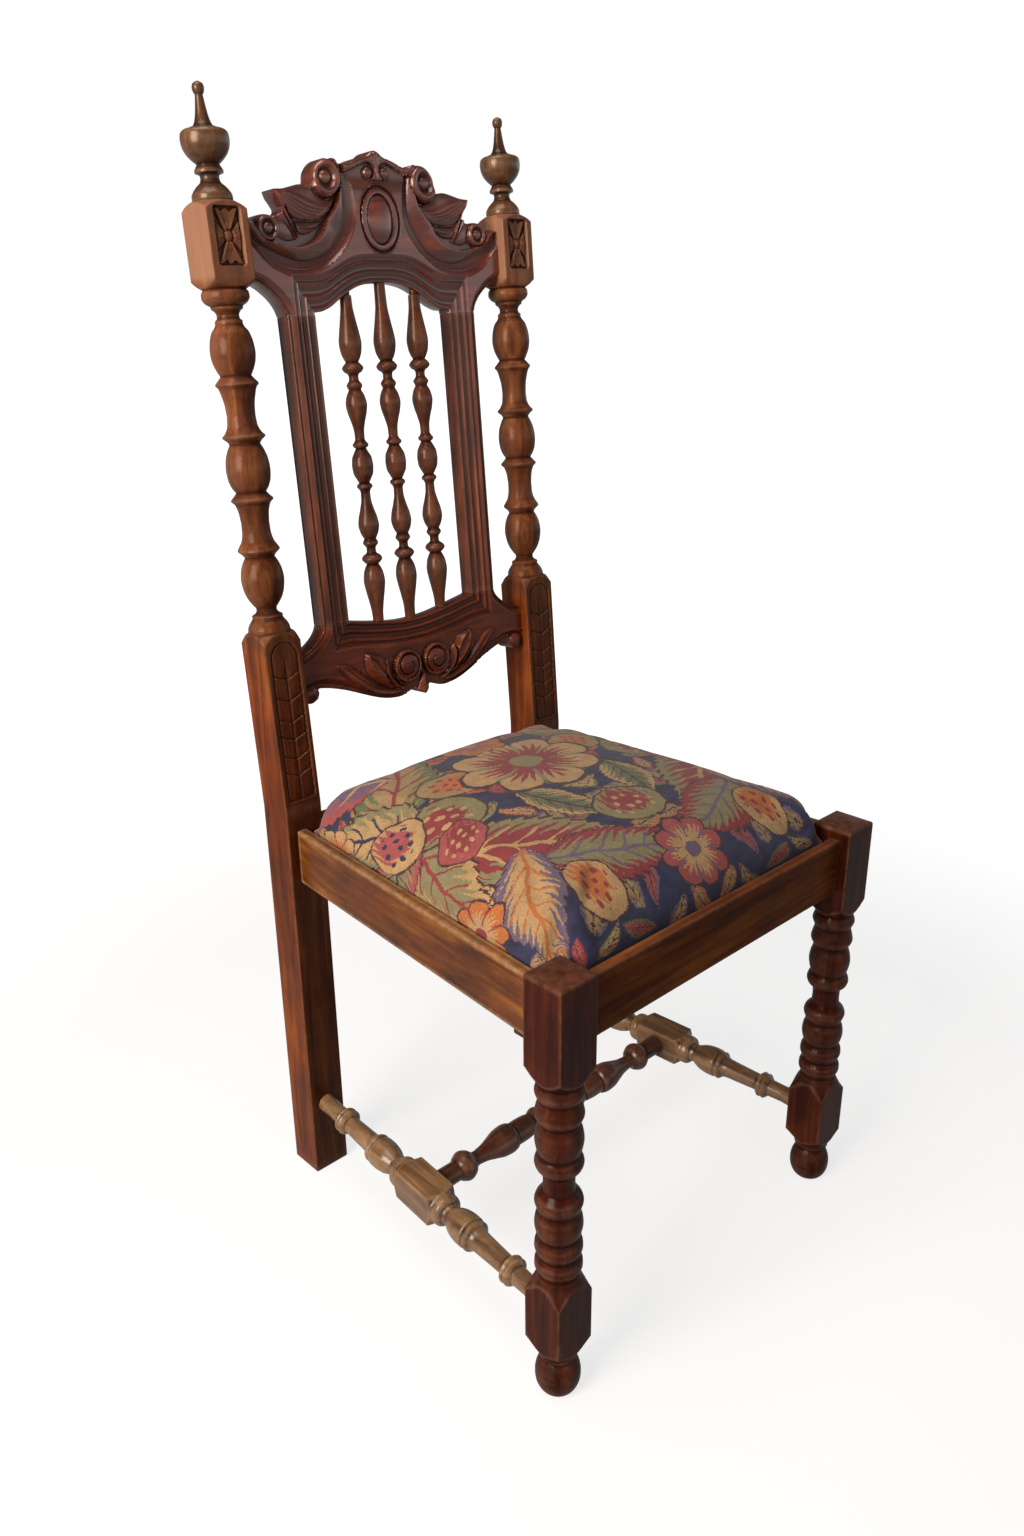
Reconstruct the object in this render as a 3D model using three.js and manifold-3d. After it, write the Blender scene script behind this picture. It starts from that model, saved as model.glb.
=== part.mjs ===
// A carved high-back side chair of turned and joined hardwood, with a drop-in upholstered seat.
// Millimetres, +Z up. The sitter faces -Y, and +X is to the right as the chair is seen from the front.
// The origin is on the floor, under the middle of the chair's bounding box.

import * as THREE from 'three';
import { mergeVertices } from 'three/addons/utils/BufferGeometryUtils.js';
import Module from 'manifold-3d';

const wasm = await Module();
wasm.setup();

// Driving dimensions of the frame
const frontLegSpacing = 422;
const backPostSpacing = 363;
const postSetBack = 424.5;
const kneeHeight = 461;
const rakeAngle = THREE.MathUtils.degToRad(4.7);
const legSection = 44;
const postSection = 43.6;

// Front leg, from the floor up: ball foot, lower block, turned length, upper block
const footHeight = 61;
const lowerBlockHeight = 56.5;
const turnedLegHeight = 245;
const upperBlockHeight = 88.5;
const ballRadius = 21.7;
const footFlat = 1.2;
const edgeRound = 1.5;

// Back post, distances along its raked axis above the knee
const lowerPanelTop = 177;
const turnedPostHeight = 333;
const topBlockHeight = 62;
const shoulderHeight = 11;

// Seat rails
const railDrop = 11.5;
const railHeight = 60.5;
const railThickness = 25;
const railSetBack = 11.5;
const lipWidth = 11.5;
const rebateDepth = 23;
const backRailThickness = 28;

// Joinery
const clearance = 0.3;
const tenonThickness = 9;
const tenonHeight = 38;
const tenonLength = 14;
const shortTenonLength = 11;
const roundTenonRadius = 7;
const spindleTenonRadius = 4.5;
const spindleTenonLength = 9;
const dowelLength = 18;

// Back panel, in the raked plane of the posts
const panelThickness = 23;
const stileInner = 87.5;
const stileOuter = 121;
const stileFootRise = 3.5;
const crestDrop = 98.5;
const stileTenonLength = 12;
const crestRise = 151;
const lowerRailDrop = 98;
const reliefHeight = 9;
const eyeHeight = 5;
const largeEyeRadius = 11.5;
const smallEyeRadius = 9;
const cabochonWidth = 32.6;
const cabochonHeight = 46;
const spindlePitch = 44.2;
const spindleRadius = 11.5;
const spindleCentre = 337;
const spindleReach = 178.5;
const finialHeight = 98;
const finialRadius = 21.8;

// Stretchers
const stretcherHeight = 90;
const stretcherRadius = 17;
const stretcherBlock = 35;
const stretcherBlockLength = 55;
const blockShift = 3.4;
const crossRadius = 16.7;

// Drop-in seat
const seatGap = 2;
const coverThickness = 1.2;
const frameThickness = 18;
const frameWidth = 46;
const webThickness = 1.8;
const webWidth = 50;
const webPitch = 84;
const webInset = 10;
const shoulderRise = 38.5;
const shoulderRadius = 32;
const notchRadius = 21;
const crownRise = 27;
const flangeWidth = 28;
const dustInset = 18;
const dustThickness = 0.8;
const tackRadius = 3;
const tackHeight = 1.3;
const tackInset = 6;

// Corner blocks and their screws
const cornerBlockSize = 62;
const cornerBlockHeight = 26;
const cornerBlockDrop = 12;
const screwRadius = 2;
const screwHeadRadius = 4;
const screwHeadHeight = 2.6;
const screwLength = 34;
const screwBite = 15;
const screwPocket = 40;

// Worked out from the sizes above
const lowerBlockTop = footHeight + lowerBlockHeight;
const upperBlockBottom = lowerBlockTop + turnedLegHeight;
const legHeight = upperBlockBottom + upperBlockHeight;
const railTop = legHeight - railDrop;
const railBottom = railTop - railHeight;
const ledgeHeight = railTop - rebateDepth;
const legX = frontLegSpacing / 2;
const postX = backPostSpacing / 2;
const legHalf = legSection / 2;
const postHalf = postSection / 2;
const blockCorner = Math.SQRT2;
const postTop = lowerPanelTop + shoulderHeight + turnedPostHeight + topBlockHeight;
const panelEnd = postX - postHalf - clearance;
const stileBottom = lowerPanelTop + stileFootRise;
const stileTop = postTop - crestDrop;
const lowerRailBottom = stileBottom - lowerRailDrop;
const overrun = legHeight + postSetBack;

const railFront = legHalf;
const railBack = postSetBack - postHalf;
const railStartX = legX + legHalf - railSetBack;
const railEndX = postX + postHalf - railSetBack;
const railRun = railBack - railFront;
const railAngle = Math.atan2(railStartX - railEndX, railRun);
const railLength = railRun / Math.cos(railAngle);
const acrossRail = railThickness / Math.cos(railAngle);

// Finishes: colour, roughness
const finishes = {
  mahogany: [0x4a2018, 0.35],
  crest: [0x43231f, 0.35],
  walnut: [0x6e4526, 0.4],
  rail: [0x7a4418, 0.4],
  pine: [0xb08a5a, 0.8],
  tapestry: [0x343a55, 0.9],
  hair: [0xb8a888, 1.0],
  webbing: [0xa08a62, 0.95],
  cambric: [0x1d1c1e, 0.95],
  steel: [0x8d8f92, 0.4],
};

function materialOf(finish) {
  const [color, roughness] = finishes[finish];
  const metalness = finish === 'steel' ? 0.9 : 0;
  return new THREE.MeshStandardMaterial({ color, roughness, metalness });
}

// Solids: a closed geometry becomes a solid for cutting and joining, and comes back as a geometry
function solidOf(geometry) {
  const bare = geometry.clone();
  bare.deleteAttribute('normal');
  bare.deleteAttribute('uv');
  const merged = mergeVertices(bare);
  const vertProperties = new Float32Array(merged.attributes.position.array);
  const triVerts = new Uint32Array(merged.index.array);
  return new wasm.Manifold(new wasm.Mesh({ numProp: 3, vertProperties, triVerts }));
}

function geometryOf(solid) {
  const { vertProperties, triVerts } = solid.getMesh();
  const geometry = new THREE.BufferGeometry();
  geometry.setAttribute('position', new THREE.BufferAttribute(new Float32Array(vertProperties), 3));
  geometry.setIndex(new THREE.BufferAttribute(new Uint32Array(triVerts), 1));
  return geometry;
}

function cut(geometry, ...cutters) {
  return geometryOf(cutters.reduce((body, cutter) => body.subtract(solidOf(cutter)), solidOf(geometry)));
}

function join(geometry, ...others) {
  return geometryOf(others.reduce((body, other) => body.add(solidOf(other)), solidOf(geometry)));
}

function common(geometry, other) {
  return geometryOf(solidOf(geometry).intersect(solidOf(other)));
}

function moved(geometry, x, y, z) {
  return geometry.clone().translate(x, y, z);
}

// The same shape mirrored across X, with its faces turned to point outwards again
function mirrored(geometry) {
  const twin = geometryOf(solidOf(geometry));
  twin.scale(-1, 1, 1);
  const index = twin.index.array;
  for (let i = 0; i < index.length; i += 3) {
    [index[i + 1], index[i + 2]] = [index[i + 2], index[i + 1]];
  }
  return twin;
}

function box(low, high) {
  const size = high.map((value, axis) => value - low[axis]);
  const centre = high.map((value, axis) => (value + low[axis]) / 2);
  return new THREE.BoxGeometry(...size).translate(...centre);
}

function prism(points, bottom, top) {
  const shape = new THREE.Shape(points.map(([x, y]) => new THREE.Vector2(x, y)));
  const depth = top - bottom;
  return new THREE.ExtrudeGeometry(shape, { depth, bevelEnabled: false }).translate(0, 0, bottom);
}

// A plate whose outline is drawn in X and Z, from front to back along Y
function plate(points, front, back) {
  return prism(points, 0, back - front).rotateX(Math.PI / 2).translate(0, back, 0);
}

function bothSides(half) {
  const other = half.filter(([x]) => x > 0).map(([x, y]) => [-x, y]);
  return [...half, ...other.reverse()];
}

// Turning: a row of elements, each with its length and its radius at start, middle and end,
// all as shares of the member's length and largest radius
const LINE = (t, a, b, c) => a + (c - a) * t;
const ARC = (t, a, b, c) => a + (c - a) * t + (b - (a + c) / 2) * Math.sin(Math.PI * t);
const BEAD = (t, a, b, c) => ARC(t, a, b, c);
const CROWN = (t, a, b, c) => c + (a - c) * Math.sqrt(1 - t * t);
const CUP = (t, a, b, c) => a + (c - a) * Math.sqrt(1 - (1 - t) * (1 - t));
const stepShares = new Map([
  [LINE, [1]],
  [ARC, [0.27, 0.73, 1]],
  [BEAD, [0.5, 1]],
  [CROWN, [0.55, 0.9, 1]],
  [CUP, [0.1, 0.45, 1]],
]);

function turning(elements, length, radius, start = 0) {
  const points = [];
  let along = start;
  for (const [curve, lengthShare, a, b, c] of elements) {
    const last = points.at(-1);
    if (!last || last[0] !== a * radius) points.push([a * radius, along]);
    for (const t of stepShares.get(curve)) {
      points.push([curve(t, a, b, c) * radius, along + t * lengthShare * length]);
    }
    along += lengthShare * length;
  }
  return points;
}

// A lathe body about Z from [radius, height] points, closed on the axis at both ends
function turned(points, sides) {
  const closed = [[0, points[0][1]], ...points, [0, points.at(-1)[1]]];
  const profile = closed.map(([radius, height]) => new THREE.Vector2(radius, height));
  return new THREE.LatheGeometry(profile, sides).rotateX(Math.PI / 2);
}

function peg(radius, from, to, sides = 12) {
  return turned([[radius, from], [radius, to]], sides);
}

function halfTurn(points) {
  return points.map(([radius, along]) => [radius, -along]).reverse();
}

const legTurning = [
  [LINE, 0.086, 1.41, 0, 0.88],
  [LINE, 0.016, 0.84, 0, 0.84],
  [BEAD, 0.077, 0.84, 0.99, 0.84],
  [BEAD, 0.086, 0.84, 0.99, 0.84],
  [ARC, 0.12, 0.84, 0.99, 0.84],
  [BEAD, 0.082, 0.84, 0.99, 0.68],
  [LINE, 0.082, 0.65, 0, 0.65],
  [BEAD, 0.087, 0.68, 0.99, 0.84],
  [ARC, 0.133, 0.84, 0.98, 0.83],
  [ARC, 0.098, 0.83, 0.99, 0.85],
  [BEAD, 0.069, 0.85, 0.99, 0.88],
  [LINE, 0.064, 0.88, 0, 1.41],
];
const egg = [ARC, 0.139, 0.67, 0.98, 0.67];
const ringUp = [BEAD, 0.039, 0.67, 0.95, 0.77];
const spool = [ARC, 0.12, 0.77, 0.63, 0.82];
const ringDown = [BEAD, 0.031, 0.82, 0.96, 0.67];
const postTurning = [
  [LINE, 0.045, 0.97, 0, 0.69],
  [LINE, 0.012, 0.73, 0, 0.7],
  [LINE, 0.018, 0.47, 0, 0.47],
  [ARC, 0.156, 0.5, 0.98, 0.67],
  ringUp, spool, ringDown, egg,
  ringUp, spool, ringDown,
  [ARC, 0.144, 0.67, 0.97, 0.59],
  [LINE, 0.02, 0.47, 0, 0.47],
  [LINE, 0.013, 0.5, 0, 0.7],
  [BEAD, 0.05, 0.68, 0.98, 0.97],
];
const finialTurning = [
  [ARC, 0.166, 0.82, 0.8, 0.43],
  [LINE, 0.07, 0.39, 0, 0.4],
  [BEAD, 0.083, 0.58, 0.6, 0.46],
  [ARC, 0.29, 0.46, 1, 0.7],
  [ARC, 0.28, 0.48, 0.23, 0.16],
  [BEAD, 0.111, 0.16, 0.25, 0.06],
];
const spindleTurning = [
  [CROWN, 0.1, 0.97, 0, 0.46],
  [BEAD, 0.042, 0.58, 0.73, 0.5],
  [LINE, 0.05, 0.44, 0, 0.46],
  [ARC, 0.228, 0.5, 0.92, 0.55],
  [BEAD, 0.056, 0.58, 0.73, 0.44],
  [LINE, 0.02, 0.43, 0, 0.43],
  [BEAD, 0.08, 0.48, 0.96, 0.55],
  [ARC, 0.16, 0.6, 1, 0.86],
  [LINE, 0.14, 0.86, 0, 0.53],
  [LINE, 0.124, 0.53, 0, 0.49],
];
const stretcherAngleing = [
  [LINE, 0.02, 1.5, 0, 0.98],
  [BEAD, 0.07, 0.95, 1, 0.72],
  [LINE, 0.03, 0.64, 0, 0.61],
  [ARC, 0.16, 0.61, 0.97, 0.97],
  [BEAD, 0.05, 0.92, 0.92, 0.72],
  [LINE, 0.21, 0.66, 0, 0.57],
  [BEAD, 0.04, 0.62, 0.87, 0.77],
  [BEAD, 0.036, 0.77, 0.86, 0.6],
  [LINE, 0.238, 0.55, 0, 0.61],
];
const crossTurning = [
  [BEAD, 0.08, 0.86, 0.84, 0.6],
  [LINE, 0.03, 0.55, 0, 0.55],
  [BEAD, 0.115, 0.6, 0.88, 0.63],
  [LINE, 0.15, 0.7, 0, 0.8],
  [ARC, 0.21, 0.78, 0.99, 0.67],
  [LINE, 0.11, 0.63, 0, 0.47],
  [BEAD, 0.13, 0.54, 0.99, 0.66],
  [LINE, 0.175, 0.65, 0, 0.69],
];

// The raked back: its frame has Z along the posts, Y through the panel and its origin at the knee
function rakedFrame() {
  const frame = new THREE.Group();
  frame.position.set(0, postSetBack, kneeHeight);
  frame.rotation.x = -rakeAngle;
  frame.updateMatrix();
  return frame;
}

function fromRaked(geometry) {
  return geometry.clone().applyMatrix4(rakedFrame().matrix);
}

// Tenons and mortises share one shape: a mortise is the tenon with the clearance added all round
function tenon(along, across, grow) {
  const half = tenonThickness / 2 + grow;
  const middle = railBottom + railHeight / 2;
  const rise = tenonHeight / 2 + grow;
  return box([across - half, -along - grow, middle - rise], [across + half, clearance, middle + rise]);
}

const railSection = [
  [0, railBottom], [0, railTop], [-lipWidth, railTop],
  [-lipWidth, ledgeHeight], [-railThickness, ledgeHeight], [-railThickness, railBottom],
];

// Side rail, right: X outwards with the outer face at 0, Y along the rail from the front leg back
function sideRail() {
  const across = railSection.map(([x, z]) => [x / Math.cos(railAngle), z]);
  const bar = plate(across, clearance, railRun - clearance);
  const shear = new THREE.Matrix4().makeShear(0, 0, -Math.tan(railAngle), 0, 0, 0);
  const body = bar.applyMatrix4(shear);
  const front = moved(sideTenon(0), 0, 0, 0);
  const back = moved(sideTenonBack(0), 0, 0, 0);
  const holes = sideScrewRows.map((y) => sideScrew(clearance, y));
  return cut(join(body, front, back), ...holes.map((hole) => moved(hole, -railStartX, -railFront, 0)));
}

function sideTenon(grow) {
  return tenon(tenonLength, -acrossRail / 2, grow);
}

function sideTenonBack(grow) {
  const turnedRound = tenon(shortTenonLength, 0, grow).rotateZ(Math.PI);
  return moved(turnedRound, -acrossRail / 2 - railRun * Math.tan(railAngle), railRun, 0);
}

// Front rail, in the chair's frame
function frontRail() {
  const outer = -legHalf + railSetBack;
  const section = railSection.map(([x, z]) => [outer - x, z]);
  const end = legX - legHalf - clearance;
  const bar = prism(section, -end, end).applyMatrix4(new THREE.Matrix4().set(
    0, 0, 1, 0,
    1, 0, 0, 0,
    0, 1, 0, 0,
    0, 0, 0, 1,
  ));
  const right = frontTenon(0);
  const hole = frontScrew(clearance);
  return cut(join(bar, right, mirrored(right)), hole, mirrored(hole));
}

function frontTenon(grow) {
  const middle = -legHalf + railSetBack + railThickness / 2;
  const turnedAcross = tenon(tenonLength, 0, grow).rotateZ(Math.PI / 2);
  return moved(turnedAcross, legX - legHalf, middle, 0);
}

// Back rail, in the chair's frame, flush with the front faces of the posts
const backRailFront = railBack + clearance;
const backRailSection = [
  [backRailFront, railBottom], [backRailFront + backRailThickness, railBottom],
  [backRailFront + backRailThickness, railTop], [backRailFront + lipWidth, railTop],
  [backRailFront + lipWidth, ledgeHeight], [backRailFront, ledgeHeight],
];

function backRail() {
  const bar = prism(backRailSection, -panelEnd, panelEnd).applyMatrix4(new THREE.Matrix4().set(
    0, 0, 1, 0,
    1, 0, 0, 0,
    0, 1, 0, 0,
    0, 0, 0, 1,
  ));
  const right = backTenon(0);
  const hole = backScrew(clearance);
  return cut(join(bar, right, mirrored(right)), hole, mirrored(hole));
}

function backTenon(grow) {
  const middle = backRailFront + backRailThickness * 0.65;
  const turnedAcross = tenon(tenonLength, 0, grow).rotateZ(Math.PI / 2);
  return moved(turnedAcross, postX - postHalf, middle, 0);
}

// Front leg, right, in its own frame: Z up its axis from the floor
function frontLeg() {
  const ball = [];
  const ballSteps = 6;
  const centre = ballRadius - footFlat;
  const first = -Math.asin(centre / ballRadius);
  const last = Math.PI / 3.4;
  for (let i = 0; i <= ballSteps; i += 1) {
    const angle = THREE.MathUtils.lerp(first, last, i / ballSteps);
    ball.push([ballRadius * Math.cos(angle), centre + ballRadius * Math.sin(angle)]);
  }
  const profile = [
    ...ball,
    [legHalf * blockCorner, footHeight],
    ...turning(legTurning, turnedLegHeight, legHalf, lowerBlockTop),
    [legHalf * blockCorner, legHeight],
  ];
  const blank = box([-legHalf, -legHalf, 0], [legHalf, legHalf, legHeight - edgeRound]);
  const cap = chamferedTop(legHalf, legHeight, edgeRound);
  const leg = common(join(blank, cap), turned(profile, 12).rotateZ(Math.PI / 12));
  const offset = (geometry) => moved(geometry, -legX, 0, 0);
  return cut(
    leg,
    offset(frontTenon(clearance)),
    offset(moved(sideTenon(clearance), railStartX, railFront, 0)),
    offset(sideStretcherPeg(clearance, -1)),
  );
}

// A block's top with a small chamfer round it
function chamferedTop(half, height, chamfer) {
  const cone = new THREE.CylinderGeometry(
    (half - chamfer) * blockCorner, half * blockCorner, chamfer, 4, 1,
  );
  return cone.rotateX(Math.PI / 2).rotateZ(Math.PI / 4).translate(0, 0, height - chamfer / 2);
}

// Back post, right, in the chair's frame less its own X: upright to the knee, then raked
function backPost() {
  const tan = Math.tan(rakeAngle);
  const knee = (side) => side * postHalf;
  const rise = postTop * Math.cos(rakeAngle);
  const atTop = (side) => [postTop * Math.sin(rakeAngle) + side * postHalf * Math.cos(rakeAngle),
    rise - side * postHalf * Math.sin(rakeAngle)];
  const bend = (side) => [knee(side), -side * postHalf * tan / 2];
  const side = [
    [-postHalf, -kneeHeight], [postHalf, -kneeHeight], bend(1), atTop(1), atTop(-1), bend(-1),
  ];
  const blank = prism(side, -postHalf, postHalf).applyMatrix4(new THREE.Matrix4().set(
    0, 0, 1, 0,
    1, 0, 0, postSetBack,
    0, 1, 0, kneeHeight,
    0, 0, 0, 1,
  ));
  const wide = kneeHeight * tan + postHalf * 2;
  const turnedStart = lowerPanelTop + shoulderHeight;
  const blockStart = turnedStart + turnedPostHeight;
  const roof = shoulderHeight / topBlockHeight;
  const envelope = [
    [wide, -kneeHeight * 2],
    [wide, lowerPanelTop],
    ...turning([[CROWN, 1, blockCorner, 0, 0.98]], shoulderHeight, postHalf, lowerPanelTop),
    ...turning(postTurning, turnedPostHeight, postHalf, turnedStart),
    ...turning([
      [CUP, roof, 0.98, 0, blockCorner],
      [LINE, 1 - 2 * roof, blockCorner, 0, blockCorner],
      [CROWN, roof, blockCorner, 0, 0.88],
    ], topBlockHeight, postHalf, blockStart),
  ];
  const lathe = turned(envelope, 12).rotateZ(Math.PI / 12);
  const post = common(blank, fromRaked(lathe));
  const offset = (geometry) => moved(geometry, -postX, 0, 0);
  const dowel = peg(spindleTenonRadius + clearance, postTop - dowelLength - clearance, postTop + overrun);
  return cut(
    post,
    fromRaked(dowel),
    offset(backTenon(clearance)),
    offset(moved(sideTenonBack(clearance), railStartX, railFront, 0)),
    offset(sideStretcherPeg(clearance, 1)),
    offset(fromRaked(crestTenon(clearance))),
    offset(fromRaked(lowerTenon(clearance))),
  );
}

// Outlines of the back panel's rails: [share of the half width, share of the rail's height]
const crestTopShares = [
  [0, 1], [0.06, 0.971], [0.12, 0.962], [0.15, 0.94], [0.23, 0.905], [0.277, 0.892],
  [0.3, 0.925], [0.345, 0.945], [0.39, 0.945], [0.43, 0.92], [0.465, 0.87], [0.475, 0.8], [0.49, 0.758],
  [0.6, 0.767], [0.7, 0.745], [0.757, 0.739], [0.72, 0.675], [0.695, 0.621], [0.727, 0.58],
  [0.78, 0.592], [0.83, 0.594], [0.88, 0.573], [0.91, 0.53], [0.95, 0.5], [1, 0.49],
];
const crestBottomShares = [
  [1, 0.205], [0.963, 0.207], [0.9, 0.175], [0.85, 0.134], [0.8, 0.083], [0.77, 0.03], [0.757, 0],
];
const archShares = [
  [0.52, 0.005], [0.48, 0.02], [0.42, 0.045], [0.36, 0.09], [0.3, 0.127], [0.24, 0.159],
  [0.18, 0.178], [0.09, 0.197], [0, 0.2],
];
const largeEyeShares = [0.385, 0.83];
const smallEyeShares = [0.83, 0.516];
const cabochonShare = 0.586;
const panelTenonShare = 0.66;
const lowerTopShares = [
  [0, 0.868], [0.18, 0.887], [0.36, 0.931], [0.545, 0.99],
];
const lowerBracketShares = [
  [0.765, 1], [0.79, 0.94], [0.815, 0.88], [0.885, 0.78], [0.965, 0.735], [1, 0.73],
];
const lowerBottomShares = [
  [1, 0.4], [0.975, 0.29], [0.945, 0.235], [0.905, 0.235], [0.87, 0.275], [0.84, 0.343],
  [0.735, 0.314], [0.6, 0.235], [0.42, 0.108], [0.3, 0.04], [0.23, 0.03], [0.15, 0.045], [0.06, 0.098],
  [0, 0],
];
const reliefTopShares = [
  [0.84, 0.4], [0.69, 0.53], [0.6, 0.46], [0.48, 0.5], [0.36, 0.52], [0.24, 0.5], [0.13, 0.53], [0, 0.42],
];

// Tenons of the back panel's rails, in the raked frame, in the middle of each rail's end
function panelTenon(endShares, bottom, height, grow) {
  const half = tenonThickness / 2 + grow;
  const ends = endShares.map((share) => bottom + share * height);
  const middle = (ends[0] + ends[1]) / 2;
  const rise = Math.abs(ends[1] - ends[0]) * panelTenonShare / 2 + grow;
  const [from, to] = [panelEnd - tenonLength, postX - postHalf + shortTenonLength + grow];
  return box([from, -half, middle - rise], [to, half, middle + rise]);
}

function crestTenon(grow) {
  return panelTenon([crestTopShares.at(-1)[1], crestBottomShares[0][1]], stileTop, crestRise, grow);
}

function lowerTenon(grow) {
  const endShares = [lowerBracketShares.at(-1)[1], lowerBottomShares[0][1]];
  return panelTenon(endShares, lowerRailBottom, lowerRailDrop, grow);
}

function outline(shares, width, bottom, height) {
  return shares.map(([x, z]) => [x * width, bottom + z * height]);
}

function closedHalf(...runs) {
  return bothSides(runs.flat());
}

function crestRail() {
  const front = -panelThickness / 2;
  const at = (shares) => outline(shares, panelEnd, stileTop, crestRise);
  const half = [...at(crestTopShares), ...at(crestBottomShares), [stileInner, stileTop], ...at(archShares)];
  const board = plate(ring(half), front, -front);
  const eye = (x, z, radius) => plateDisc(radius, front - eyeHeight, front + eyeHeight)
    .translate(x * panelEnd, 0, stileTop + z * crestRise);
  const eyes = [eye(...largeEyeShares, largeEyeRadius), eye(...smallEyeShares, smallEyeRadius)];
  const boss = new THREE.SphereGeometry(1, 14, 8)
    .scale(cabochonWidth / 2, eyeHeight, cabochonHeight / 2)
    .translate(0, front, stileTop + cabochonShare * crestRise);
  const right = crestTenon(0);
  const carved = join(board, boss, ...eyes, ...eyes.map(mirrored), right, mirrored(right));
  const stileHoles = [stileTenon(1, clearance), mirrored(stileTenon(1, clearance))];
  return cut(carved, ...stileHoles, ...spindleHoles());
}

// A flat disc facing the front, between two depths
function plateDisc(radius, front, back) {
  return peg(radius, 0, back - front, 14).rotateX(Math.PI / 2).translate(0, back, 0);
}

// A closed outline from its right half, drawn from the top middle round to the bottom middle
function ring(half) {
  const left = half.filter(([x]) => x > clearance).map(([x, z]) => [-x, z]).reverse();
  return [...half, ...left];
}

function lowerRail() {
  const front = -panelThickness / 2;
  const at = (shares) => outline(shares, panelEnd, lowerRailBottom, lowerRailDrop);
  const half = [
    ...at(lowerTopShares), [stileInner, stileBottom], [stileOuter, stileBottom],
    ...at(lowerBracketShares), ...at(lowerBottomShares),
  ];
  const board = plate(ring(half), front, -front);
  const reliefHalf = [...at(reliefTopShares).reverse(), ...at(lowerBottomShares.slice(5))];
  const relief = plate(ring(reliefHalf), front - reliefHeight, front + reliefHeight);
  const right = lowerTenon(0);
  const carved = join(board, relief, right, mirrored(right));
  const stileHoles = [stileTenon(-1, clearance), mirrored(stileTenon(-1, clearance))];
  return cut(carved, ...stileHoles, ...spindleHoles());
}

// Stile, right: a moulded upright, [share of the width from the opening, share of the thickness]
const stileShares = [
  [0, 1], [0, 0.3], [0.12, 0.22], [0.16, 0.12], [0.3, 0.1], [0.4, 0.16], [0.5, 0.02],
  [0.66, 0.02], [0.72, 0.1], [0.82, 0.02], [0.93, 0.05], [1, 0.2], [1, 1],
];

function stile() {
  const wide = stileOuter - stileInner;
  const section = stileShares.map(([x, y]) => [stileInner + x * wide, (y - 0.5) * panelThickness]);
  const bar = prism(section.reverse(), stileBottom + clearance, stileTop - clearance);
  return join(bar, stileTenon(1, 0), stileTenon(-1, 0));
}

function stileTenon(end, grow) {
  const middle = (stileInner + stileOuter) / 2;
  const half = tenonThickness / 2 + grow;
  const inner = end > 0 ? stileTop - tenonLength : stileBottom + tenonLength;
  const outer = end > 0 ? stileTop + stileTenonLength + grow : stileBottom - stileTenonLength - grow;
  return box([middle - half, -half, Math.min(inner, outer)], [middle + half, half, Math.max(inner, outer)]);
}

// Spindles run up to the arch and down to the lower rail, and enter both by a round tenon
function archHeightAt(shares, x, bottom, height) {
  const points = outline(shares, panelEnd, bottom, height).sort((a, b) => a[0] - b[0]);
  const next = points.findIndex((point) => point[0] >= x);
  const [x1, z1] = points[next];
  const [x0, z0] = points[Math.max(next - 1, 0)];
  return x1 === x0 ? z1 : z0 + (z1 - z0) * (x - x0) / (x1 - x0);
}

function spindleEnds(x) {
  const half = spindleRadius * 0.49;
  const sides = [Math.abs(x) - half, Math.abs(x), Math.abs(x) + half].map(Math.abs);
  const top = sides.map((at) => archHeightAt(archShares, at, stileTop, crestRise));
  const bottom = sides.map((at) => archHeightAt(lowerTopShares, at, lowerRailBottom, lowerRailDrop));
  return [Math.max(...bottom) + clearance, Math.min(...top) - clearance];
}

function spindle(x) {
  const upper = turning(spindleTurning, spindleReach, spindleRadius);
  const full = [...halfTurn(upper), ...upper].map(([radius, along]) => [radius, along + spindleCentre]);
  const [bottom, top] = spindleEnds(x);
  const neck = full.at(-1)[0];
  const within = full.filter(([, along]) => along > bottom && along < top);
  const profile = [
    [spindleTenonRadius, bottom - spindleTenonLength], [spindleTenonRadius, bottom], [neck, bottom],
    ...within, [neck, top], [spindleTenonRadius, top], [spindleTenonRadius, top + spindleTenonLength],
  ];
  return turned(profile, 8);
}

function spindleHoles() {
  return [-1, 0, 1].map((column) => {
    const [bottom, top] = spindleEnds(column * spindlePitch);
    const hole = peg(spindleTenonRadius + clearance, bottom - spindleTenonLength - clearance,
      top + spindleTenonLength + clearance, 8);
    return moved(hole, column * spindlePitch, 0, 0);
  });
}

function finial() {
  const head = turning(finialTurning, finialHeight, finialRadius, clearance);
  const foot = [[spindleTenonRadius, -dowelLength], [spindleTenonRadius, clearance]];
  return turned([...foot, ...head], 12);
}

// Side stretcher, right: its frame has Y along its axis and its origin in its square block
const stretcherAngle = Math.atan2(legX - postX, postSetBack);
const stretcherMiddle = (railFront + railBack) / 2 - blockShift;
const stretcherX = legX - stretcherMiddle * Math.tan(stretcherAngle);
const frontReach = (stretcherMiddle - railFront) / Math.cos(stretcherAngle);
const backReach = (railBack - stretcherMiddle) / Math.cos(stretcherAngle);
const faceSlack = clearance + stretcherRadius * Math.tan(stretcherAngle);

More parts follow.
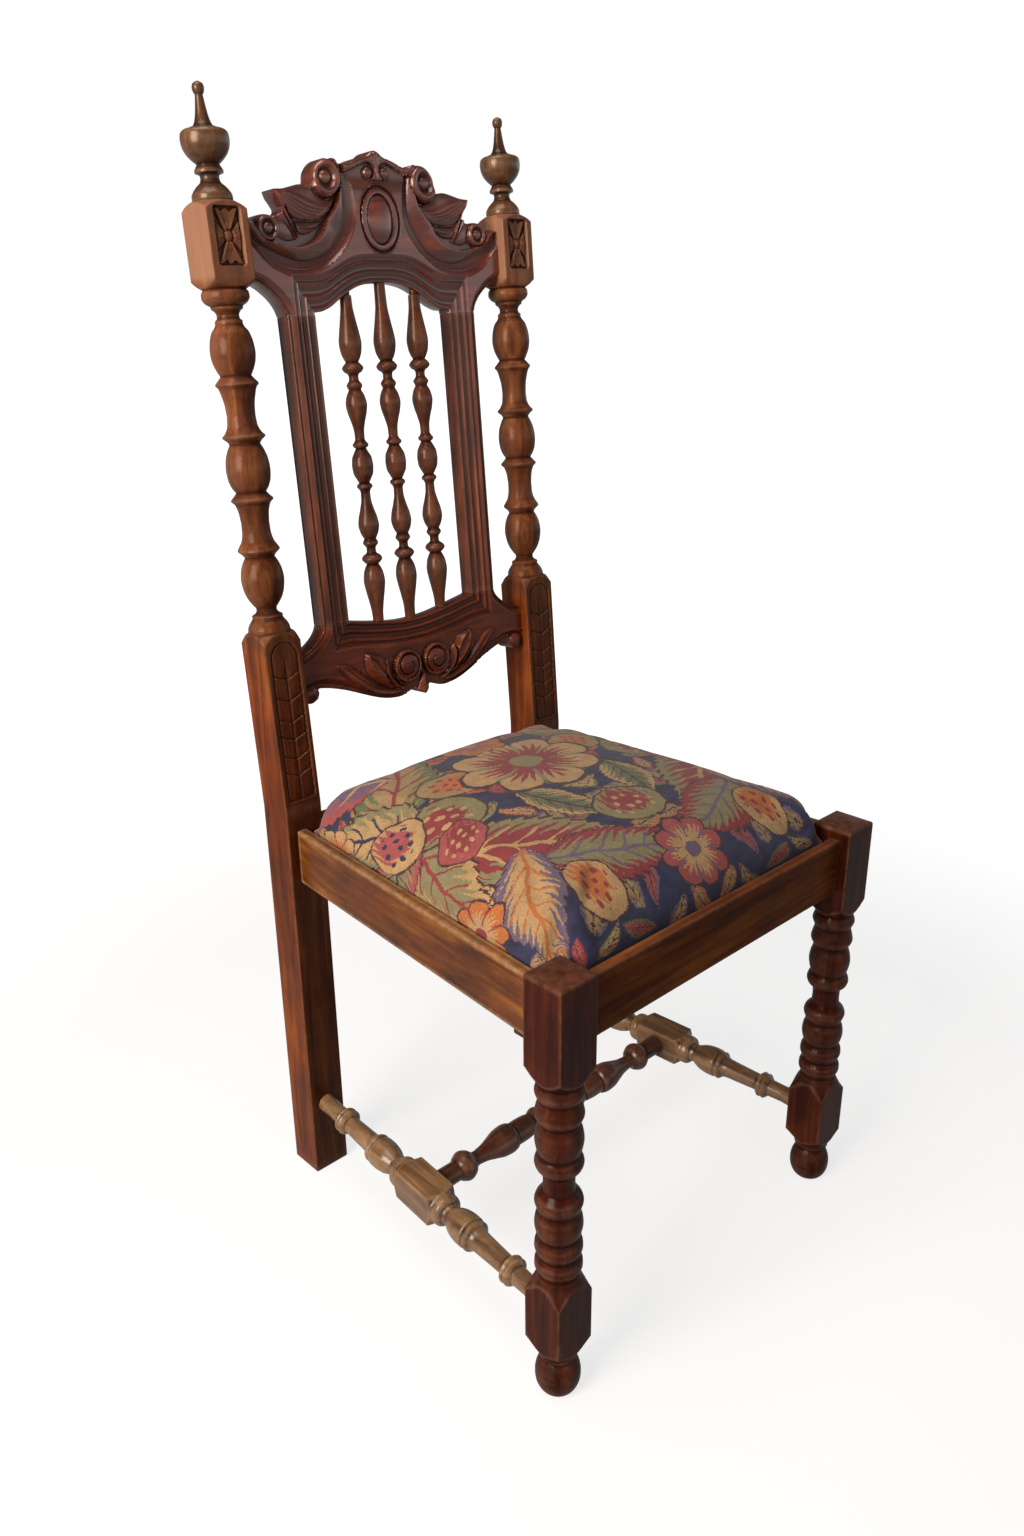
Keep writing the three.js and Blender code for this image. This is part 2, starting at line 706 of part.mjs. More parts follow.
function sideStretcher() {
  const blockHalf = stretcherBlockLength / 2;
  const run = (reach) => turning(stretcherAngleing, reach - faceSlack - blockHalf, stretcherRadius, blockHalf);
  const ends = (reach) => [[roundTenonRadius, reach - faceSlack], [roundTenonRadius, reach + tenonLength]];
  const profile = [
    ...halfTurn([...run(frontReach), ...ends(frontReach)]),
    ...run(backReach), ...ends(backReach),
  ];
  const lathe = turned(profile, 8);
  const half = stretcherBlock / 2;
  const blank = box([-half, -half, -overrun], [half, half, overrun]);
  const bar = common(blank, lathe).rotateX(-Math.PI / 2);
  const hole = moved(crossPeg(clearance), -stretcherX, -stretcherMiddle, -stretcherHeight);
  return cut(bar, hole.rotateZ(-stretcherAngle));
}

// The round tenon of a side stretcher in the chair's frame, at its front (-1) or back (1) end
function sideStretcherPeg(grow, end) {
  const reach = end < 0 ? frontReach : backReach;
  const length = reach + tenonLength + grow;
  return peg(roundTenonRadius + grow, 0, length)
    .rotateX(end < 0 ? Math.PI / 2 : -Math.PI / 2)
    .rotateZ(stretcherAngle)
    .translate(stretcherX, stretcherMiddle, stretcherHeight);
}

// Cross stretcher, in its own frame along Z, between the two square blocks
const crossReach = stretcherX - stretcherBlock / 2 / Math.cos(stretcherAngle);
const crossSlack = clearance + crossRadius * Math.tan(stretcherAngle);

function crossStretcher() {
  const half = [
    ...turning(crossTurning, crossReach - crossSlack, crossRadius),
    [roundTenonRadius, crossReach - crossSlack], [roundTenonRadius, crossReach + tenonLength],
  ];
  return turned([...halfTurn(half), ...half.slice(1)], 8).rotateY(Math.PI / 2);
}

function crossPeg(grow) {
  return peg(roundTenonRadius + grow, 0, crossReach + tenonLength + grow)
    .rotateY(Math.PI / 2)
    .translate(0, stretcherMiddle, stretcherHeight);
}

// Drop-in seat. Its plan is a tapering board, notched round the front legs and the back posts.
const lipFront = -legHalf + railSetBack + lipWidth;
const seatFront = lipFront + seatGap;
const seatBack = backRailFront + lipWidth - seatGap;
const notchX = legX - legHalf - seatGap;
const notchY = legHalf + seatGap;
const backNotchX = postX - postHalf - seatGap;
const backNotchY = railBack - seatGap;

function seatSideAt(y) {
  const outer = railStartX - (y - railFront) * Math.tan(railAngle);
  return outer - (lipWidth + seatGap) / Math.cos(railAngle);
}

// The right half of the plan from the front middle to the back middle, drawn in by an inset
function seatCorners(inset) {
  const x = (y) => seatSideAt(y) - inset;
  return [
    [notchX - inset, seatFront + inset], [notchX - inset, notchY + inset],
    [x(notchY + inset), notchY + inset], [x(backNotchY - inset), backNotchY - inset],
    [backNotchX - inset, backNotchY - inset], [backNotchX - inset, seatBack - inset],
  ];
}

// Bare plan with rounded corners, as one loop of points
const cornerRoundShares = [1, 0.4, 1, 1, 0.4, 1];
const cornerRound = 9;
const edgeDivisions = [3, 1, 1, 5, 1, 1, 3];

function seatPlan(inset) {
  const corners = seatCorners(inset);
  const first = [0, corners[0][1]];
  const last = [0, corners.at(-1)[1]];
  const path = [first, ...corners, last];
  const half = [first];
  for (let i = 1; i < path.length; i += 1) {
    const corner = i < path.length - 1;
    const [from, to] = [half.at(-1), new THREE.Vector2(...path[i])];
    const previous = new THREE.Vector2(...from);
    const round = corner ? cornerRound * cornerRoundShares[i - 1] : 0;
    const length = previous.distanceTo(to);
    const stop = to.clone().lerp(previous, Math.min(round / length, 0.5));
    for (let k = 1; k <= edgeDivisions[i - 1]; k += 1) {
      half.push(previous.clone().lerp(stop, k / edgeDivisions[i - 1]).toArray());
    }
    if (corner) {
      const next = new THREE.Vector2(...path[i + 1]);
      const leave = to.clone().lerp(next, Math.min(round / to.distanceTo(next), 0.5));
      const curve = new THREE.QuadraticBezierCurve(stop, to, leave);
      half.push(curve.getPoint(0.5).toArray(), leave.toArray());
    }
  }
  return ring(half);
}

// Height of the crowned top above the rail at a point of the plan
function crownAt(x, y) {
  const across = Math.abs(x);
  const side = seatSideAt(y) - across;
  const near = Math.hypot(Math.max(0, notchX - across), Math.max(0, y - notchY));
  const far = Math.hypot(Math.max(0, backNotchX - across), Math.max(0, backNotchY - y));
  const fall = (distance, radius) => 1 - THREE.MathUtils.clamp(distance / radius, 0, 1);
  const falls = [
    fall(side, shoulderRadius), fall(y - seatFront, shoulderRadius), fall(seatBack - y, shoulderRadius),
    fall(near, notchRadius), fall(far, notchRadius),
  ];
  const drop = Math.min(1, Math.hypot(...falls));
  const u = Math.min(1, across / seatSideAt(y));
  const v = THREE.MathUtils.clamp((y - seatFront) / (seatBack - seatFront), 0, 1) * 2 - 1;
  const crown = (1 - u ** 2.3) * (1 - Math.abs(v) ** 3);
  return shoulderRise * Math.sqrt(1 - drop * drop) + crownRise * crown;
}

// Loops of the crowned top drawn in towards the middle, nearer together at the edge
const loopShares = [0, 0.012, 0.04, 0.09, 0.17, 0.4, 0.7];
const seatMiddle = (seatFront + seatBack) / 2;

function crownLoops(inset) {
  const outer = seatPlan(0);
  const plan = seatPlan(inset);
  return loopShares.map((share) => plan.map(([x, y], i) => {
    const drawnIn = (value, middle) => middle + (value - middle) * (1 - share);
    const height = crownAt(drawnIn(outer[i][0], 0), drawnIn(outer[i][1], seatMiddle));
    return [drawnIn(x, 0), drawnIn(y, seatMiddle), railTop + height - inset];
  }));
}

// Closed body over a row of loops with the same number of points, with a middle point at each end
function closed(loops, firstMiddle, lastMiddle) {
  const count = loops[0].length;
  const positions = [...loops.flat(2), ...firstMiddle, ...lastMiddle];
  const [firstCentre, lastCentre] = [loops.length * count, loops.length * count + 1];
  const indices = [];
  for (let i = 0; i < count; i += 1) {
    const j = (i + 1) % count;
    for (let row = 0; row + 1 < loops.length; row += 1) {
      const [a, b, c, d] = [row * count + i, row * count + j, (row + 1) * count + j, (row + 1) * count + i];
      indices.push(a, b, c, a, c, d);
    }
    const lastRow = (loops.length - 1) * count;
    indices.push(j, i, firstCentre, lastRow + i, lastRow + j, lastCentre);
  }
  const geometry = new THREE.BufferGeometry();
  geometry.setAttribute('position', new THREE.BufferAttribute(new Float32Array(positions), 3));
  geometry.setIndex(indices);
  return geometry;
}

const flangeBottom = ledgeHeight + clearance;
const frameBottom = flangeBottom + coverThickness + clearance;
const frameTop = frameBottom + frameThickness;
const webBottom = frameTop + clearance;
const stuffingBottom = webBottom + 2 * webThickness + 2 * clearance;
const skinGap = coverThickness + clearance;

function flat(plan, z) {
  return plan.map(([x, y]) => [x, y, z]);
}

// The crowned body drawn in by an inset, down to a flat underside
function crownBody(inset, bottom) {
  const top = railTop + crownAt(0, seatMiddle) - inset;
  const loops = [flat(seatPlan(inset), bottom), ...crownLoops(inset)];
  return closed(loops, [0, seatMiddle, bottom], [0, seatMiddle, top]);
}

// Tapestry cover: over the crown, down the frame's edge and turned in beneath it
function seatCover() {
  const hollow = crownBody(coverThickness, flangeBottom + coverThickness);
  const opening = prism(seatPlan(flangeWidth), flangeBottom - clearance, frameBottom);
  return cut(crownBody(0, flangeBottom), hollow, opening);
}

function seatStuffing() {
  const above = box([-overrun, -overrun, stuffingBottom], [overrun, overrun, overrun * 2]);
  return common(crownBody(skinGap, ledgeHeight), above);
}

// The wooden frame under the cover: front and back members, and a side member at each side
const memberInset = skinGap;
const memberFrontEdge = seatFront + memberInset + frameWidth;
const memberBackEdge = seatBack - memberInset - frameWidth;

function frameSideAt(y) {
  return seatSideAt(y) - memberInset;
}

function framePiece(within) {
  return common(prism(seatPlan(memberInset), frameBottom, frameTop), within);
}

function frameEnd(fromY, toY) {
  return framePiece(box([-overrun, fromY, frameBottom - overrun], [overrun, toY, frameTop + overrun]));
}

function frameSide() {
  const [near, far] = [memberFrontEdge + clearance, memberBackEdge - clearance];
  return framePiece(prism([
    [frameSideAt(near) - frameWidth, near], [overrun, near],
    [overrun, far], [frameSideAt(far) - frameWidth, far],
  ], frameBottom - overrun, frameTop + overrun));
}

// Webbing: three straps from front to back, and three across on top of them
const strapPlaces = [-1, 0, 1];
const webFront = seatFront + memberInset + webInset;
const webBack = seatBack - memberInset - webInset;

function lengthwiseStrap() {
  return box([-webWidth / 2, webFront, webBottom], [webWidth / 2, webBack, webBottom + webThickness]);
}

function crosswiseStrap(y) {
  const bottom = webBottom + webThickness + clearance;
  const reach = frameSideAt(y + webWidth / 2) - webInset;
  return box([-reach, y - webWidth / 2, bottom], [reach, y + webWidth / 2, bottom + webThickness]);
}

const dustTop = flangeBottom - clearance;

function dustCover() {
  const corners = seatCorners(dustInset);
  return prism(bothSides(corners), dustTop - dustThickness, dustTop);
}

// Tack heads along the edge of the dust cover: a pair in front, a pair behind and two pairs at the sides
const tackEdge = dustInset + tackInset;
const tackPlaceShares = { front: 0.45, back: 0.45, side_front: 0.25, side_back: 0.75 };

function tack() {
  const top = dustTop - dustThickness - clearance;
  return turned([
    [tackRadius * 0.45, top - tackHeight], [tackRadius * 0.85, top - tackHeight * 0.65], [tackRadius, top],
  ], 6);
}

function tackPlace(place) {
  const share = tackPlaceShares[place];
  if (place === 'front') return [notchX * share, seatFront + tackEdge];
  if (place === 'back') return [backNotchX * share, seatBack - tackEdge];
  const y = THREE.MathUtils.lerp(notchY, backNotchY, share);
  return [seatSideAt(y) - tackEdge, y];
}

// Corner blocks glued and screwed in the corners of the seat rails
const blockTop = ledgeHeight - cornerBlockDrop;
const blockBottom = blockTop - cornerBlockHeight;
const screwHeight = (blockTop + blockBottom) / 2;
const frontInner = -legHalf + railSetBack + railThickness;

function sideInnerAt(y) {
  return railStartX - (y - railFront) * Math.tan(railAngle) - acrossRail;
}

function frontBlock() {
  const legInner = legX - legHalf - clearance;
  const y = legHalf + clearance;
  const far = y + cornerBlockSize;
  const near = frontInner + clearance;
  const points = [
    [legInner - cornerBlockSize, near], [legInner, near], [legInner, y],
    [sideInnerAt(y) - clearance, y], [sideInnerAt(far) - clearance, far],
  ];
  return cut(prism(points, blockBottom, blockTop), frontScrew(clearance),
    sideScrew(clearance, sideScrewRows[0]));
}

function backBlock() {
  const y = railBack - clearance;
  const near = y - cornerBlockSize;
  const inner = postX - postHalf;
  const points = [
    [sideInnerAt(near) - clearance, near], [sideInnerAt(y) - clearance, y],
    [inner - cornerBlockSize, y],
  ];
  return cut(prism(points, blockBottom, blockTop), backScrew(clearance),
    sideScrew(clearance, sideScrewRows[1]));
}

// A screw along Z, its point at the top, its head at the bottom, with a pocket behind a cutter's head
function screw(grow) {
  const tip = screwRadius * 0.3;
  const points = [
    [screwHeadRadius + grow, grow ? -screwPocket : 0], [screwHeadRadius + grow, grow],
    [screwRadius + grow, screwHeadHeight + grow],
    [screwRadius + grow, screwLength - screwRadius * 2],
    [tip + grow, screwLength + grow],
  ];
  return turned(points, 8);
}

// The screws on the right, by the rail they enter: each passes its block and bites into the rail
const screwBack = screwLength - screwBite;
const blockHalf = cornerBlockSize / 2;
const sideScrewRows = [legHalf + blockHalf, railBack - blockHalf];

function frontScrew(grow) {
  return screw(grow).rotateX(Math.PI / 2)
    .translate(legX - legHalf - blockHalf, frontInner + screwBack, screwHeight);
}

function backScrew(grow) {
  return screw(grow).rotateX(-Math.PI / 2)
    .translate(postX - postHalf - blockHalf, railBack - screwBack, screwHeight);
}

function sideScrew(grow, y) {
  return screw(grow).rotateY(Math.PI / 2)
    .rotateZ(-railAngle)
    .translate(sideInnerAt(y) - screwBack, y, screwHeight);
}

// Assembly
const chair = new THREE.Group();
const raked = rakedFrame();
chair.add(raked);

function put(parent, name, geometry, finish, position = [0, 0, 0]) {
  const mesh = new THREE.Mesh(geometry, materialOf(finish));
  mesh.name = name;
  mesh.position.set(...position);
  parent.add(mesh);
}

function putPair(parent, name, geometry, finish, [x, y, z] = [0, 0, 0]) {
  put(parent, `${name}_right`, geometry, finish, [x, y, z]);
  put(parent, `${name}_left`, mirrored(geometry), finish, [-x, y, z]);
}

putPair(chair, 'front_leg', frontLeg(), 'mahogany', [legX, 0, 0]);
putPair(chair, 'back_post', backPost(), 'mahogany', [postX, 0, 0]);
putPair(raked, 'finial', finial(), 'walnut', [postX, 0, postTop]);
put(raked, 'crest_rail', crestRail(), 'crest');
put(raked, 'lower_back_rail', lowerRail(), 'mahogany');
putPair(raked, 'back_stile', stile(), 'mahogany');
['left', 'middle', 'right'].forEach((side, i) => {
  const x = (i - 1) * spindlePitch;
  put(raked, `spindle_${side}`, spindle(x), 'mahogany', [x, 0, 0]);
});
put(chair, 'front_seat_rail', frontRail(), 'mahogany');
putPair(chair, 'side_seat_rail', sideRail(), 'rail', [railStartX, railFront, 0]);
put(chair, 'back_seat_rail', backRail(), 'rail');
putPair(chair, 'front_corner_block', frontBlock(), 'pine');
putPair(chair, 'back_corner_block', backBlock(), 'pine');
putPair(chair, 'screw_front_rail', frontScrew(0), 'steel');
putPair(chair, 'screw_back_rail', backScrew(0), 'steel');
putPair(chair, 'screw_side_rail_front', sideScrew(0, sideScrewRows[0]), 'steel');
putPair(chair, 'screw_side_rail_back', sideScrew(0, sideScrewRows[1]), 'steel');
for (const side of [1, -1]) {
  const body = sideStretcher();
  const mesh = new THREE.Mesh(side > 0 ? body : mirrored(body), materialOf('walnut'));
  mesh.name = side > 0 ? 'side_stretcher_right' : 'side_stretcher_left';
  mesh.position.set(side * stretcherX, stretcherMiddle, stretcherHeight);
  mesh.rotation.z = side * stretcherAngle;
  chair.add(mesh);
}
put(chair, 'cross_stretcher', crossStretcher(), 'walnut', [0, stretcherMiddle, stretcherHeight]);

const seat = new THREE.Group();
chair.add(seat);
put(seat, 'seat_cover', seatCover(), 'tapestry');
put(seat, 'seat_stuffing', seatStuffing(), 'hair');
strapPlaces.forEach((place, i) => {
  const across = ['left', 'middle', 'right'][i];
  const along = ['front', 'middle', 'back'][i];
  put(seat, `webbing_lengthwise_${across}`, lengthwiseStrap(), 'webbing', [place * webPitch, 0, 0]);
  put(seat, `webbing_crosswise_${along}`, crosswiseStrap(seatMiddle + place * webPitch), 'webbing');
});
put(seat, 'seat_frame_front', frameEnd(-overrun, memberFrontEdge), 'pine');
put(seat, 'seat_frame_back', frameEnd(memberBackEdge, overrun), 'pine');
putPair(seat, 'seat_frame_side', frameSide(), 'pine');
put(seat, 'seat_dust_cover', dustCover(), 'cambric');
for (const place of Object.keys(tackPlaceShares)) {
  putPair(seat, `tack_${place}`, tack(), 'steel', [...tackPlace(place), 0]);
}

// Centre the bounding box over the origin, and stand the feet on the floor
const bounds = new THREE.Box3().setFromObject(chair, true);
const centre = bounds.getCenter(new THREE.Vector3());
chair.position.set(-centre.x, -centre.y, -bounds.min.z);

const part = new THREE.Group();
part.add(chair);

export default part;
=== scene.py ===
"""Dresses a carved high-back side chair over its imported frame.

Shapes are worked out in millimetres in the chair's own frame, and become metres when a mesh is made.
x runs across the chair, y towards its back and z up. The back leans, so it has a frame of its own:
x across, v in its depth and s the way up it from the knee in the posts.
"""
from __future__ import annotations

import sys
import logging
import math
from dataclasses import dataclass
from enum import Enum
from functools import partial
from typing import Callable, Iterable, Sequence

import bmesh
import bpy
import numpy as np
from mathutils import Matrix, Vector
from mathutils.geometry import delaunay_2d_cdt


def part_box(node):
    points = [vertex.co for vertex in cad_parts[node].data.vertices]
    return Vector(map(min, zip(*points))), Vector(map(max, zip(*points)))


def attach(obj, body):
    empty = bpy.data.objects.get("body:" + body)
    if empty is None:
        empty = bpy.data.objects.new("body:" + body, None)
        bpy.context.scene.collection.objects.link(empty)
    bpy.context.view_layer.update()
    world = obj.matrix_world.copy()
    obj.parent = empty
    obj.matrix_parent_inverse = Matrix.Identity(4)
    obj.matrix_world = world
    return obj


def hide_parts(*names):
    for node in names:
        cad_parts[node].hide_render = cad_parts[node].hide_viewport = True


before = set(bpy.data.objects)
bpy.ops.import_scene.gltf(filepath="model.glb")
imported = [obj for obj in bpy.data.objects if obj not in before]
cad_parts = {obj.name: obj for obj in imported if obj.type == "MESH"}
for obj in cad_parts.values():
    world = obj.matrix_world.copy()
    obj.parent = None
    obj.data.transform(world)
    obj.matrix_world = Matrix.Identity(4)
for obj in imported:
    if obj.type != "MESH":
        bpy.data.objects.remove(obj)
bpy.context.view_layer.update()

LOG = logging.getLogger("chair")
MM = 0.001
# The turnings and carvings were read at a trial size, and this brings them to the chair's own
READ_SCALE = 0.96
FRAME_BODY = "chair_frame"
SEAT_BODY = "drop_in_seat"
SIDES = ((-1, "left"), (1, "right"))
FULL_TURN = 2 * math.pi

Points = Sequence[tuple[float, float]]
Faces = list[Sequence[int]]
Shell = tuple[np.ndarray, Faces]
Placer = Callable[[np.ndarray, np.ndarray, float], np.ndarray]
Tree = bpy.types.NodeTree
Socket = bpy.types.NodeSocket


# ---------------------------------------------------------------- small tools


def linear(colour: str, alpha: float = 1.0) -> tuple[float, float, float, float]:
    """Turns an sRGB hex colour to the linear values that a socket takes.

    Args:
        colour: the colour as "#rrggbb".
        alpha: its opacity.

    Returns:
        Red, green, blue and alpha, linear.
    """
    parts = [int(colour[i : i + 2], 16) / 255 for i in (1, 3, 5)]
    red, green, blue = (c / 12.92 if c <= 0.04045 else ((c + 0.055) / 1.055) ** 2.4 for c in parts)
    return red, green, blue, alpha


def add_node(
    tree: Tree,
    kind: str,
    *given: object,
    out: int | str | None = 0,
    stops: Iterable[tuple[float, str]] = (),
    **settings: object,
) -> Socket | bpy.types.NodeOutputs:
    """Adds a node with its settings and its links.

    Args:
        tree: the tree it goes in.
        kind: the node's type name, where a shader's goes without "ShaderNode" before it.
        *given: what each input takes, in order: a socket to link from, or a value to set. A dict gives
            them by the input's name or number.
        out: the output that is wanted, or None for all of them.
        stops: places and hex colours, where the node is a colour ramp.
        **settings: the node's own properties.

    Returns:
        The output, or all of them.
    """
    node = tree.nodes.new(kind if "Node" in kind else f"ShaderNode{kind}")
    for key, value in settings.items():
        setattr(node, key, value)
    wires = {}
    for i, value in enumerate(given):
        wires.update(value if isinstance(value, dict) else {i: value})
    for key, value in wires.items():
        socket = node.inputs[key]
        if isinstance(value, bpy.types.NodeSocket):
            tree.links.new(value, socket)
        elif isinstance(value, str) and value.startswith("#"):
            socket.default_value = linear(value)
        else:
            socket.default_value = value
    for i, (place, colour) in enumerate(stops):
        ramp = node.color_ramp.elements
        stop = ramp[i] if i < len(ramp) else ramp.new(place)
        stop.position = place
        stop.color = linear(colour)
    return node.outputs if out is None else node.outputs[out]


def new_group(name: str, kind: str, inputs: dict[str, str], result: tuple[str, str]) -> Tree:
    """Makes an empty node group.

    Args:
        name: its name.
        kind: the type of its tree.
        inputs: its named inputs, each with its sort of socket.
        result: its output's name and sort.

    Returns:
        The group.
    """
    group = bpy.data.node_groups.new(name, kind)
    for title, sort in inputs.items():
        group.interface.new_socket(title, in_out="INPUT", socket_type=f"NodeSocket{sort}")
    group.interface.new_socket(result[0], in_out="OUTPUT", socket_type=f"NodeSocket{result[1]}")
    return group


def curve_through(points: Points, step: float = 1.2) -> np.ndarray:
    """Gives a smooth curve through points.

    Args:
        points: the points, at least two.
        step: how far apart the curve's own points lie, about.

    Returns:
        The curve's points, one in each row.
    """
    held = np.array(points, float)
    if len(held) < 3:
        count = max(2, int(np.linalg.norm(held[-1] - held[0]) / step) + 1)
        return held[0] + np.linspace(0, 1, count)[:, None] * (held[-1] - held[0])
    padded = np.vstack((2 * held[0] - held[1], held, 2 * held[-1] - held[-2]))
    drawn = []
    for a, b, c, d in zip(padded, padded[1:], padded[2:], padded[3:]):
        count = max(1, int(round(np.linalg.norm(c - b) / step)))
        t = np.arange(count)[:, None] / count
        drawn.append(
            0.5 * (2 * b + (c - a) * t + (2 * a - 5 * b + 4 * c - d) * t**2 + (3 * b - a - 3 * c + d) * t**3)
        )
    return np.vstack((*drawn, held[-1:]))


def distance_to(line: np.ndarray, spots: np.ndarray) -> tuple[np.ndarray, np.ndarray]:
    """Measures how far spots lie from a line, and where along it.

    Args:
        line: the line's points.
        spots: the spots to measure.

    Returns:
        The distance of each spot, and the share of the line's length where it is nearest.
    """
    start, run = line[:-1], np.diff(line, axis=0)
    length = np.linalg.norm(run, axis=1)
    gone = np.concatenate(([0], np.cumsum(length)))
    best = np.full(len(spots), np.inf)
    share = np.zeros(len(spots))
    for i, (base, vector) in enumerate(zip(start, run)):
        if length[i] < 1e-9:
            continue
        along = np.clip((spots - base) @ vector / length[i] ** 2, 0, 1)
        away = np.hypot(*(spots - base - along[:, None] * vector).T)
        nearer = away < best
        best[nearer] = away[nearer]
        share[nearer] = ((gone[i] + along * length[i]) / gone[-1])[nearer]
    return best, share


def closed(line: np.ndarray) -> np.ndarray:
    """Gives a closed line's points with the first one again at the end."""
    return np.vstack((line, line[:1]))


def inside_of(loop: np.ndarray, spots: np.ndarray) -> np.ndarray:
    """Says which spots lie inside a closed loop."""
    inside = np.zeros(len(spots), bool)
    x, y = spots.T
    for (ax, ay), (bx, by) in zip(loop, np.roll(loop, -1, axis=0)):
        if ay == by:
            continue
        crosses = (ay > y) != (by > y)
        inside ^= crosses & (x < (bx - ax) * (y - ay) / (by - ay) + ax)
    return inside


def spiral(
    centre: tuple[float, float], radii: Sequence[float], start: float, turned: float
) -> list[tuple[float, float]]:
    """Gives points along a spiral.

    Args:
        centre: its eye.
        radii: how far it lies from the eye, at even steps of its turning.
        start: the angle where it starts, in degrees.
        turned: how far it turns, in degrees, and negative for clockwise.

    Returns:
        The points.
    """
    share = np.linspace(0, 1, max(12, int(abs(turned) / 9)))
    away = np.interp(share, np.linspace(0, 1, len(radii)), radii)
    angle = np.radians(start + turned * share)
    across, up = centre[0] + away * np.cos(angle), centre[1] + away * np.sin(angle)
    return list(zip(across.tolist(), up.tolist()))


def circle(centre: tuple[float, float], reach: tuple[float, float], count: int) -> np.ndarray:
    """Gives points round a circle or an oval, the first one again at the end."""
    turn = np.linspace(0, FULL_TURN, count)
    return np.column_stack((centre[0] + reach[0] * np.cos(turn), centre[1] + reach[1] * np.sin(turn)))


def eased(value: np.ndarray) -> np.ndarray:
    """Runs smoothly from 0 to 1 as a value does, and stays there outside."""
    held = np.clip(value, 0, 1)
    return held * held * (3 - 2 * held)


def turned_radius(profile: Points, at: np.ndarray) -> np.ndarray:
    """Draws a turner's profile through its measured points: beads are round, and quirks stay sharp.

    Args:
        profile: the measured points, each a place along the piece and a radius.
        at: the places where the radius is wanted.

    Returns:
        The radius at each place.
    """
    place, radius = np.array(profile, float).T
    gap = np.diff(place)
    slope = np.diff(radius) / gap
    before = np.concatenate(([slope[0]], slope))
    after = np.concatenate((slope, [slope[-1]]))
    total = before + after
    same_way = before * after > 0
    through = np.where(same_way, 2 * before * after / np.where(same_way, total, 1), 0)
    quirk = (before < 0) & (after > 0)
    i = np.clip(np.searchsorted(place, at, "right") - 1, 0, len(gap) - 1)
    t = np.clip((at - place[i]) / gap[i], 0, 1)
    leave = np.where(quirk, after, through)[i] * gap[i]
    arrive = np.where(quirk, before, through)[i + 1] * gap[i]
    return (
        radius[i] * (1 + 2 * t) * (1 - t) ** 2
        + leave * t * (1 - t) ** 2
        + radius[i + 1] * t * t * (3 - 2 * t)
        - arrive * t * t * (1 - t)
    )


def stations_between(first: float, last: float, step: float) -> np.ndarray:
    """Gives evenly spaced places from first to last, no further apart than step."""
    return np.linspace(first, last, max(2, int(math.ceil(abs(last - first) / step)) + 1))


# ---------------------------------------------------------------- meshes and pieces


def read_spots(mesh: bpy.types.Mesh) -> np.ndarray:
    """Reads a mesh's points in millimetres, one in each row."""
    spots = np.empty(len(mesh.vertices) * 3)
    mesh.vertices.foreach_get("co", spots)
    return spots.reshape(-1, 3) / MM


def write_spots(mesh: bpy.types.Mesh, spots: np.ndarray) -> None:
    """Puts points in millimetres back in a mesh."""
    mesh.vertices.foreach_set("co", (spots * MM).ravel())


def read_normals(mesh: bpy.types.Mesh) -> np.ndarray:
    """Reads which way a mesh faces at each point."""
    normals = np.empty(len(mesh.vertices) * 3)
    mesh.vertex_normals.foreach_get("vector", normals)
    return normals.reshape(-1, 3)


def proud_and_hollow(mesh: bpy.types.Mesh, passes: int, full: float) -> np.ndarray:
    """Finds where a shape stands proud and where it is hollow: rubbing and a painted highlight go on what is proud,
    and grime stays in what is hollow.

    Args:
        mesh: the shape.
        passes: how many times the shape is smoothed, which sets how wide the marks are.
        full: the height in millimetres over the smoothed shape that counts as fully proud.

    Returns:
        A value for each point, from -1 in a deep hollow to 1 on a sharp edge.
    """
    spots = read_spots(mesh)
    count = len(spots)
    edges = np.empty(len(mesh.edges) * 2, int)
    mesh.edges.foreach_get("vertices", edges)
    a, b = edges.reshape(-1, 2).T
    neighbours = np.maximum(np.bincount(a, minlength=count) + np.bincount(b, minlength=count), 1)
    smooth = spots.copy()
    for _ in range(passes):
        total = np.stack(
            [np.bincount(a, smooth[b, k], count) + np.bincount(b, smooth[a, k], count) for k in range(3)], 1
        )
        smooth = total / neighbours[:, None]
    return np.clip(((spots - smooth) * read_normals(mesh)).sum(1) / full, -1, 1)


def make_mesh(
    name: str,
    spots: np.ndarray,
    faces: Iterable[Sequence[int]],
    sharp: float = 32.0,
    merge: float = 0.01,
    wear: tuple[int, float] | None = (5, 0.35),
) -> bpy.types.Mesh:
    """Makes a closed mesh in metres from points in millimetres, with its faces turned outwards.

    Args:
        name: the mesh's name.
        spots: the points.
        faces: the faces, as rows of point numbers.
        sharp: the angle in degrees past which an edge is shaded as sharp.
        merge: points nearer than this become one.
        wear: the passes and the height of proud_and_hollow, or None where the shape takes no such marks.

    Returns:
        The mesh.
    """
    mesh = bpy.data.meshes.new(name)
    mesh.from_pydata((np.asarray(spots, float) * MM).tolist(), [], faces)
    shape = bmesh.new()
    shape.from_mesh(mesh)
    bmesh.ops.remove_doubles(shape, verts=shape.verts, dist=merge * MM)
    bmesh.ops.dissolve_degenerate(shape, edges=shape.edges, dist=merge * MM * 0.1)
    bmesh.ops.recalc_face_normals(shape, faces=shape.faces)
    shape.to_mesh(mesh)
    shape.free()
    mesh.shade_smooth()
    mesh.set_sharp_from_angle(angle=math.radians(sharp))
    # Marks proud edges, which take rubbing and a painted highlight, and hollows, which take grime
    if wear:
        mark = mesh.attributes.new("wear", "FLOAT", "POINT")
        mark.data.foreach_set("value", proud_and_hollow(mesh, *wear).astype(np.float32))
    return mesh


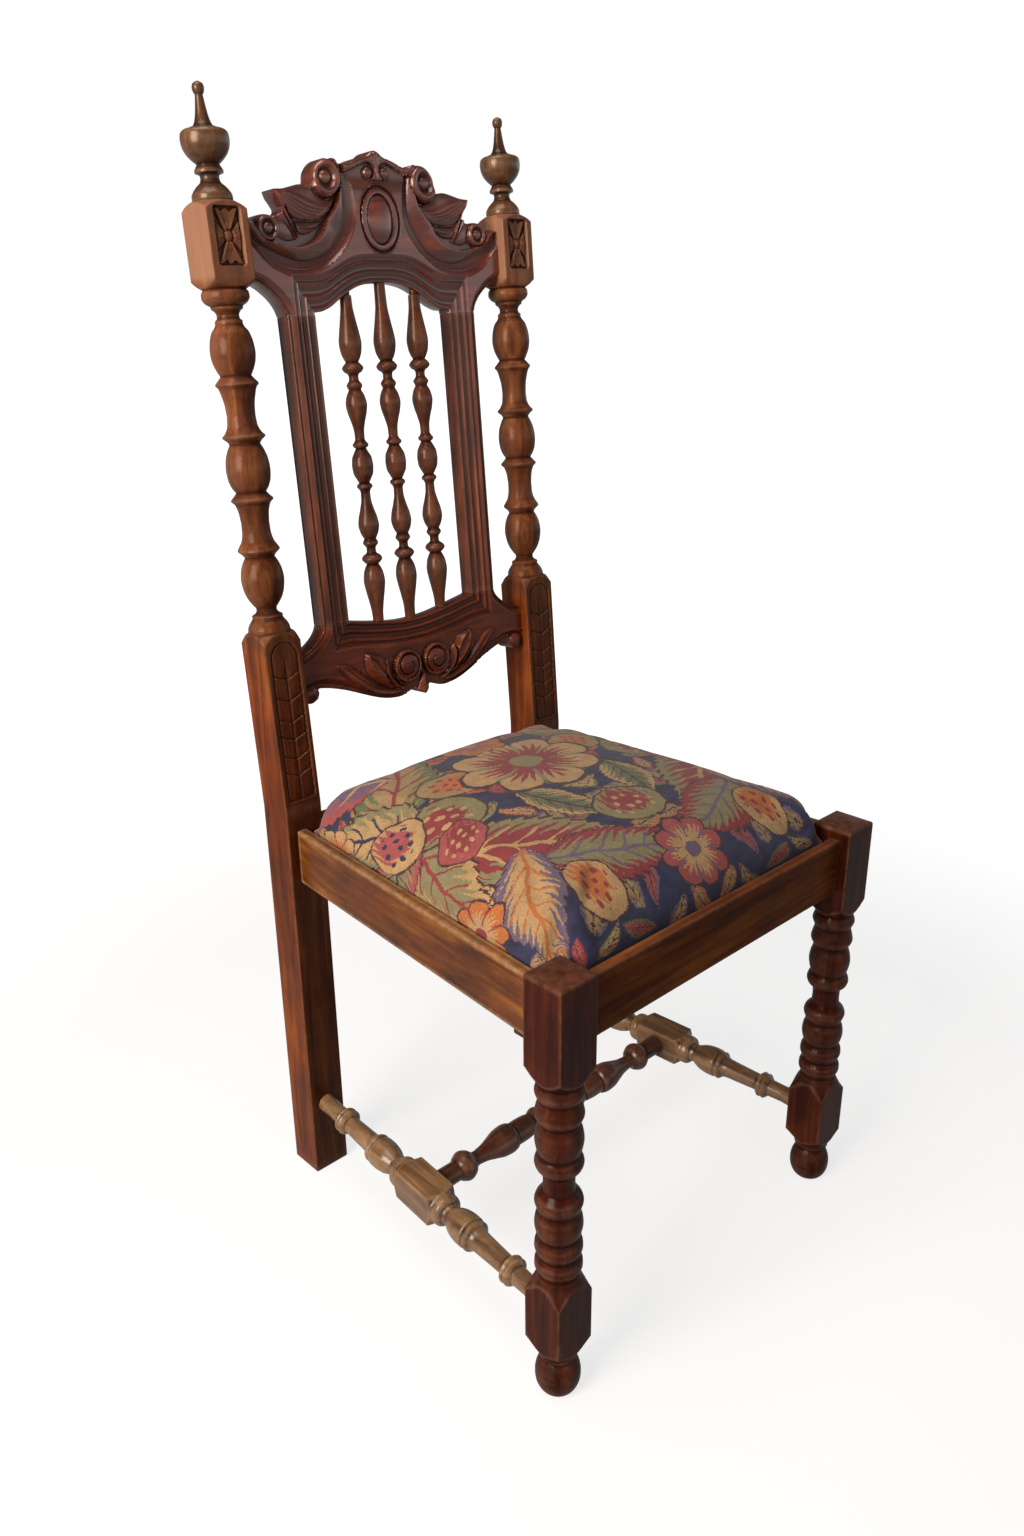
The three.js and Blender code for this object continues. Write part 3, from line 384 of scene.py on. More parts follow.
def rows_of_quads(rows: int, around: int, first: int = 0) -> list[tuple[int, int, int, int]]:
    """Joins rows of points, each a closed ring, with four-sided faces."""
    faces = []
    for row in range(rows - 1):
        base = first + row * around
        for i in range(around):
            j = (i + 1) % around
            faces.append((base + i, base + j, base + around + j, base + around + i))
    return faces


def capped_tube(rows: int, around: int) -> Faces:
    """Joins rows of points with four-sided faces, and closes both ends."""
    last = (rows - 1) * around
    return [*rows_of_quads(rows, around), tuple(range(around))[::-1], tuple(range(last, last + around))]


def spread_points(
    outline: np.ndarray,
    guides: Sequence[np.ndarray],
    grid: float,
    room: tuple[float, float],
    margin: tuple[float, float],
    clear_of: Iterable[Sequence[float]] = (),
) -> tuple[np.ndarray, Faces]:
    """Fills an outline with points, and joins them with triangles.

    Args:
        outline: the closed outline.
        guides: lines that the triangles' edges follow.
        grid: how far apart the points between the guides lie.
        room: how far a guide's point and a grid's point keep from the points before them.
        margin: how far they keep from the outline.
        clear_of: more points that they keep from.

    Returns:
        The points, the outline's first, and the triangles.
    """
    low, high = outline.min(0), outline.max(0)
    rows = np.arange(low[1], high[1], grid * 0.866)
    across, up = np.meshgrid(np.arange(low[0], high[0], grid), rows)
    across = across + grid / 2 * (np.arange(len(rows)) % 2)[:, None]
    loose = np.vstack((*guides, np.column_stack((across.ravel(), up.ravel()))))
    on_grid = (np.arange(len(loose)) >= sum(len(line) for line in guides)).astype(int)
    kept_in = inside_of(outline, loose)
    kept_in &= distance_to(closed(outline), loose)[0] > np.array(margin)[on_grid]
    cell = 2 * max(room)
    taken: dict[tuple[int, int], list[Sequence[float]]] = {}
    for x, y in clear_of:
        taken.setdefault((int(x // cell), int(y // cell)), []).append((x, y))
    kept = []
    for (x, y), space in zip(loose[kept_in].tolist(), np.array(room)[on_grid][kept_in].tolist()):
        column, row = int(x // cell), int(y // cell)
        near = [p for i in (-1, 0, 1) for j in (-1, 0, 1) for p in taken.get((column + i, row + j), ())]
        if all(abs(px - x) >= space or abs(py - y) >= space for px, py in near):
            taken.setdefault((column, row), []).append((x, y))
            kept.append((x, y))
    every = [Vector(p) for p in (*outline.tolist(), *kept)]
    result = delaunay_2d_cdt(every, [], [list(range(len(outline)))], 1, 1e-6, False)
    spots = np.array([tuple(p) for p in result[0]])
    triangles = [tuple(f) for f in result[2]]
    inside = inside_of(outline, spots[np.array(triangles)].mean(1))
    return spots, [t for t, kept_in in zip(triangles, inside) if kept_in]


def rim_order(triangles: Faces) -> list[int]:
    """Gives the points round the edge of a flat mesh of triangles, in order."""
    seen = {edge for a, b, c in triangles for edge in ((a, b), (b, c), (c, a))}
    following = {a: b for a, b in seen if (b, a) not in seen}
    loop = [next(iter(following))]
    while following[loop[-1]] != loop[0]:
        loop.append(following[loop[-1]])
    return loop


def add_object(name: str, data: bpy.types.ID) -> bpy.types.Object:
    """Puts an object in the scene."""
    made = bpy.data.objects.new(name, data)
    bpy.context.scene.collection.objects.link(made)
    return made


def carry(piece: bpy.types.Object, finish: "Finish", stands_for: Sequence[str], body: str) -> None:
    """Lets a piece ride on a body in place of CAD nodes.

    Args:
        piece: the piece.
        finish: not used.
        stands_for: the nodes that it replaces.
        body: the body that it rides on.
    """
    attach(piece, body)
    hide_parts(*stands_for)
    LOG.info("%s: %d faces on %s", piece.name, len(piece.data.polygons), body)


def show_piece(
    name: str, mesh: bpy.types.Mesh, finish: "Finish", body: str = FRAME_BODY
) -> bpy.types.Object:
    """Puts a mesh in the scene as a piece of the chair, with its finish, in place of the CAD node of its name.

    Args:
        name: the piece's name.
        mesh: its mesh, in metres and in place.
        finish: its finish.
        body: the body that it rides on.

    Returns:
        The piece.
    """
    piece = add_object(name, mesh)
    mesh.materials.clear()
    mesh.materials.append(finish.material())
    carry(piece, finish, [name], body)
    return piece


def show_pair(kind: str, finish: "Finish", shape: Callable[[int], Shell], **looks: object) -> None:
    """Makes the left and the right one of a kind of piece.

    Args:
        kind: their name, without the side.
        finish: their finish.
        shape: gives one's points and faces by its side, -1 on the left.
        **looks: what make_mesh is told about them.
    """
    for side, name in SIDES:
        title = f"{kind}_{name}"
        show_piece(title, make_mesh(title, *shape(side), **looks), finish)


def settle(piece: bpy.types.Object) -> None:
    """Turns what a piece's modifiers give into its plain mesh."""
    depsgraph = bpy.context.evaluated_depsgraph_get()
    mesh = bpy.data.meshes.new_from_object(piece.evaluated_get(depsgraph))
    piece.modifiers.clear()
    old, piece.data = piece.data, mesh
    bpy.data.meshes.remove(old)


# ---------------------------------------------------------------- finishes


class Grain(Enum):
    """The axis that the grain runs along."""

    ACROSS = 0
    DEEP = 1
    UPRIGHT = 2


@dataclass(frozen=True)
class Finish:
    """A finish, named for what it is, with the name of a material slot that it carries."""

    name: str
    slot: str

    def material(self) -> bpy.types.Material:
        """Gives the finish's material, made the first time it is wanted."""
        made = bpy.data.materials.get(self.name)
        if made is None:
            made = bpy.data.materials.new(self.name)
            made.use_nodes = True
            made.node_tree.nodes.clear()
            add_node(made.node_tree, "OutputMaterial", self.surface(made.node_tree), out=None)
        return made

    def surface(self, tree: Tree) -> Socket:
        """Builds the nodes, and returns the shader."""
        raise NotImplementedError


@dataclass(frozen=True)
class Wood(Finish):
    """A wood, and the way that its grain runs."""

    grain: Grain = Grain.UPRIGHT

    def streaks(self, tree: Tree, width: float, times: float, **inputs: float) -> Socket:
        """Draws marks that are long along the grain.

        Args:
            tree: the material's tree.
            width: a mark's width across the grain, in millimetres.
            times: how many times longer it is along the grain.
            **inputs: the noise's own inputs.

        Returns:
            The marks, from 0 to 1.
        """
        scale = [1 / (width * MM)] * 3
        scale[self.grain.value] /= times
        place = add_node(tree, "TexCoord", out="Object")
        drawn = add_node(tree, "Mapping", {"Vector": place, "Scale": scale})
        return add_node(tree, "TexNoise", {"Vector": drawn, "Scale": 1.0, **inputs})


@dataclass(frozen=True)
class PolishedWood(Wood):
    """Stained hardwood under old shellac and wax.

    The polish is clear and fairly smooth, so flats mirror the room softly, and the grain shows
    through as long streaks with dark pores. Arrises are rubbed paler and carry a painted highlight,
    hollows hold grime, and the carvings' deep ground is darker still with painted shade.
    """

    dark: str = "#2a130c"
    ground: str = "#4a2216"
    light: str = "#6b3420"
    # The hollows' colour serves grime and painted shade; the edges' colour serves rubbing and a painted highlight
    hollow: str = "#150a07"
    rubbed_and_highlit: str = "#8c6552"
    fibre: float = 0.9
    figure: float = 11.0
    ribbon: float = 0.0
    roughness: float = 0.36
    shine: float = 0.5
    tint: str = "#ffffff"
    coat: float = 0.3

    def stained(self, tree: Tree, fibres: Socket, patches: Socket) -> Socket:
        """Stains the wood by its figure, its fibres and the patches where the polish has darkened.

        Args:
            tree: the material's tree.
            fibres: the fibres' marks.
            patches: the patches' marks.

        Returns:
            The colour.
        """
        add = partial(add_node, tree)
        figure = self.streaks(tree, self.figure, 11, Detail=3.0, Distortion=0.7)
        if self.ribbon:
            # Ribbon stripe: bands a few centimetres wide where the grain leans one way and then the other
            stripe = self.streaks(tree, self.ribbon, 14, Detail=1.0, Distortion=1.2)
            figure = add("Mix", 0.6, {2: figure, 3: stripe})
        colour = add("ValToRGB", figure, stops=((0.3, self.dark), (0.5, self.ground), (0.68, self.light)))
        for marks, levels in ((fibres, (0.36, 0.62, 0.76, 1.1)), (patches, (0.34, 0.68, 0.72, 1.24))):
            level = add("MapRange", marks, *levels)
            colour = add("VectorMath", colour, {3: level}, operation="SCALE")
        return colour

    def painted_light(self, tree: Tree, place: Socket, colour: Socket) -> Socket:
        """Gives the stained colour with its painted light: this wood has none."""
        return colour

    def surface(self, tree: Tree) -> Socket:
        """Builds the nodes, and returns the shader."""
        add = partial(add_node, tree)
        place = add("TexCoord", out="Object")
        # Fibres are a tenth of a millimetre in the real wood: drawn coarser here so that they show
        fibres = self.streaks(tree, self.fibre, 34, Detail=4.0, Roughness=0.6)
        # Patches a few centimetres wide, where the polish has darkened more or less
        patches = add("TexNoise", {"Vector": place, "Scale": 17.0, "Detail": 3.0, "Roughness": 0.6})
        colour = self.painted_light(tree, place, self.stained(tree, fibres, patches))
        # Painted light on edges and shade in hollows: proud edges are painted paler, part rubbing and part painted
        # highlight; hollows are darkened, part grime and, in the carvings' deep ground, painted shade
        wear = add("Attribute", attribute_name="wear", out="Fac")
        rubbed = add("TexNoise", {"Vector": place, "Scale": 140.0, "Detail": 3.0})
        edge = add("Math", wear, rubbed, operation="MULTIPLY")
        edge = add("MapRange", edge, 0.12, 0.7, 0.0, 0.42)
        grime_and_shade = add("MapRange", wear, -0.04, -0.75, 0.0, 0.85)
        for share, tone in ((edge, self.rubbed_and_highlit), (grime_and_shade, self.hollow)):
            colour = add("Mix", {0: share, 6: colour, 7: tone}, data_type="RGBA", out=2)
        gloss = add("MapRange", patches, 0.3, 0.7, self.roughness - 0.05, self.roughness + 0.09)
        gloss = add("Math", grime_and_shade, 0.22, gloss, operation="MULTIPLY_ADD")
        fine = add("Bump", {"Strength": 0.16, "Distance": 0.12 * MM, "Height": fibres})
        waves = add("TexNoise", {"Vector": place, "Scale": 60.0, "Detail": 2.0})
        normal = add("Bump", {"Strength": 0.22, "Distance": 0.9 * MM, "Height": waves, "Normal": fine})
        return add("BsdfPrincipled", {
            "Base Color": colour, "Roughness": gloss, "IOR": 1.5, "Specular IOR Level": self.shine,
            "Specular Tint": self.tint, "Coat Weight": self.coat, "Coat Roughness": 0.2, "Normal": normal,
        })


@dataclass(frozen=True)
class PaintedLightWood(PolishedWood):
    """Polished hardwood with painted light: darker below the seat, paler above it with a blue-grey painted sheen,
    most at the crest's blocks, and paler and more orange on faces turned to the sides.
    """

    top_height: float = 1.25
    brightest: float = 5.3
    # Levels by height, as a share of top_height and of the brightest level: darker below the seat, and above it
    # painted light with a blue-grey painted sheen
    levels: tuple[tuple[float, str], ...] = (
        (0.32, "#605a50"), (0.448, "#6d6764"), (0.512, "#7a7d7e"), (0.688, "#929caf"), (0.777, "#8f95a2"),
        (0.784, "#a0a6b8"), (0.832, "#a0a6b8"),
    )
    # Painted light: the lift that the side faces get, and the paler colour of the crest's blocks
    side_painted_light: tuple[float, float, float] = (1.7, 1.45, 0.85)
    block_painted_light: str = "#b0876f"

    def painted_light(self, tree: Tree, place: Socket, colour: Socket) -> Socket:
        """Paints light and shade into the stained colour, by height and by which way a face turns.

        Args:
            tree: the material's tree.
            place: where each spot lies.
            colour: the stained colour.

        Returns:
            The colour with its fading.
        """
        add = partial(add_node, tree)
        height = add("SeparateXYZ", place, out=2)
        height = add("Math", height, 1 / self.top_height, operation="MULTIPLY")
        level = add("ValToRGB", height, stops=self.levels)
        level = add("VectorMath", level, {3: self.brightest}, operation="SCALE")
        colour = add("VectorMath", colour, level, operation="MULTIPLY")
        # Painted light: the faces of the posts' square length that turn to the sides are painted paler and more
        # orange
        aside = add("SeparateXYZ", add("NewGeometry", out="Normal"))
        aside = add("Math", aside, operation="ABSOLUTE")
        aside = add("MapRange", aside, 0.75, 0.98)
        low = add("MapRange", height, 0.5, 0.512, 1.0, 0.0)
        share = add("Math", aside, low, operation="MULTIPLY")
        lit_sides = add("VectorMath", colour, self.side_painted_light, operation="MULTIPLY")
        colour = add("Mix", {0: share, 6: colour, 7: lit_sides}, data_type="RGBA", out=2)
        # The crest's blocks are painted paler still: a painted sheen on their fronts, and stronger painted light on
        # their sides
        high = add("MapRange", height, 0.777, 0.784)
        share = add("MapRange", aside, {3: 0.24, 4: 0.62})
        share = add("Math", share, high, operation="MULTIPLY")
        return add("Mix", {0: share, 6: colour, 7: self.block_painted_light}, data_type="RGBA", out=2)


@dataclass(frozen=True)
class SawnPine(Wood):
    """Sawn pine, never polished: pale, dry and rough, with broad yellow and brown grain lines."""

    ring: float = 4.0

    def surface(self, tree: Tree) -> Socket:
        """Builds the nodes, and returns the shader."""
        add = partial(add_node, tree)
        rings = self.streaks(tree, self.ring, 40, Detail=2.0, Distortion=0.8)
        colour = add("ValToRGB", rings, stops=((0.34, "#8a6a44"), (0.5, "#b39468"), (0.66, "#c4a77c")))
        place = add("TexCoord", out="Object")
        saw = add("TexNoise", {"Vector": place, "Scale": 900.0, "Detail": 3.0})
        normal = add("Bump", {"Strength": 0.4, "Distance": 0.4 * MM, "Height": saw})
        return add("BsdfPrincipled", {"Base Color": colour, "Roughness": 0.78, "IOR": 1.5, "Normal": normal})


@dataclass(frozen=True)
class DarkenedSteel(Finish):
    """Cut steel gone brown with age: a dull metal, rougher where rust has started."""

    def surface(self, tree: Tree) -> Socket:
        """Builds the nodes, and returns the shader."""
        add = partial(add_node, tree)
        rust = add("TexNoise", {"Vector": add("TexCoord", out="Object"), "Scale": 700.0, "Detail": 3.0})
        colour = add("ValToRGB", rust, stops=((0.42, "#8d8781"), (0.62, "#6b5140")))
        rough = add("MapRange", rust, 0.4, 0.65, 0.32, 0.62)
        return add("BsdfPrincipled", {"Base Color": colour, "Metallic": 1.0, "Roughness": rough})


@dataclass(frozen=True)
class PlainWeave(Finish):
    """A plain woven cloth: threads pass over and under each other, with a soft, matt surface."""

    light: str = "#a58a5c"
    dark: str = "#6f5836"
    thread: float = 2.0
    fuzz: float = 0.2

    def surface(self, tree: Tree) -> Socket:
        """Builds the nodes, and returns the shader."""
        add = partial(add_node, tree)
        place = add("TexCoord", out="Object")
        parts = add("SeparateXYZ", place, out=None)
        slubs = add("TexNoise", {"Vector": place, "Scale": 240.0, "Detail": 4.0})
        threads = math.pi / (self.thread * MM)
        waves = []
        for part in parts[:2]:
            angle = add("Math", part, threads, operation="MULTIPLY")
            waves.append(add("Math", angle, operation="SINE"))
        weave = add("Math", *waves, operation="MULTIPLY")
        mixed = add("Math", weave, 0.22, slubs, operation="MULTIPLY_ADD")
        colour = add("ValToRGB", mixed, stops=((0.28, self.dark), (0.7, self.light)))
        normal = add("Bump", {"Strength": 0.5, "Distance": 0.4 * MM, "Height": weave})
        return add("BsdfPrincipled", {
            "Base Color": colour, "Roughness": 0.88, "IOR": 1.5, "Sheen Weight": self.fuzz,
            "Sheen Roughness": 0.5, "Normal": normal,
        })


DARK_MAHOGANY = PolishedWood(
    "dark_polished_mahogany", "dark_mahogany", dark="#451e12", ground="#6d341f", light="#8a4829",
    coat=0.5, shine=0.35, tint="#f0c0ac",
)
LEG_MAHOGANY = PolishedWood(
    "leg_mahogany", "dark_mahogany", dark="#34150b", ground="#481c0f", light="#5b2a16",
    shine=0.05, tint="#b06a4c", coat=0.2,
)
POST_MAHOGANY = PaintedLightWood(
    "post_mahogany", "dark_mahogany", dark="#4e2614", ground="#6c391e", light="#824d28",
    shine=0.15, tint="#d0a080", coat=0.15, hollow="#45261a",
)
CREST_MAHOGANY = PolishedWood(
    "polished_crest_mahogany", "crest_mahogany", Grain.ACROSS, dark="#441a10", ground="#6a2a19",
    light="#883e24", rubbed_and_highlit="#6c4a41", roughness=0.31, coat=1.0, shine=1.0, tint="#ffc6ba",
)
LOWER_RAIL_MAHOGANY = PolishedWood(
    "lower_rail_mahogany", "dark_mahogany", Grain.ACROSS, dark="#481e11", ground="#662a17",
    light="#7d3a20", roughness=0.27, coat=0.3, shine=0.4, tint="#f0a890", rubbed_and_highlit="#75493a",
)
FRONT_RAIL_MAHOGANY = PolishedWood(
    "front_rail_mahogany", "dark_mahogany", Grain.ACROSS, dark="#442010", ground="#733c19",
    light="#935726", ribbon=17.0, shine=0.04, tint="#b88060", coat=0.0,
)
SIDE_RAIL_MAHOGANY = PolishedWood(
    "ribbon_striped_mahogany", "rail_mahogany", Grain.DEEP, dark="#46220a", ground="#6d3a14",
    light="#925920", rubbed_and_highlit="#d2b08a", ribbon=15.0, shine=0.2, coat=0.12,
)
SPINDLE_MAHOGANY = PolishedWood(
    "spindle_mahogany", "dark_mahogany", dark="#3a170a", ground="#5b2914", light="#763d23",
    coat=0.3, shine=0.3, tint="#e0b09a",
)
GOLDEN_WALNUT = PolishedWood(
    "polished_golden_walnut", "golden_walnut", dark="#371d0f", ground="#53301b", light="#744b2b",
    rubbed_and_highlit="#a5815c", roughness=0.34, coat=0.5, shine=0.35, tint="#ffd8b0",
)
STRETCHER_WALNUT = PolishedWood(
    "stretcher_walnut", "golden_walnut", Grain.DEEP, dark="#5a3e27", ground="#866141", light="#a8815c",
    rubbed_and_highlit="#bf9a72", roughness=0.33, coat=0.45,
)
CROSS_WALNUT = PolishedWood(
    "cross_stretcher_walnut", "golden_walnut", Grain.ACROSS, dark="#361c11", ground="#57301d",
    light="#74462d", roughness=0.33, coat=0.35, shine=0.3,
)
PINE_ACROSS = SawnPine("sawn_pine_across", "inner_pine", Grain.ACROSS)
PINE_DEEP = SawnPine("sawn_pine_deep", "inner_pine", Grain.DEEP)
STEEL = DarkenedSteel("darkened_steel", "screw_steel")
JUTE = PlainWeave("jute_webbing", "seat_webbing")
# Glazed black cotton: a close weave, drawn coarser than its real half millimetre so that it shows
CAMBRIC = PlainWeave("black_cambric", "black_cambric", light="#2a2a2c", dark="#141416", thread=1.0, fuzz=0.05)
# Cotton wadding over hair, seen only where the cover is lifted off
WADDING = PlainWeave("cotton_wadding", "seat_hair", light="#cfc4ae", dark="#a5977c", thread=3.0, fuzz=0.4)


# ---------------------------------------------------------------- the leaning back's frame


@dataclass(frozen=True)
class LeaningBack:
    """The frame of the back: upright to the knee, and leaning from there."""

    knee_depth: float = 186.9
    knee_height: float = 461.0
    lean: float = math.radians(4.7)

    def place(self, x: np.ndarray, v: np.ndarray, s: np.ndarray) -> np.ndarray:
        """Places points of the leaning back in the chair's frame.

        Args:
            x: places across.
            v: places in the back's depth, towards the rear.
            s: places up the back from the knee.

        Returns:
            The points, one in each row.
        """
        sine, cosine = math.sin(self.lean), math.cos(self.lean)
        return np.stack(
            np.broadcast_arrays(
                x, self.knee_depth + v * cosine + s * sine, self.knee_height - v * sine + s * cosine
            ),
            -1,
        )

    def depth_of(self, spots: np.ndarray) -> np.ndarray:
        """Measures how deep points in the chair's frame lie in the leaning back."""
        out, up = spots[:, 1] - self.knee_depth, spots[:, 2] - self.knee_height
        return out * math.cos(self.lean) - up * math.sin(self.lean)

    def bend(self, x: np.ndarray, v: np.ndarray, s: float) -> np.ndarray:
        """Places a ring of a back post, which is upright below the knee and leans above it."""
        if s > 0:
            return self.place(x, v, np.full_like(x, s))
        drop = np.tan(self.lean / 2) * v if s == 0 else 0 * v
        return np.stack((x, self.knee_depth + v, self.knee_height + s - drop), -1)


BACK = LeaningBack()


# ---------------------------------------------------------------- turned and squared stock


@dataclass
class Stock:
    """Square stock with eased corners, turned where its profile is slimmer than the square.

    half is half the square's side, and 0 for a piece that is turned all along. front is how many
    points lie across the face towards the sitter, and other how many across each other face.
    """

    half: float
    ease: float = 1.3
    front: int = 22
    other: int = 22

    def angles(self) -> np.ndarray:
        """Gives the angles of the points round a ring, with the corners among them."""
        if not self.half:
            return np.linspace(0, 2 * math.pi, 4 * self.other, endpoint=False)
        flat = self.half - self.ease
        corner = math.atan2(flat, self.half)
        drawn = []
        for face in range(4):
            middle = face * math.pi / 2
            across = np.linspace(-flat, flat, self.front if face == 3 else self.other)
            drawn.extend(middle + np.arctan2(across, self.half))
            turn = math.pi / 2 - 2 * corner
            drawn.extend(middle + corner + turn * np.array((0.25, 0.5, 0.75)))
        return np.array(drawn)

    def square(self, angles: np.ndarray) -> np.ndarray:
        """Gives how far the eased square reaches at each angle."""
        if not self.half:
            return np.full_like(angles, np.inf)
        cosine, sine = np.abs(np.cos(angles)), np.abs(np.sin(angles))
        reach = self.half / np.maximum(cosine, sine)
        centre = self.half - self.ease
        towards = (cosine + sine) * centre
        rounded = towards + np.sqrt(np.maximum(towards**2 - 2 * centre**2 + self.ease**2, 0))
        in_corner = np.minimum(cosine, sine) * self.half > centre * np.maximum(cosine, sine)
        return np.where(in_corner, rounded, reach)

    def shell(
        self,
        stations: np.ndarray,
        radii: np.ndarray,
        place: Placer,
        shrink: np.ndarray | float = 0.0,
        carve: Callable[[np.ndarray, float], np.ndarray] | None = None,
    ) -> Shell:
        """Makes the stock's closed shell.

        Args:
            stations: places along the piece.
            radii: the turned radius at each place.
            place: puts the two sideways places and the station in the chair's frame.
            shrink: how much smaller the square is at each place, in millimetres.
            carve: how deep the front face is cut, by the place across it and the station.

        Returns:
            The points and the faces.
        """
        angles = self.angles()
        square = self.square(angles)
        rings = []
        for station, radius, less in zip(stations, radii, np.broadcast_to(shrink, len(stations))):
            reach = np.minimum(radius, square * (1 - less / self.half) if self.half else square)
            a, b = reach * np.cos(angles), reach * np.sin(angles)
            if carve is not None:
                facing = b < -self.half + 0.01
                if facing.any():
                    b = np.where(facing, b + carve(a, station), b)
            rings.append(place(a, b, station))
        count = len(angles)
        spots = np.vstack((*rings, rings[0].mean(0)[None], rings[-1].mean(0)[None]))
        faces = rows_of_quads(len(rings), count)
        foot, head = len(rings) * count, len(rings) * count + 1
        last = (len(rings) - 1) * count
        for i in range(count):
            j = (i + 1) % count
            faces.append((j, i, foot))
            faces.append((last + i, last + j, head))
        return spots, faces


LEG_PROFILE: Points = (
    (47, 19.6), (49, 19.2), (53, 20.6), (58, 24.4), (63, 29.4), (66.5, 34.5), (122, 34.5), (125.5, 30.5),
    (130, 27.2), (135, 24.6), (141, 21.6), (145, 20.2), (147, 19.4), (151, 21), (156, 23), (161, 22.8),
    (166, 20.4), (168.5, 19.4), (172, 21.2), (178, 23), (183, 22.6), (188, 20.4), (190.5, 19.4), (197, 21.8),
    (205, 23), (213, 22), (219, 19.8), (221, 19.4), (225, 21.4), (231, 23), (236, 21.6), (241, 17.5),
    (244, 15.4), (253, 14.9), (262, 15.4), (266, 18), (270, 21.6), (275, 23), (280, 21.8), (284.5, 19.4),
    (292, 21.6), (300, 22.7), (309, 21.6), (317, 19.2), (319.5, 18.8), (323, 21.2), (328, 22.8), (333, 22),
    (340, 20.2), (344, 19.4), (347, 21.4), (352, 22.9), (357, 21.6), (361, 20), (365, 22.4), (370, 26.4),
    (375, 30.5), (379, 34.5), (470, 34.5),
)
FOOT_PROFILE: Points = (
    (0, 13.4), (1.2, 15.6), (4, 18.2), (8, 20.4), (13, 22), (18, 22.6), (22, 22.6), (28, 21.8), (34, 19.8),
    (39, 17.4), (42, 15.4), (43.6, 15), (45, 17.6), (47, 19.6),
)
POST_PROFILE: Points = (
    (-481, 34), (181.5, 34), (185, 31), (189, 28.4), (193, 25.6), (195, 22.3), (199, 21.8), (204, 19.6),
    (208, 16.6), (210, 15.6), (212, 16.4), (214, 13), (217, 10.6), (220, 10.8), (223, 13), (231, 18),
    (240, 21), (250, 22.2), (259, 21.2), (267, 18.6), (273, 15.2), (276, 17.4), (280.5, 21.6), (284, 19.8),
    (290, 16.4), (299, 14.6), (308, 14.3), (318, 15.3), (327, 18), (331, 21.5), (335, 18.2), (338.5, 15.2),
    (344, 18.8), (352, 21.4), (361, 22.2), (371, 21.2), (380, 18.3), (386, 15.2), (389, 17.4), (393, 21.6),
    (397, 18.2), (404, 15.1), (413, 14.2), (423, 14.8), (433, 16.8), (440, 19), (443, 21.5), (447, 18.6),
    (451, 15.2), (457, 18.4), (465, 21.2), (473, 22.1), (482, 21.2), (491, 18.6), (499.5, 13.4),
    (502, 13.4), (504, 11), (508, 10.8), (511, 12.6), (513.4, 15.6), (515.4, 15.4), (516.4, 17.4),
    (519, 21), (523.4, 23.2), (527.6, 22.8), (530.6, 20.4), (531.4, 22.4), (536, 28.6), (542.5, 34), (597, 34),
    (601, 30.6), (604, 27), (607.5, 21),
)
FINIAL_PROFILE: Points = (
    (606, 18), (607.5, 18.6), (610, 19.3), (613, 19.1), (617, 17), (621, 13.6), (624.5, 9.8), (628, 8.8),
    (631, 9.4), (632.5, 13.4), (634.5, 13.6), (637, 12.2), (640, 10.6), (644, 15.2), (650, 20),
    (656, 22.3), (661, 22.8), (665.5, 22.3), (668.5, 20), (670.5, 14), (673, 9), (680, 6.4), (690, 4.7),
    (698.5, 3.6), (700, 4.8), (704, 5.7), (707.5, 4.7), (709.6, 1.2),
)
SPINDLE_PROFILE: Points = (
    (0, 11.7), (8, 10.8), (14, 8), (18.5, 5.6), (20, 8), (22.5, 8.7), (25, 6.6), (28, 5.2), (36, 5.5),
    (46, 7.6), (56, 10.4), (64, 11.5), (72, 10), (79, 6.6), (81, 7.6), (83.5, 8.6), (86, 7.2), (89, 5.2),
    (92.5, 5.2), (95, 6), (97, 9.2), (101, 11.5), (104.5, 9.4), (107, 6.6), (110, 8.4), (117, 11),
    (126, 12), (137, 10.6), (150, 8.2), (163, 6.4), (190, 5.7),
)
SIDE_STRETCHER_PROFILE: Points = (
    (0, 30), (28, 30), (29, 25.8), (32, 19), (35, 17.6), (38, 18), (42, 17.4), (45, 15), (46.5, 12.5),
    (52, 11), (57, 13.5), (66, 16.6), (77, 17.8), (84, 17.6), (86, 16), (91, 17.2), (95, 13.6),
    (101, 11.8), (120, 11), (144, 10.2), (147, 13.4), (150, 15.6), (153, 14.2), (156, 15.4), (159, 13),
    (162, 10.4), (180, 9.8), (199, 11), (206, 11),
)
CROSS_STRETCHER_PROFILE: Points = (
    (0, 15), (8, 14.4), (14, 12), (17, 9.6), (21, 9.6), (26, 13.2), (32, 15.4), (38, 13.4), (42, 11),
    (46, 13), (60, 14), (70, 13.8), (72, 12.4), (75, 16.2), (82, 17.4), (92, 16.6), (104, 13.2),
    (117, 9.6), (128, 8.2), (134, 9.4), (139, 14.6), (147, 17.4), (154, 14.8), (158.5, 11.4), (190, 12),
)


def scaled(profile: Points, along: float = READ_SCALE, around: float = READ_SCALE) -> Points:
    """Brings a profile from the size it was read at to the chair's own size."""
    return [(place * along, radius * around) for place, radius in profile]


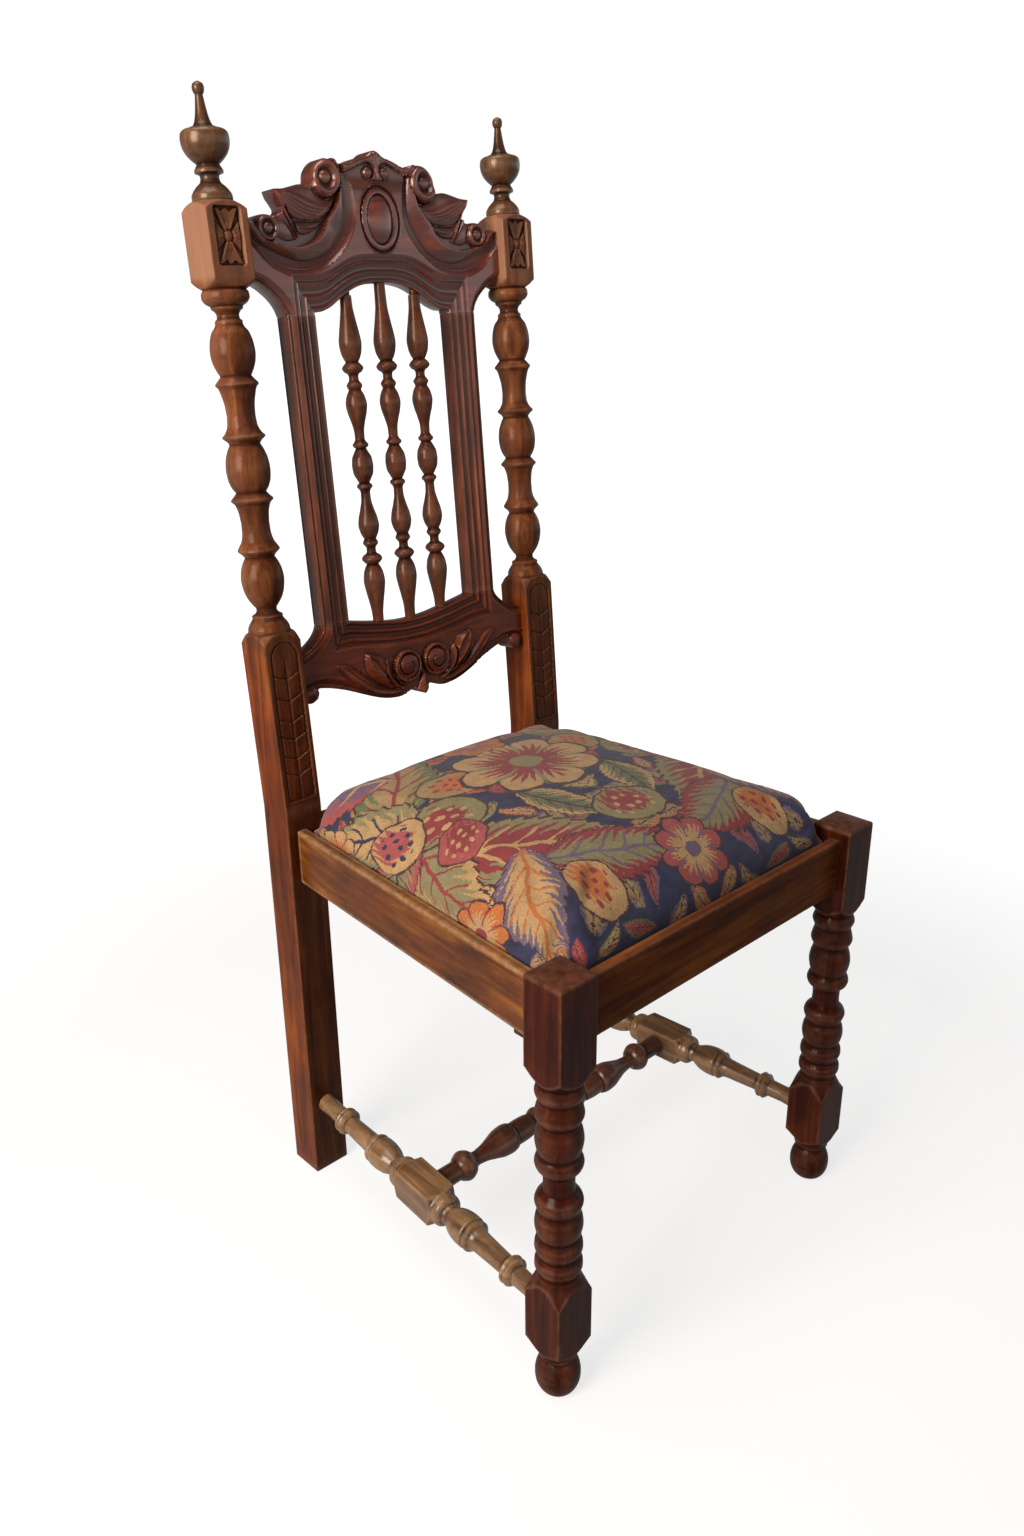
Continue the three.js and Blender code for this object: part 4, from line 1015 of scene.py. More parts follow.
@dataclass
class FrontLegs:
    """The two front legs: a ball foot, a small block, a row of beads and the seat's block."""

    spacing: float = 422.0
    depth: float = -237.6
    half: float = 22.0
    height: float = 451.0
    step: float = 1.0
    # How far under the top each of its last rings lies, and how much smaller it is
    top_easing: Points = ((3.4, 0), (1.9, 0.1), (1.0, 0.5), (0.4, 1.2), (0.05, 2.4))

    def build(self) -> None:
        """Builds both legs."""
        under, smaller = np.array(self.top_easing).T
        turned = np.concatenate((
            stations_between(0, 61, 0.9),
            stations_between(62, 116, 9),
            stations_between(117, 363.5, self.step),
            stations_between(366, self.height - 5, 9),
        ))
        shrink = np.concatenate((np.zeros(len(turned)), smaller))
        stations = np.concatenate((turned, self.height - under))
        radii = turned_radius(scaled(FOOT_PROFILE[:-1] + LEG_PROFILE), stations)

        def leg(side: int) -> Shell:
            """Makes one leg."""
            axis = side * self.spacing / 2
            return Stock(self.half).shell(
                stations,
                radii,
                lambda a, b, z: np.stack((axis + a, self.depth + b, np.full_like(a, z)), -1),
                shrink,
            )

        show_pair("front_leg", LEG_MAHOGANY, leg)


@dataclass
class BackPosts:
    """The two back posts: plain below, a carved panel over the seat, turned above, a carved block."""

    spacing: float = 363.0
    half: float = 21.8
    floor: float = -461.0
    top: float = 583.2
    panel_half: float = 16.2
    panel_foot: float = 10.5
    panel_head: float = 178.0
    arrows: tuple[float, ...] = (138.3, 115.3, 93.0, 74.4, 53.6, 35.6)
    arrow_rise: float = 6.6
    block_middle: float = 553.0
    well_half: float = 14.0
    well_reach: float = 25.0

    def leaf_panel(self, a: np.ndarray, s: float) -> np.ndarray:
        """Gives the depth of the long panel: a row of leaves lapped one over the next."""
        x = a / self.panel_half
        depth = np.zeros_like(a)
        round_start = self.panel_head - self.panel_half
        lift = max(0.0, s - round_start) / self.panel_half
        reach = math.sqrt(max(0.0, 1 - lift * lift)) if s < self.panel_head else 0.0
        if s < self.panel_foot - 0.7 or s > self.panel_head + 2:
            return depth
        # The outline is a narrow groove, and each leaf's edge bellies out inside it
        rise = self.arrow_rise * np.abs(x)
        marks = np.array((self.panel_head + 30, *self.arrows, self.panel_foot - 4))
        gap = (s - rise)[:, None] - marks[None, :]
        above = np.where(gap >= 0, gap, 999).min(1)
        below = np.where(gap < 0, -gap, 999).min(1)
        belly = 0.035 * np.sin(np.clip(above / (above + below + 1e-6), 0, 1) * math.pi * 3) ** 2
        edge = np.abs(a) - self.panel_half * (reach - 0.05 + belly * (s < self.arrows[0]))
        inside = eased((-edge + 0.4) / 1.6)
        groove = np.exp(-(((edge + 0.2) / 1.0) ** 2)) * 1.7
        floor = inside * 0.7
        lap = np.exp(-above / 1.4) * 1.5 * (s < self.arrows[0] + self.arrow_rise + 2)
        lap = np.where(above > 900, 0, lap)
        swell = 0.5 * np.exp(-below / 4.0)
        rib = np.exp(-((a / 1.0) ** 2)) * 1.3 * (s < self.arrows[0])
        dart_share = np.clip((s - 141) / 20, 0, 1)
        dart = 0.0
        if 139 < s < 162:
            dart = np.exp(-((a / (2.6 * (1 - dart_share) + 0.3)) ** 2)) * 1.5
        depth = floor + inside * (lap + rib + dart - swell) + groove
        if s < self.panel_foot + 0.7:
            return np.where(np.abs(a) < self.panel_half, 1.3, 0.0)
        return depth

    def flower_well(self, a: np.ndarray, s: float) -> np.ndarray:
        """Gives the depth of the upper block's well, with its four-petalled flower."""
        up = s - self.block_middle
        corner = 3.0
        qx = np.abs(a) - (self.well_half - corner)
        qs = abs(up) - (self.well_reach - corner)
        edge = np.hypot(np.maximum(qx, 0), max(qs, 0)) + np.minimum(np.maximum(qx, qs), 0) - corner
        inside = eased((-edge + 0.3) / 0.9)
        x, y = np.abs(a) / self.well_half, abs(up) / self.well_reach
        angle = np.degrees(np.arctan2(x, y + 1e-6))
        reach = np.hypot(x, y)
        tall = eased((44 - angle) / 4)
        tall_dish = 0.9 + 1.5 * (1 - (angle / 44) ** 2) * eased(reach / 0.6)
        tall_dish = tall_dish + 0.5 * np.cos(np.radians(angle * 24)) ** 2
        lobes = 0.92 + 0.06 * np.cos(np.radians(angle * 9))
        tall *= eased((lobes - y) / 0.06) if abs(up) > 6 else 1.0
        wide = eased((angle - 58) / 5)
        wide_dish = 1.0 + 1.5 * ((90 - angle) / 32) ** 0.8 + 0.5 * np.cos(np.radians(angle * 20)) ** 2
        wide *= eased((0.9 - x) / 0.08)
        floor = 5.0 - 1.0 * eased((0.5 - reach) / 0.5)
        depth = floor * (1 - tall) + tall_dish * tall
        depth = depth * (1 - wide) + wide_dish * wide
        boss = np.hypot(a, up)
        depth = np.where(boss < 4.6, 1.2 + 1.6 * (boss / 4.6) ** 2, depth)
        depth = depth + 1.4 * np.exp(-(((boss - 5.1) / 0.8) ** 2))
        return depth * inside

    def carve(self, a: np.ndarray, s: float) -> np.ndarray:
        """Gives how deep the front face is cut at a height."""
        if s > 500:
            return self.flower_well(a, s)
        return self.leaf_panel(a, s)

    def build(self) -> None:
        """Builds both posts."""
        stations = np.concatenate((
            (self.floor, self.floor + 0.5, self.floor + 1.4, self.floor + 3),
            stations_between(self.floor + 14, -8, 16),
            (0.0,),
            stations_between(6, 180.5, 0.75),
            stations_between(181.2, 523, 1.0),
            stations_between(523.7, self.top - 1.2, 0.75),
            (self.top - 0.4, self.top),
        ))
        shrink = np.zeros(len(stations))
        shrink[:3] = (1.6, 0.6, 0.15)
        radii = turned_radius(scaled(POST_PROFILE), stations)

        def post(side: int) -> Shell:
            """Makes one post."""
            axis = side * self.spacing / 2
            return Stock(self.half, front=58, other=17).shell(
                stations, radii, lambda a, b, s: BACK.bend(axis + a, b, s), shrink, self.carve
            )

        show_pair("back_post", POST_MAHOGANY, post)


@dataclass
class Finials:
    """The two turned finials on the posts."""

    spacing: float = 363.0
    step: float = 0.8

    def build(self) -> None:
        """Builds both finials."""
        profile = scaled(FINIAL_PROFILE)
        stations = stations_between(profile[0][0], profile[-1][0], self.step)
        radii = turned_radius(profile, stations)
        show_pair("finial", GOLDEN_WALNUT, lambda side: Stock(0, other=18).shell(
            stations, radii, lambda a, b, s: BACK.place(side * self.spacing / 2 + a, b, s)
        ))


@dataclass
class Stretchers:
    """The H of turned stretchers near the floor."""

    height: float = 90.0
    middle: float = -28.7
    block_half: float = 17.5
    leg: tuple[float, float] = (211.0, -237.6)
    leg_half: float = 22.0
    post: tuple[float, float] = (181.5, 186.9)
    post_half: float = 21.8
    seated: float = 2.0
    read_reach: float = 201.0
    cross_reach: float = 180.0
    step: float = 0.9

    def side_piece(self, side: int) -> Shell:
        """Makes one side stretcher, which runs from a front leg to a back post."""
        start = np.array(self.leg)
        run = np.array(self.post) - start
        run /= np.linalg.norm(run)
        across = np.array((run[1], -run[0]))
        middle = (self.middle - start[1]) / run[1]
        ends = (
            self.leg_half / run[1] - self.seated,
            (self.post[1] - self.post_half - start[1]) / run[1] + self.seated,
        )
        # The two halves are one turning, drawn out or in so that each ends in the leg or the post
        halves = []
        for end in ends:
            reach = abs(end - middle)
            places = np.concatenate((stations_between(0, 26, 6), stations_between(27, reach, self.step)))
            profile = scaled(SIDE_STRETCHER_PROFILE, reach / self.read_reach)
            halves.append((places, turned_radius(profile, places)))
        (front, front_radii), (rear, rear_radii) = halves

        def place(a: np.ndarray, b: np.ndarray, along: float) -> np.ndarray:
            """Places a ring of the stretcher."""
            x, y = (start + run * along)[:, None] + across[:, None] * a
            return np.stack((side * x, y, self.height + b), -1)

        return Stock(self.block_half, other=13, front=13).shell(
            np.concatenate((middle - front[::-1], middle + rear[1:])),
            np.concatenate((front_radii[::-1], rear_radii[1:])),
            place,
        )

    def build(self) -> None:
        """Builds the three stretchers."""
        show_pair("side_stretcher", STRETCHER_WALNUT, self.side_piece)
        half = stations_between(0, self.cross_reach, self.step)
        stations = np.concatenate((-half[::-1], half[1:]))
        shell = Stock(0, other=15).shell(
            stations,
            turned_radius(scaled(CROSS_STRETCHER_PROFILE), np.abs(stations)),
            lambda a, b, x: np.stack((np.full_like(a, x), self.middle + a, self.height + b), -1),
        )
        show_piece("cross_stretcher", make_mesh("cross_stretcher", *shell), CROSS_WALNUT)


# ---------------------------------------------------------------- carving


class Carving:
    """The height of a carved face over its flat, worked out at a set of spots.

    Ornaments are laid in the carver's order: what is laid later stands over what is under it.
    """

    def __init__(self, spots: np.ndarray) -> None:
        """Starts from a flat face.

        Args:
            spots: where the height is wanted, each a place across and a place up the back.
        """
        self.spots = spots
        self.height = np.zeros(len(spots))

    def between(
        self, first: Points, last: Points, levels: tuple[float, float], bulge: float, lean: float = 1.0
    ) -> None:
        """Lays a band between two lines that run the same way.

        Args:
            first: the line along one edge.
            last: the line along the other.
            levels: the height at each edge.
            bulge: how far the band swells between them, or sinks where it is negative.
            lean: under 1, the swelling is nearer the first line, and over 1 nearer the last.
        """
        one, other = curve_through(first), curve_through(last)
        band = inside_of(np.vstack((one, other[::-1])), self.spots)
        near, far = (distance_to(line, self.spots[band])[0] for line in (one, other))
        share = near / np.maximum(near + far, 1e-6)
        if bulge > 0:
            swell = np.sqrt(np.maximum(1 - (2 * share**lean - 1) ** 2, 0))
        else:
            swell = np.sin(math.pi * share**lean)
        self.height[band] = levels[0] + (levels[1] - levels[0]) * share + bulge * swell

    def dome(
        self, centre: tuple[float, float], reach: tuple[float, float], base: float, rise: float
    ) -> None:
        """Lays a round or oval boss."""
        away = np.hypot(*((self.spots - centre) / reach).T)
        over = away < 1
        self.height[over] = base + rise * np.sqrt(1 - away[over] ** 2)

    def ring(
        self, centre: tuple[float, float], inner: float, outer: float, base: float, rise: float
    ) -> None:
        """Lays a rounded ring."""
        away = np.hypot(*(self.spots - centre).T)
        over = (away > inner) & (away < outer)
        across = (2 * away[over] - inner - outer) / (outer - inner)
        self.height[over] = base + rise * np.sqrt(np.maximum(1 - across**2, 0))

    def boss(self, centre: tuple[float, float], heights: Points) -> None:
        """Lays a round boss, given by its height at distances from its middle."""
        away = np.hypot(*(self.spots - centre).T)
        over = away < heights[-1][0]
        self.height[over] = turned_radius(heights, away[over])

    def cut(self, line: Points, width: float, depth: float, taper: float = 0.0) -> None:
        """Cuts a groove along a line, or raises a ridge where depth is negative.

        Args:
            line: the points that the tool runs through.
            width: the groove's full width.
            depth: its depth.
            taper: the share of width and depth lost at the line's two ends.
        """
        away, share = distance_to(curve_through(line), self.spots)
        ends = 1 - taper * np.abs(2 * share - 1) ** 2
        across = np.clip(away / (width / 2 * ends), 0, 1)
        self.height -= depth * ends * (1 - across**2) ** 1.5

    def lay(self, loop: Points, level: float, rise: float, soft: float) -> np.ndarray:
        """Lays a leaf: it stands at a level at its edge, and swells inwards.

        Args:
            loop: the leaf's outline.
            level: the height at its edge.
            rise: how much higher it is far from its edge.
            soft: how fast it rises, in millimetres.

        Returns:
            Which spots lie in the leaf.
        """
        shape = np.array(loop, float)
        outline = curve_through([*shape, shape[0]])
        band = inside_of(outline[:-1], self.spots)
        away, _ = distance_to(outline, self.spots[band])
        self.height[band] = level + rise * (1 - np.exp(-away / soft))
        return band

    def vein(
        self, leaf: np.ndarray, lines: Iterable[Points], ridge: tuple[float, float], flute: tuple[float, float]
    ) -> None:
        """Raises fine ridges on a leaf, with a shallow flute between each pair.

        Args:
            leaf: which spots lie in the leaf.
            lines: the ridges' lines.
            ridge: how high a ridge stands, and how wide it is.
            flute: how deep a flute is, and how wide.
        """
        away = np.min([distance_to(curve_through(line), self.spots[leaf])[0] for line in lines], 0)
        raised = ridge[0] * np.exp(-((away / ridge[1]) ** 2))
        self.height[leaf] += raised - flute[0] * (1 - np.exp(-((away / flute[1]) ** 2)))

    def cove(self, line: np.ndarray, within: np.ndarray) -> None:
        """Sinks the cove that runs along a bracket's edge."""
        away, _ = distance_to(line, self.spots)
        coved = (away < COVE_WIDTH) & within
        self.height[coved] = np.minimum(self.height[coved], bracket_height(away[coved]))


# Height of the moulding round the spindles' opening: three coves, each ending in a thin arris
MOULDING: Points = (
    (-1, -9.0), (0, -8.6), (1.0, -7.9), (2.0, -7.6), (2.7, -8.6), (4.2, -9.2), (6.0, -9.0), (7.8, -8.0),
    (9.2, -6.2), (10.2, -5.3), (10.9, -6.5), (12.4, -7.4), (14.6, -7.2), (16.8, -6.0), (18.5, -3.9),
    (19.7, -2.4), (20.5, -3.7), (21.8, -4.1), (23.6, -2.8), (25.2, -0.8), (26.4, 0.0), (28, 0.0),
)
MOULDING_WIDTH = 26.4
# How far the moulding stands up where it meets the opening, over the heights that were read
MOULDING_LIFT = 3.0
COVE_WIDTH = 9.0
STILE_INNER = 91.15
STILE_OUTER = 126.0
PANEL_END = 166.6


def moulding_height(m: np.ndarray) -> np.ndarray:
    """Gives the moulding's height by the distance from the opening's edge."""
    place, height = np.array(MOULDING, float).T
    return np.interp(m, place, height) + MOULDING_LIFT * np.clip(1 - m / MOULDING_WIDTH, 0, 1)


def bracket_height(away: np.ndarray) -> np.ndarray:
    """Gives the height of the cove along the outer brackets by the distance from their edge."""
    cove = -4.6 * np.clip(1 - (away - 2.2) / 6.3, 0, 1) ** 1.7 - 0.5 * eased((8.6 - away) / 0.8)
    bead = -4.1 + 0.9 * np.sqrt(np.maximum(1 - ((away - 1.2) / 1.2) ** 2, 0))
    return np.where(away < 2.3, bead, cove)


@dataclass
class CarvedPanel:
    """A rail of the back, carved on its front: half is worked out, and the other half mirrors it."""

    front: float = -11.5
    back: float = 11.5
    grid: float = 0.95
    room: tuple[float, float] = (0.4, 0.5)
    margin: tuple[float, float] = (0.35, 0.4)
    ease: float = 0.9
    chamfer: float = 1.2
    joint_height: float = 0.0

    def edges(self) -> tuple[tuple[Points, float], ...]:
        """Gives the right half's edges, from the middle line round and back to it, and their points' step."""
        raise NotImplementedError

    def guides(self) -> list[np.ndarray]:
        """Gives the lines that the mesh's edges follow."""
        raise NotImplementedError

    def relief(self, spots: np.ndarray) -> np.ndarray:
        """Gives the height of the carving at spots."""
        raise NotImplementedError

    def joint(self, flat: np.ndarray) -> np.ndarray:
        """Says which spots lie on a joint with a stile, where the edge stays square."""
        raise NotImplementedError

    def rounding(self, flat: np.ndarray) -> np.ndarray:
        """Gives how far in from the rim the edge is rounded over."""
        return np.full(len(flat), self.ease)

    def rounded_face(self, outline: np.ndarray, flat: np.ndarray) -> np.ndarray:
        """Gives the height of the carved face, rounded over along its rim but not at its joints."""
        off_middle = np.flatnonzero(outline[:, 0] > 0.01)
        rim, _ = distance_to(outline[: off_middle[-1] + 2], flat)
        ease = self.rounding(flat)
        tucked = np.clip(1 - rim / ease, 0, 1) ** 2 * ease * 0.8
        ends = (flat[:, 0] > PANEL_END - 0.02) | self.joint(flat)
        return self.relief(flat) - np.where(ends, 0, tucked)

    def build_shape(self, name: str) -> bpy.types.Mesh:
        """Makes the whole rail's mesh: carved front, flat back and the sawn edge between them."""
        outline = np.vstack([curve_through(line, step)[:-1] for line, step in self.edges()])
        guides = [curve_through(line, 0.8) if len(line) < 60 else line for line in self.guides()]
        flat, triangles = spread_points(outline, guides, self.grid, self.room, self.margin, outline.tolist())
        height = self.rounded_face(outline, flat) * READ_SCALE
        flat = flat * READ_SCALE
        loop = rim_order(triangles)
        count, size = len(flat), len(loop)
        front = BACK.place(flat[:, 0], self.front - height, flat[:, 1])
        rim = flat[loop]
        inward = rim.mean(0) - rim
        inward /= np.maximum(np.linalg.norm(inward, axis=1), 1)[:, None]
        off_middle = (rim[:, 0] > 0.05)[:, None]
        drawn_in = rim + inward * self.chamfer * 0.6 * off_middle
        rear_edge = BACK.place(rim[:, 0], self.back - self.chamfer, rim[:, 1])
        rear = BACK.place(drawn_in[:, 0], self.back, drawn_in[:, 1])
        spots = np.vstack((front, rear_edge, rear))
        faces: Faces = list(triangles)
        for k in range(size):
            n = (k + 1) % size
            if rim[k, 0] < 0.02 and rim[n, 0] < 0.02:
                continue
            faces.append((loop[n], loop[k], count + k, count + n))
            faces.append((count + n, count + k, count + size + k, count + size + n))
        cap = delaunay_2d_cdt([Vector(p) for p in drawn_in.tolist()], [], [list(range(size))], 1, 1e-6, True)
        origin = [sources[0] for sources in cap[3]]
        middles = np.array([np.mean([cap[0][i][:] for i in face], axis=0) for face in cap[2]])
        faces.extend(
            tuple(count + size + origin[i] for i in face[::-1])
            for face, inside in zip(cap[2], inside_of(drawn_in, middles))
            if inside
        )
        total = len(spots)
        faces += [tuple(total + i for i in face[::-1]) for face in faces]
        both = np.vstack((spots, spots * (-1, 1, 1)))
        mesh = make_mesh(name, both, faces, sharp=44, merge=0.02, wear=(9, 0.9))
        self.paint_ground_shade(mesh)
        return mesh

    def paint_ground_shade(self, mesh: bpy.types.Mesh) -> None:
        """Darkens the carving's deep ground where it faces the front: painted shade in the recesses."""
        wear = np.empty(len(mesh.vertices))
        marks = mesh.attributes["wear"].data
        marks.foreach_get("value", wear)
        sunk = BACK.depth_of(read_spots(mesh)) - self.front
        deep = eased((sunk - 4.4) / 1.8) * eased((-read_normals(mesh)[:, 1] - 0.2) / 0.4)
        marks.foreach_set("value", (wear - 0.42 * deep).astype(np.float32))


@dataclass
class CrestRail(CarvedPanel):
    """The crest rail: a cabochon between two C-scrolls, with leaves and a moulded arch below."""

    joint_height: float = 504.7
    top_line: Points = (
        (0, 662), (3.5, 661.6), (7, 659.6), (11, 656.8), (16, 655.4), (22, 654.2), (30, 651), (36, 648.2),
        (40.5, 647.4), (46, 650),
        (52, 652), (59, 652.6), (66, 650.6), (72.5, 646), (77, 639.5), (78.4, 632.5), (80.5, 628.4),
        (84, 626), (91, 626.8), (98, 626.2), (106, 624.2), (116, 621.8), (126.5, 621),
    )
    shoulder_line: Points = (
        (126.5, 621), (124.4, 615), (120.4, 609.6), (117.8, 605), (118.4, 601.6), (122.5, 598.6),
        (128, 597.6), (135, 598.6), (143, 598), (150, 594.6), (157, 591), (PANEL_END, 590),
    )
    bracket_line: Points = (
        (PANEL_END, 538.6), (160, 537), (150, 532.4), (141, 526), (134, 519.4), (129, 512), (STILE_OUTER, 504.7),
    )
    arch_line: Points = (
        (STILE_INNER, 507.8), (86, 508.2), (80, 509.2), (70, 513), (60, 519), (50, 525), (40, 530), (30, 533.4),
        (15, 536), (0, 536.5),
    )
    hollow_line: Points = (
        (42, 656), (37.5, 643), (33, 628), (30.8, 615), (30.3, 603), (32.5, 592), (38.7, 580), (47.5, 569),
        (56, 561.5), (65, 555), (73, 550), (82, 546.3), (91, 543.7), (100, 542), (110, 541), (122, 542.5),
        (132, 546), (141, 550.5), (150, 558.5), (158, 567), (168, 575),
    )
    crease_line: Points = (
        (47, 656), (43, 643), (41, 628), (40.3, 615), (41.5, 602), (46, 590), (54, 578), (64, 567.5),
        (73, 562), (82, 558.7), (91, 556.6), (100, 556), (110, 557), (122, 560.5), (134, 565), (145, 570),
        (153, 576), (160, 582), (168, 587),
    )
    scroll_line: Points = (
        (56, 656), (50.5, 643), (49.2, 632), (49.4, 622), (52.5, 612), (58, 604.5), (64.5, 598.5),
        (70, 592), (72.8, 585), (79, 578.5), (86, 574.3), (94, 571.3), (103.7, 569), (116, 569.2),
        (127, 571.5), (136, 573.2), (143.5, 575.5), (149, 580), (155, 587), (160, 594), (168, 598),
    )
    leaf_loop: Points = (
        (53, 617), (59, 613.5), (67, 614.5), (75, 620), (80, 628), (91, 629), (100, 628), (116, 624),
        (130, 623), (127, 614.5), (120, 607.5), (113, 601.5), (106, 596.5), (98, 594.6), (88, 594),
        (78, 594.8), (70, 597.2), (62, 602.5), (56, 609.5),
    )
    veins: tuple[Points, ...] = (
        ((55, 614.5), (61, 608.6), (72, 606.8), (86, 611), (100, 615.6), (116, 618.8)),
        ((61, 605), (72, 601.8), (84, 602), (96, 604.6), (106, 609.6), (119, 616.6)),
        ((66, 600.4), (80, 597.6), (92, 597.8), (104, 601.6), (113, 607.8), (122, 615)),
        ((58, 609.5), (66, 605), (79, 604.4), (91, 607), (103, 612), (117, 618)),
        ((63.5, 602.6), (76, 599.6), (88, 599.8), (100, 603), (109.5, 608.6), (120.5, 616)),
    )
    under_leaf: Points = (
        (68, 595), (80, 593), (92, 592.4), (103, 593), (112, 596), (110, 588), (104, 582), (95, 581),
        (86, 583), (77, 588),
    )
    neck: Points = (
        (108, 600), (118, 601), (127, 598), (132, 590), (127, 580), (117, 575), (107, 576), (102, 584),
    )
    strap: Points = ((119, 604), (103, 577))
    big_eye: tuple[float, float] = (64.2, 634.6)
    big_scroll: Points = (
        (0, 2.2), (3, 1.9), (5.2, 0.8), (6.8, -1.2), (7.7, -1.9), (8.7, -1.0), (10.4, 1.4), (12.6, 3.0), (14.6, 3.1),
        (16.6, 1.8), (18, -0.6), (18.9, -3.4),
    )
    small_eye: tuple[float, float] = (137.4, 586.0)
    small_scroll: Points = (
        (0, 0.8), (2.6, 0.4), (4.6, -1.0), (5.9, -3.2), (6.6, -3.5), (7.4, -2.4), (8.8, -0.4), (10.2, 0.1),
        (11.4, -0.8), (12.8, -4.6),
    )
    cabochon: tuple[float, float] = (0.0, 597.0)
    comma_line: Points = (
        (11.5, 634.2), (7, 635), (4.2, 638), (3.2, 642), (4, 646), (7, 649.4), (12, 650.6), (18, 649),
        (26, 645.6), (34, 642.2), (41, 640.2),
    )
    comma_eye: tuple[float, float] = (10.6, 641.2)

    def edges(self) -> tuple[tuple[Points, float], ...]:
        """Gives the right half's edges, and their points' step."""
        inner, outer = (STILE_INNER, self.joint_height), (STILE_OUTER, self.joint_height)
        return (
            (self.top_line, 0.9), (self.shoulder_line, 0.9),
            ((self.shoulder_line[-1], self.bracket_line[0]), 1.2), (self.bracket_line, 0.9),
            ((outer, inner), 0.7), ((inner, self.arch_line[0]), 0.9),
            (self.arch_line, 0.9), ((self.arch_line[-1], self.top_line[0]), 0.95),
        )

    def opening_distance(self, spots: np.ndarray) -> np.ndarray:
        """Measures the moulding's own distance from the opening: it turns square corners at the stiles."""
        x, s = spots.T
        arch_x, arch_s = curve_through(self.arch_line, 1.0)[::-1].T
        share = eased(x / 93)
        up = (s - np.interp(x, arch_x, arch_s)) / (1.02 + 0.38 * share)
        return np.maximum(up, x - STILE_INNER)

    def guides(self) -> list[np.ndarray]:
        """Gives the lines that the mesh's edges follow."""
        lines = [curve_through(line, 0.8) for line in (
            self.hollow_line, self.crease_line, self.scroll_line, self.comma_line, *self.veins,
            *((*loop, loop[0]) for loop in (self.leaf_loop, self.under_leaf, self.neck)),
        )]
        for centre, reaches in (
            (self.big_eye, ((7.7, 7.7), (18.9, 18.9))),
            (self.small_eye, ((6.6, 6.6), (12.8, 12.8))),
            (self.comma_eye, ((5.2, 5.2), (5.8, 5.8))),
            (self.cabochon, ((26.4, 33.4), (23.0, 30.0), (16.4, 24.2), (15.6, 23.2))),
        ):
            lines.extend(circle(centre, reach, 160) for reach in reaches)
        # The strap's two edges, its two ridges and the groove between them
        share = np.linspace(0, 1, 40)[:, None]
        run = (1 - share) * self.strap[0] + share * self.strap[1]
        across = np.array((0.86, -0.51)) * self.strap_half(share)
        lines.extend(run + side * across for side in (-1, -0.5, 0, 0.5, 1))
        return lines

    @staticmethod
    def strap_half(share: np.ndarray) -> np.ndarray:
        """Gives half the strap's width by the share of its length: it narrows towards a point."""
        return 5.4 - 3.4 * share

    def rounding(self, flat: np.ndarray) -> np.ndarray:
        """Gives how far in from the rim the edge is rounded over: most round the scrolls."""
        big = np.hypot(*(flat - self.big_eye).T)
        small = np.hypot(*(flat - self.small_eye).T)
        top = eased((40 - flat[:, 0]) / 8) * eased((flat[:, 1] - 630) / 8)
        return self.ease + 5.0 * eased((23 - big) / 4) + 2.6 * eased((15.5 - small) / 3) + 3.0 * top

    def joint(self, flat: np.ndarray) -> np.ndarray:
        """Says which spots lie on the joint with the stile."""
        return flat[:, 1] < self.joint_height + 0.02

    def relief(self, spots: np.ndarray) -> np.ndarray:
        """Gives the height of the crest's carving."""
        face = Carving(spots)
        x, s = spots.T
        # The ground over the cabochon is slightly dished
        face.height -= 1.8 * eased((s - 622) / 16) * eased((48 - x) / 10)
        self.carve_arms(face)
        self.carve_leaves(face)
        # Scrolls: a fat roll round a sunk eye with a ball in it
        face.boss(self.big_eye, self.big_scroll)
        face.boss(self.small_eye, self.small_scroll)
        self.carve_cabochon(face)
        self.carve_top(face)
        # Moulded arch, and the coved brackets beyond the stiles
        opening = self.opening_distance(spots)
        moulded = (opening < MOULDING_WIDTH) & (s < 568)
        face.height[moulded] = moulding_height(opening[moulded])
        face.cove(np.vstack((curve_through(self.bracket_line), ((STILE_OUTER, 498),))), (s < 552) & (x > 100))
        return face.height

    def carve_arms(self, face: Carving) -> None:
        """Carves the C-scrolls' arms: a hollow and a roll, and the recess over them."""
        face.between(self.hollow_line, self.crease_line, (0.2, -5.6), -1.3, 0.8)
        lines = [curve_through(line) for line in (self.hollow_line, self.crease_line)]
        halfway = sum(line[np.linspace(0, len(line) - 1, 26).astype(int)] for line in lines) / 2
        face.cut(halfway[3:-2], 1.7, -0.5, 0.5)
        face.between(self.crease_line, self.scroll_line, (-5.6, 1.5), 1.6, 1.1)
        above = np.vstack((curve_through(self.scroll_line), ((168, 680), (56, 680))))
        face.height[inside_of(above, face.spots)] = -6.8

    def carve_leaves(self, face: Carving) -> None:
        """Carves the two leaves of the right arm, and what ties them down."""
        # Lower leaf, half under the upper one
        face.lay(self.under_leaf, -6.0, 2.6, 2.6)
        face.cut(((72, 590), (82, 587), (94, 585.6), (104, 587)), 2.2, 1.2, 0.6)
        face.lay(self.neck, -6.4, 2.4, 4.4)
        leaf = face.lay(self.leaf_loop, -4.2, 2.6, 4.6)
        face.vein(leaf, self.veins, (0.5, 0.7), (0.35, 2.0))
        face.height[leaf] += 2.4 * eased((face.spots[leaf, 0] - 92) / 32)
        # Two thin straps that tie the leaf down, narrowing to a point
        across, share = distance_to(np.array(self.strap, float), face.spots)
        half = self.strap_half(share)
        tied = (across < half) & (share > 0.001) & (share < 0.999)
        bands = np.sin(across[tied] / half[tied] * math.pi) ** 2
        face.height[tied] = -4.4 + 3.0 * bands - 1.4 * share[tied]

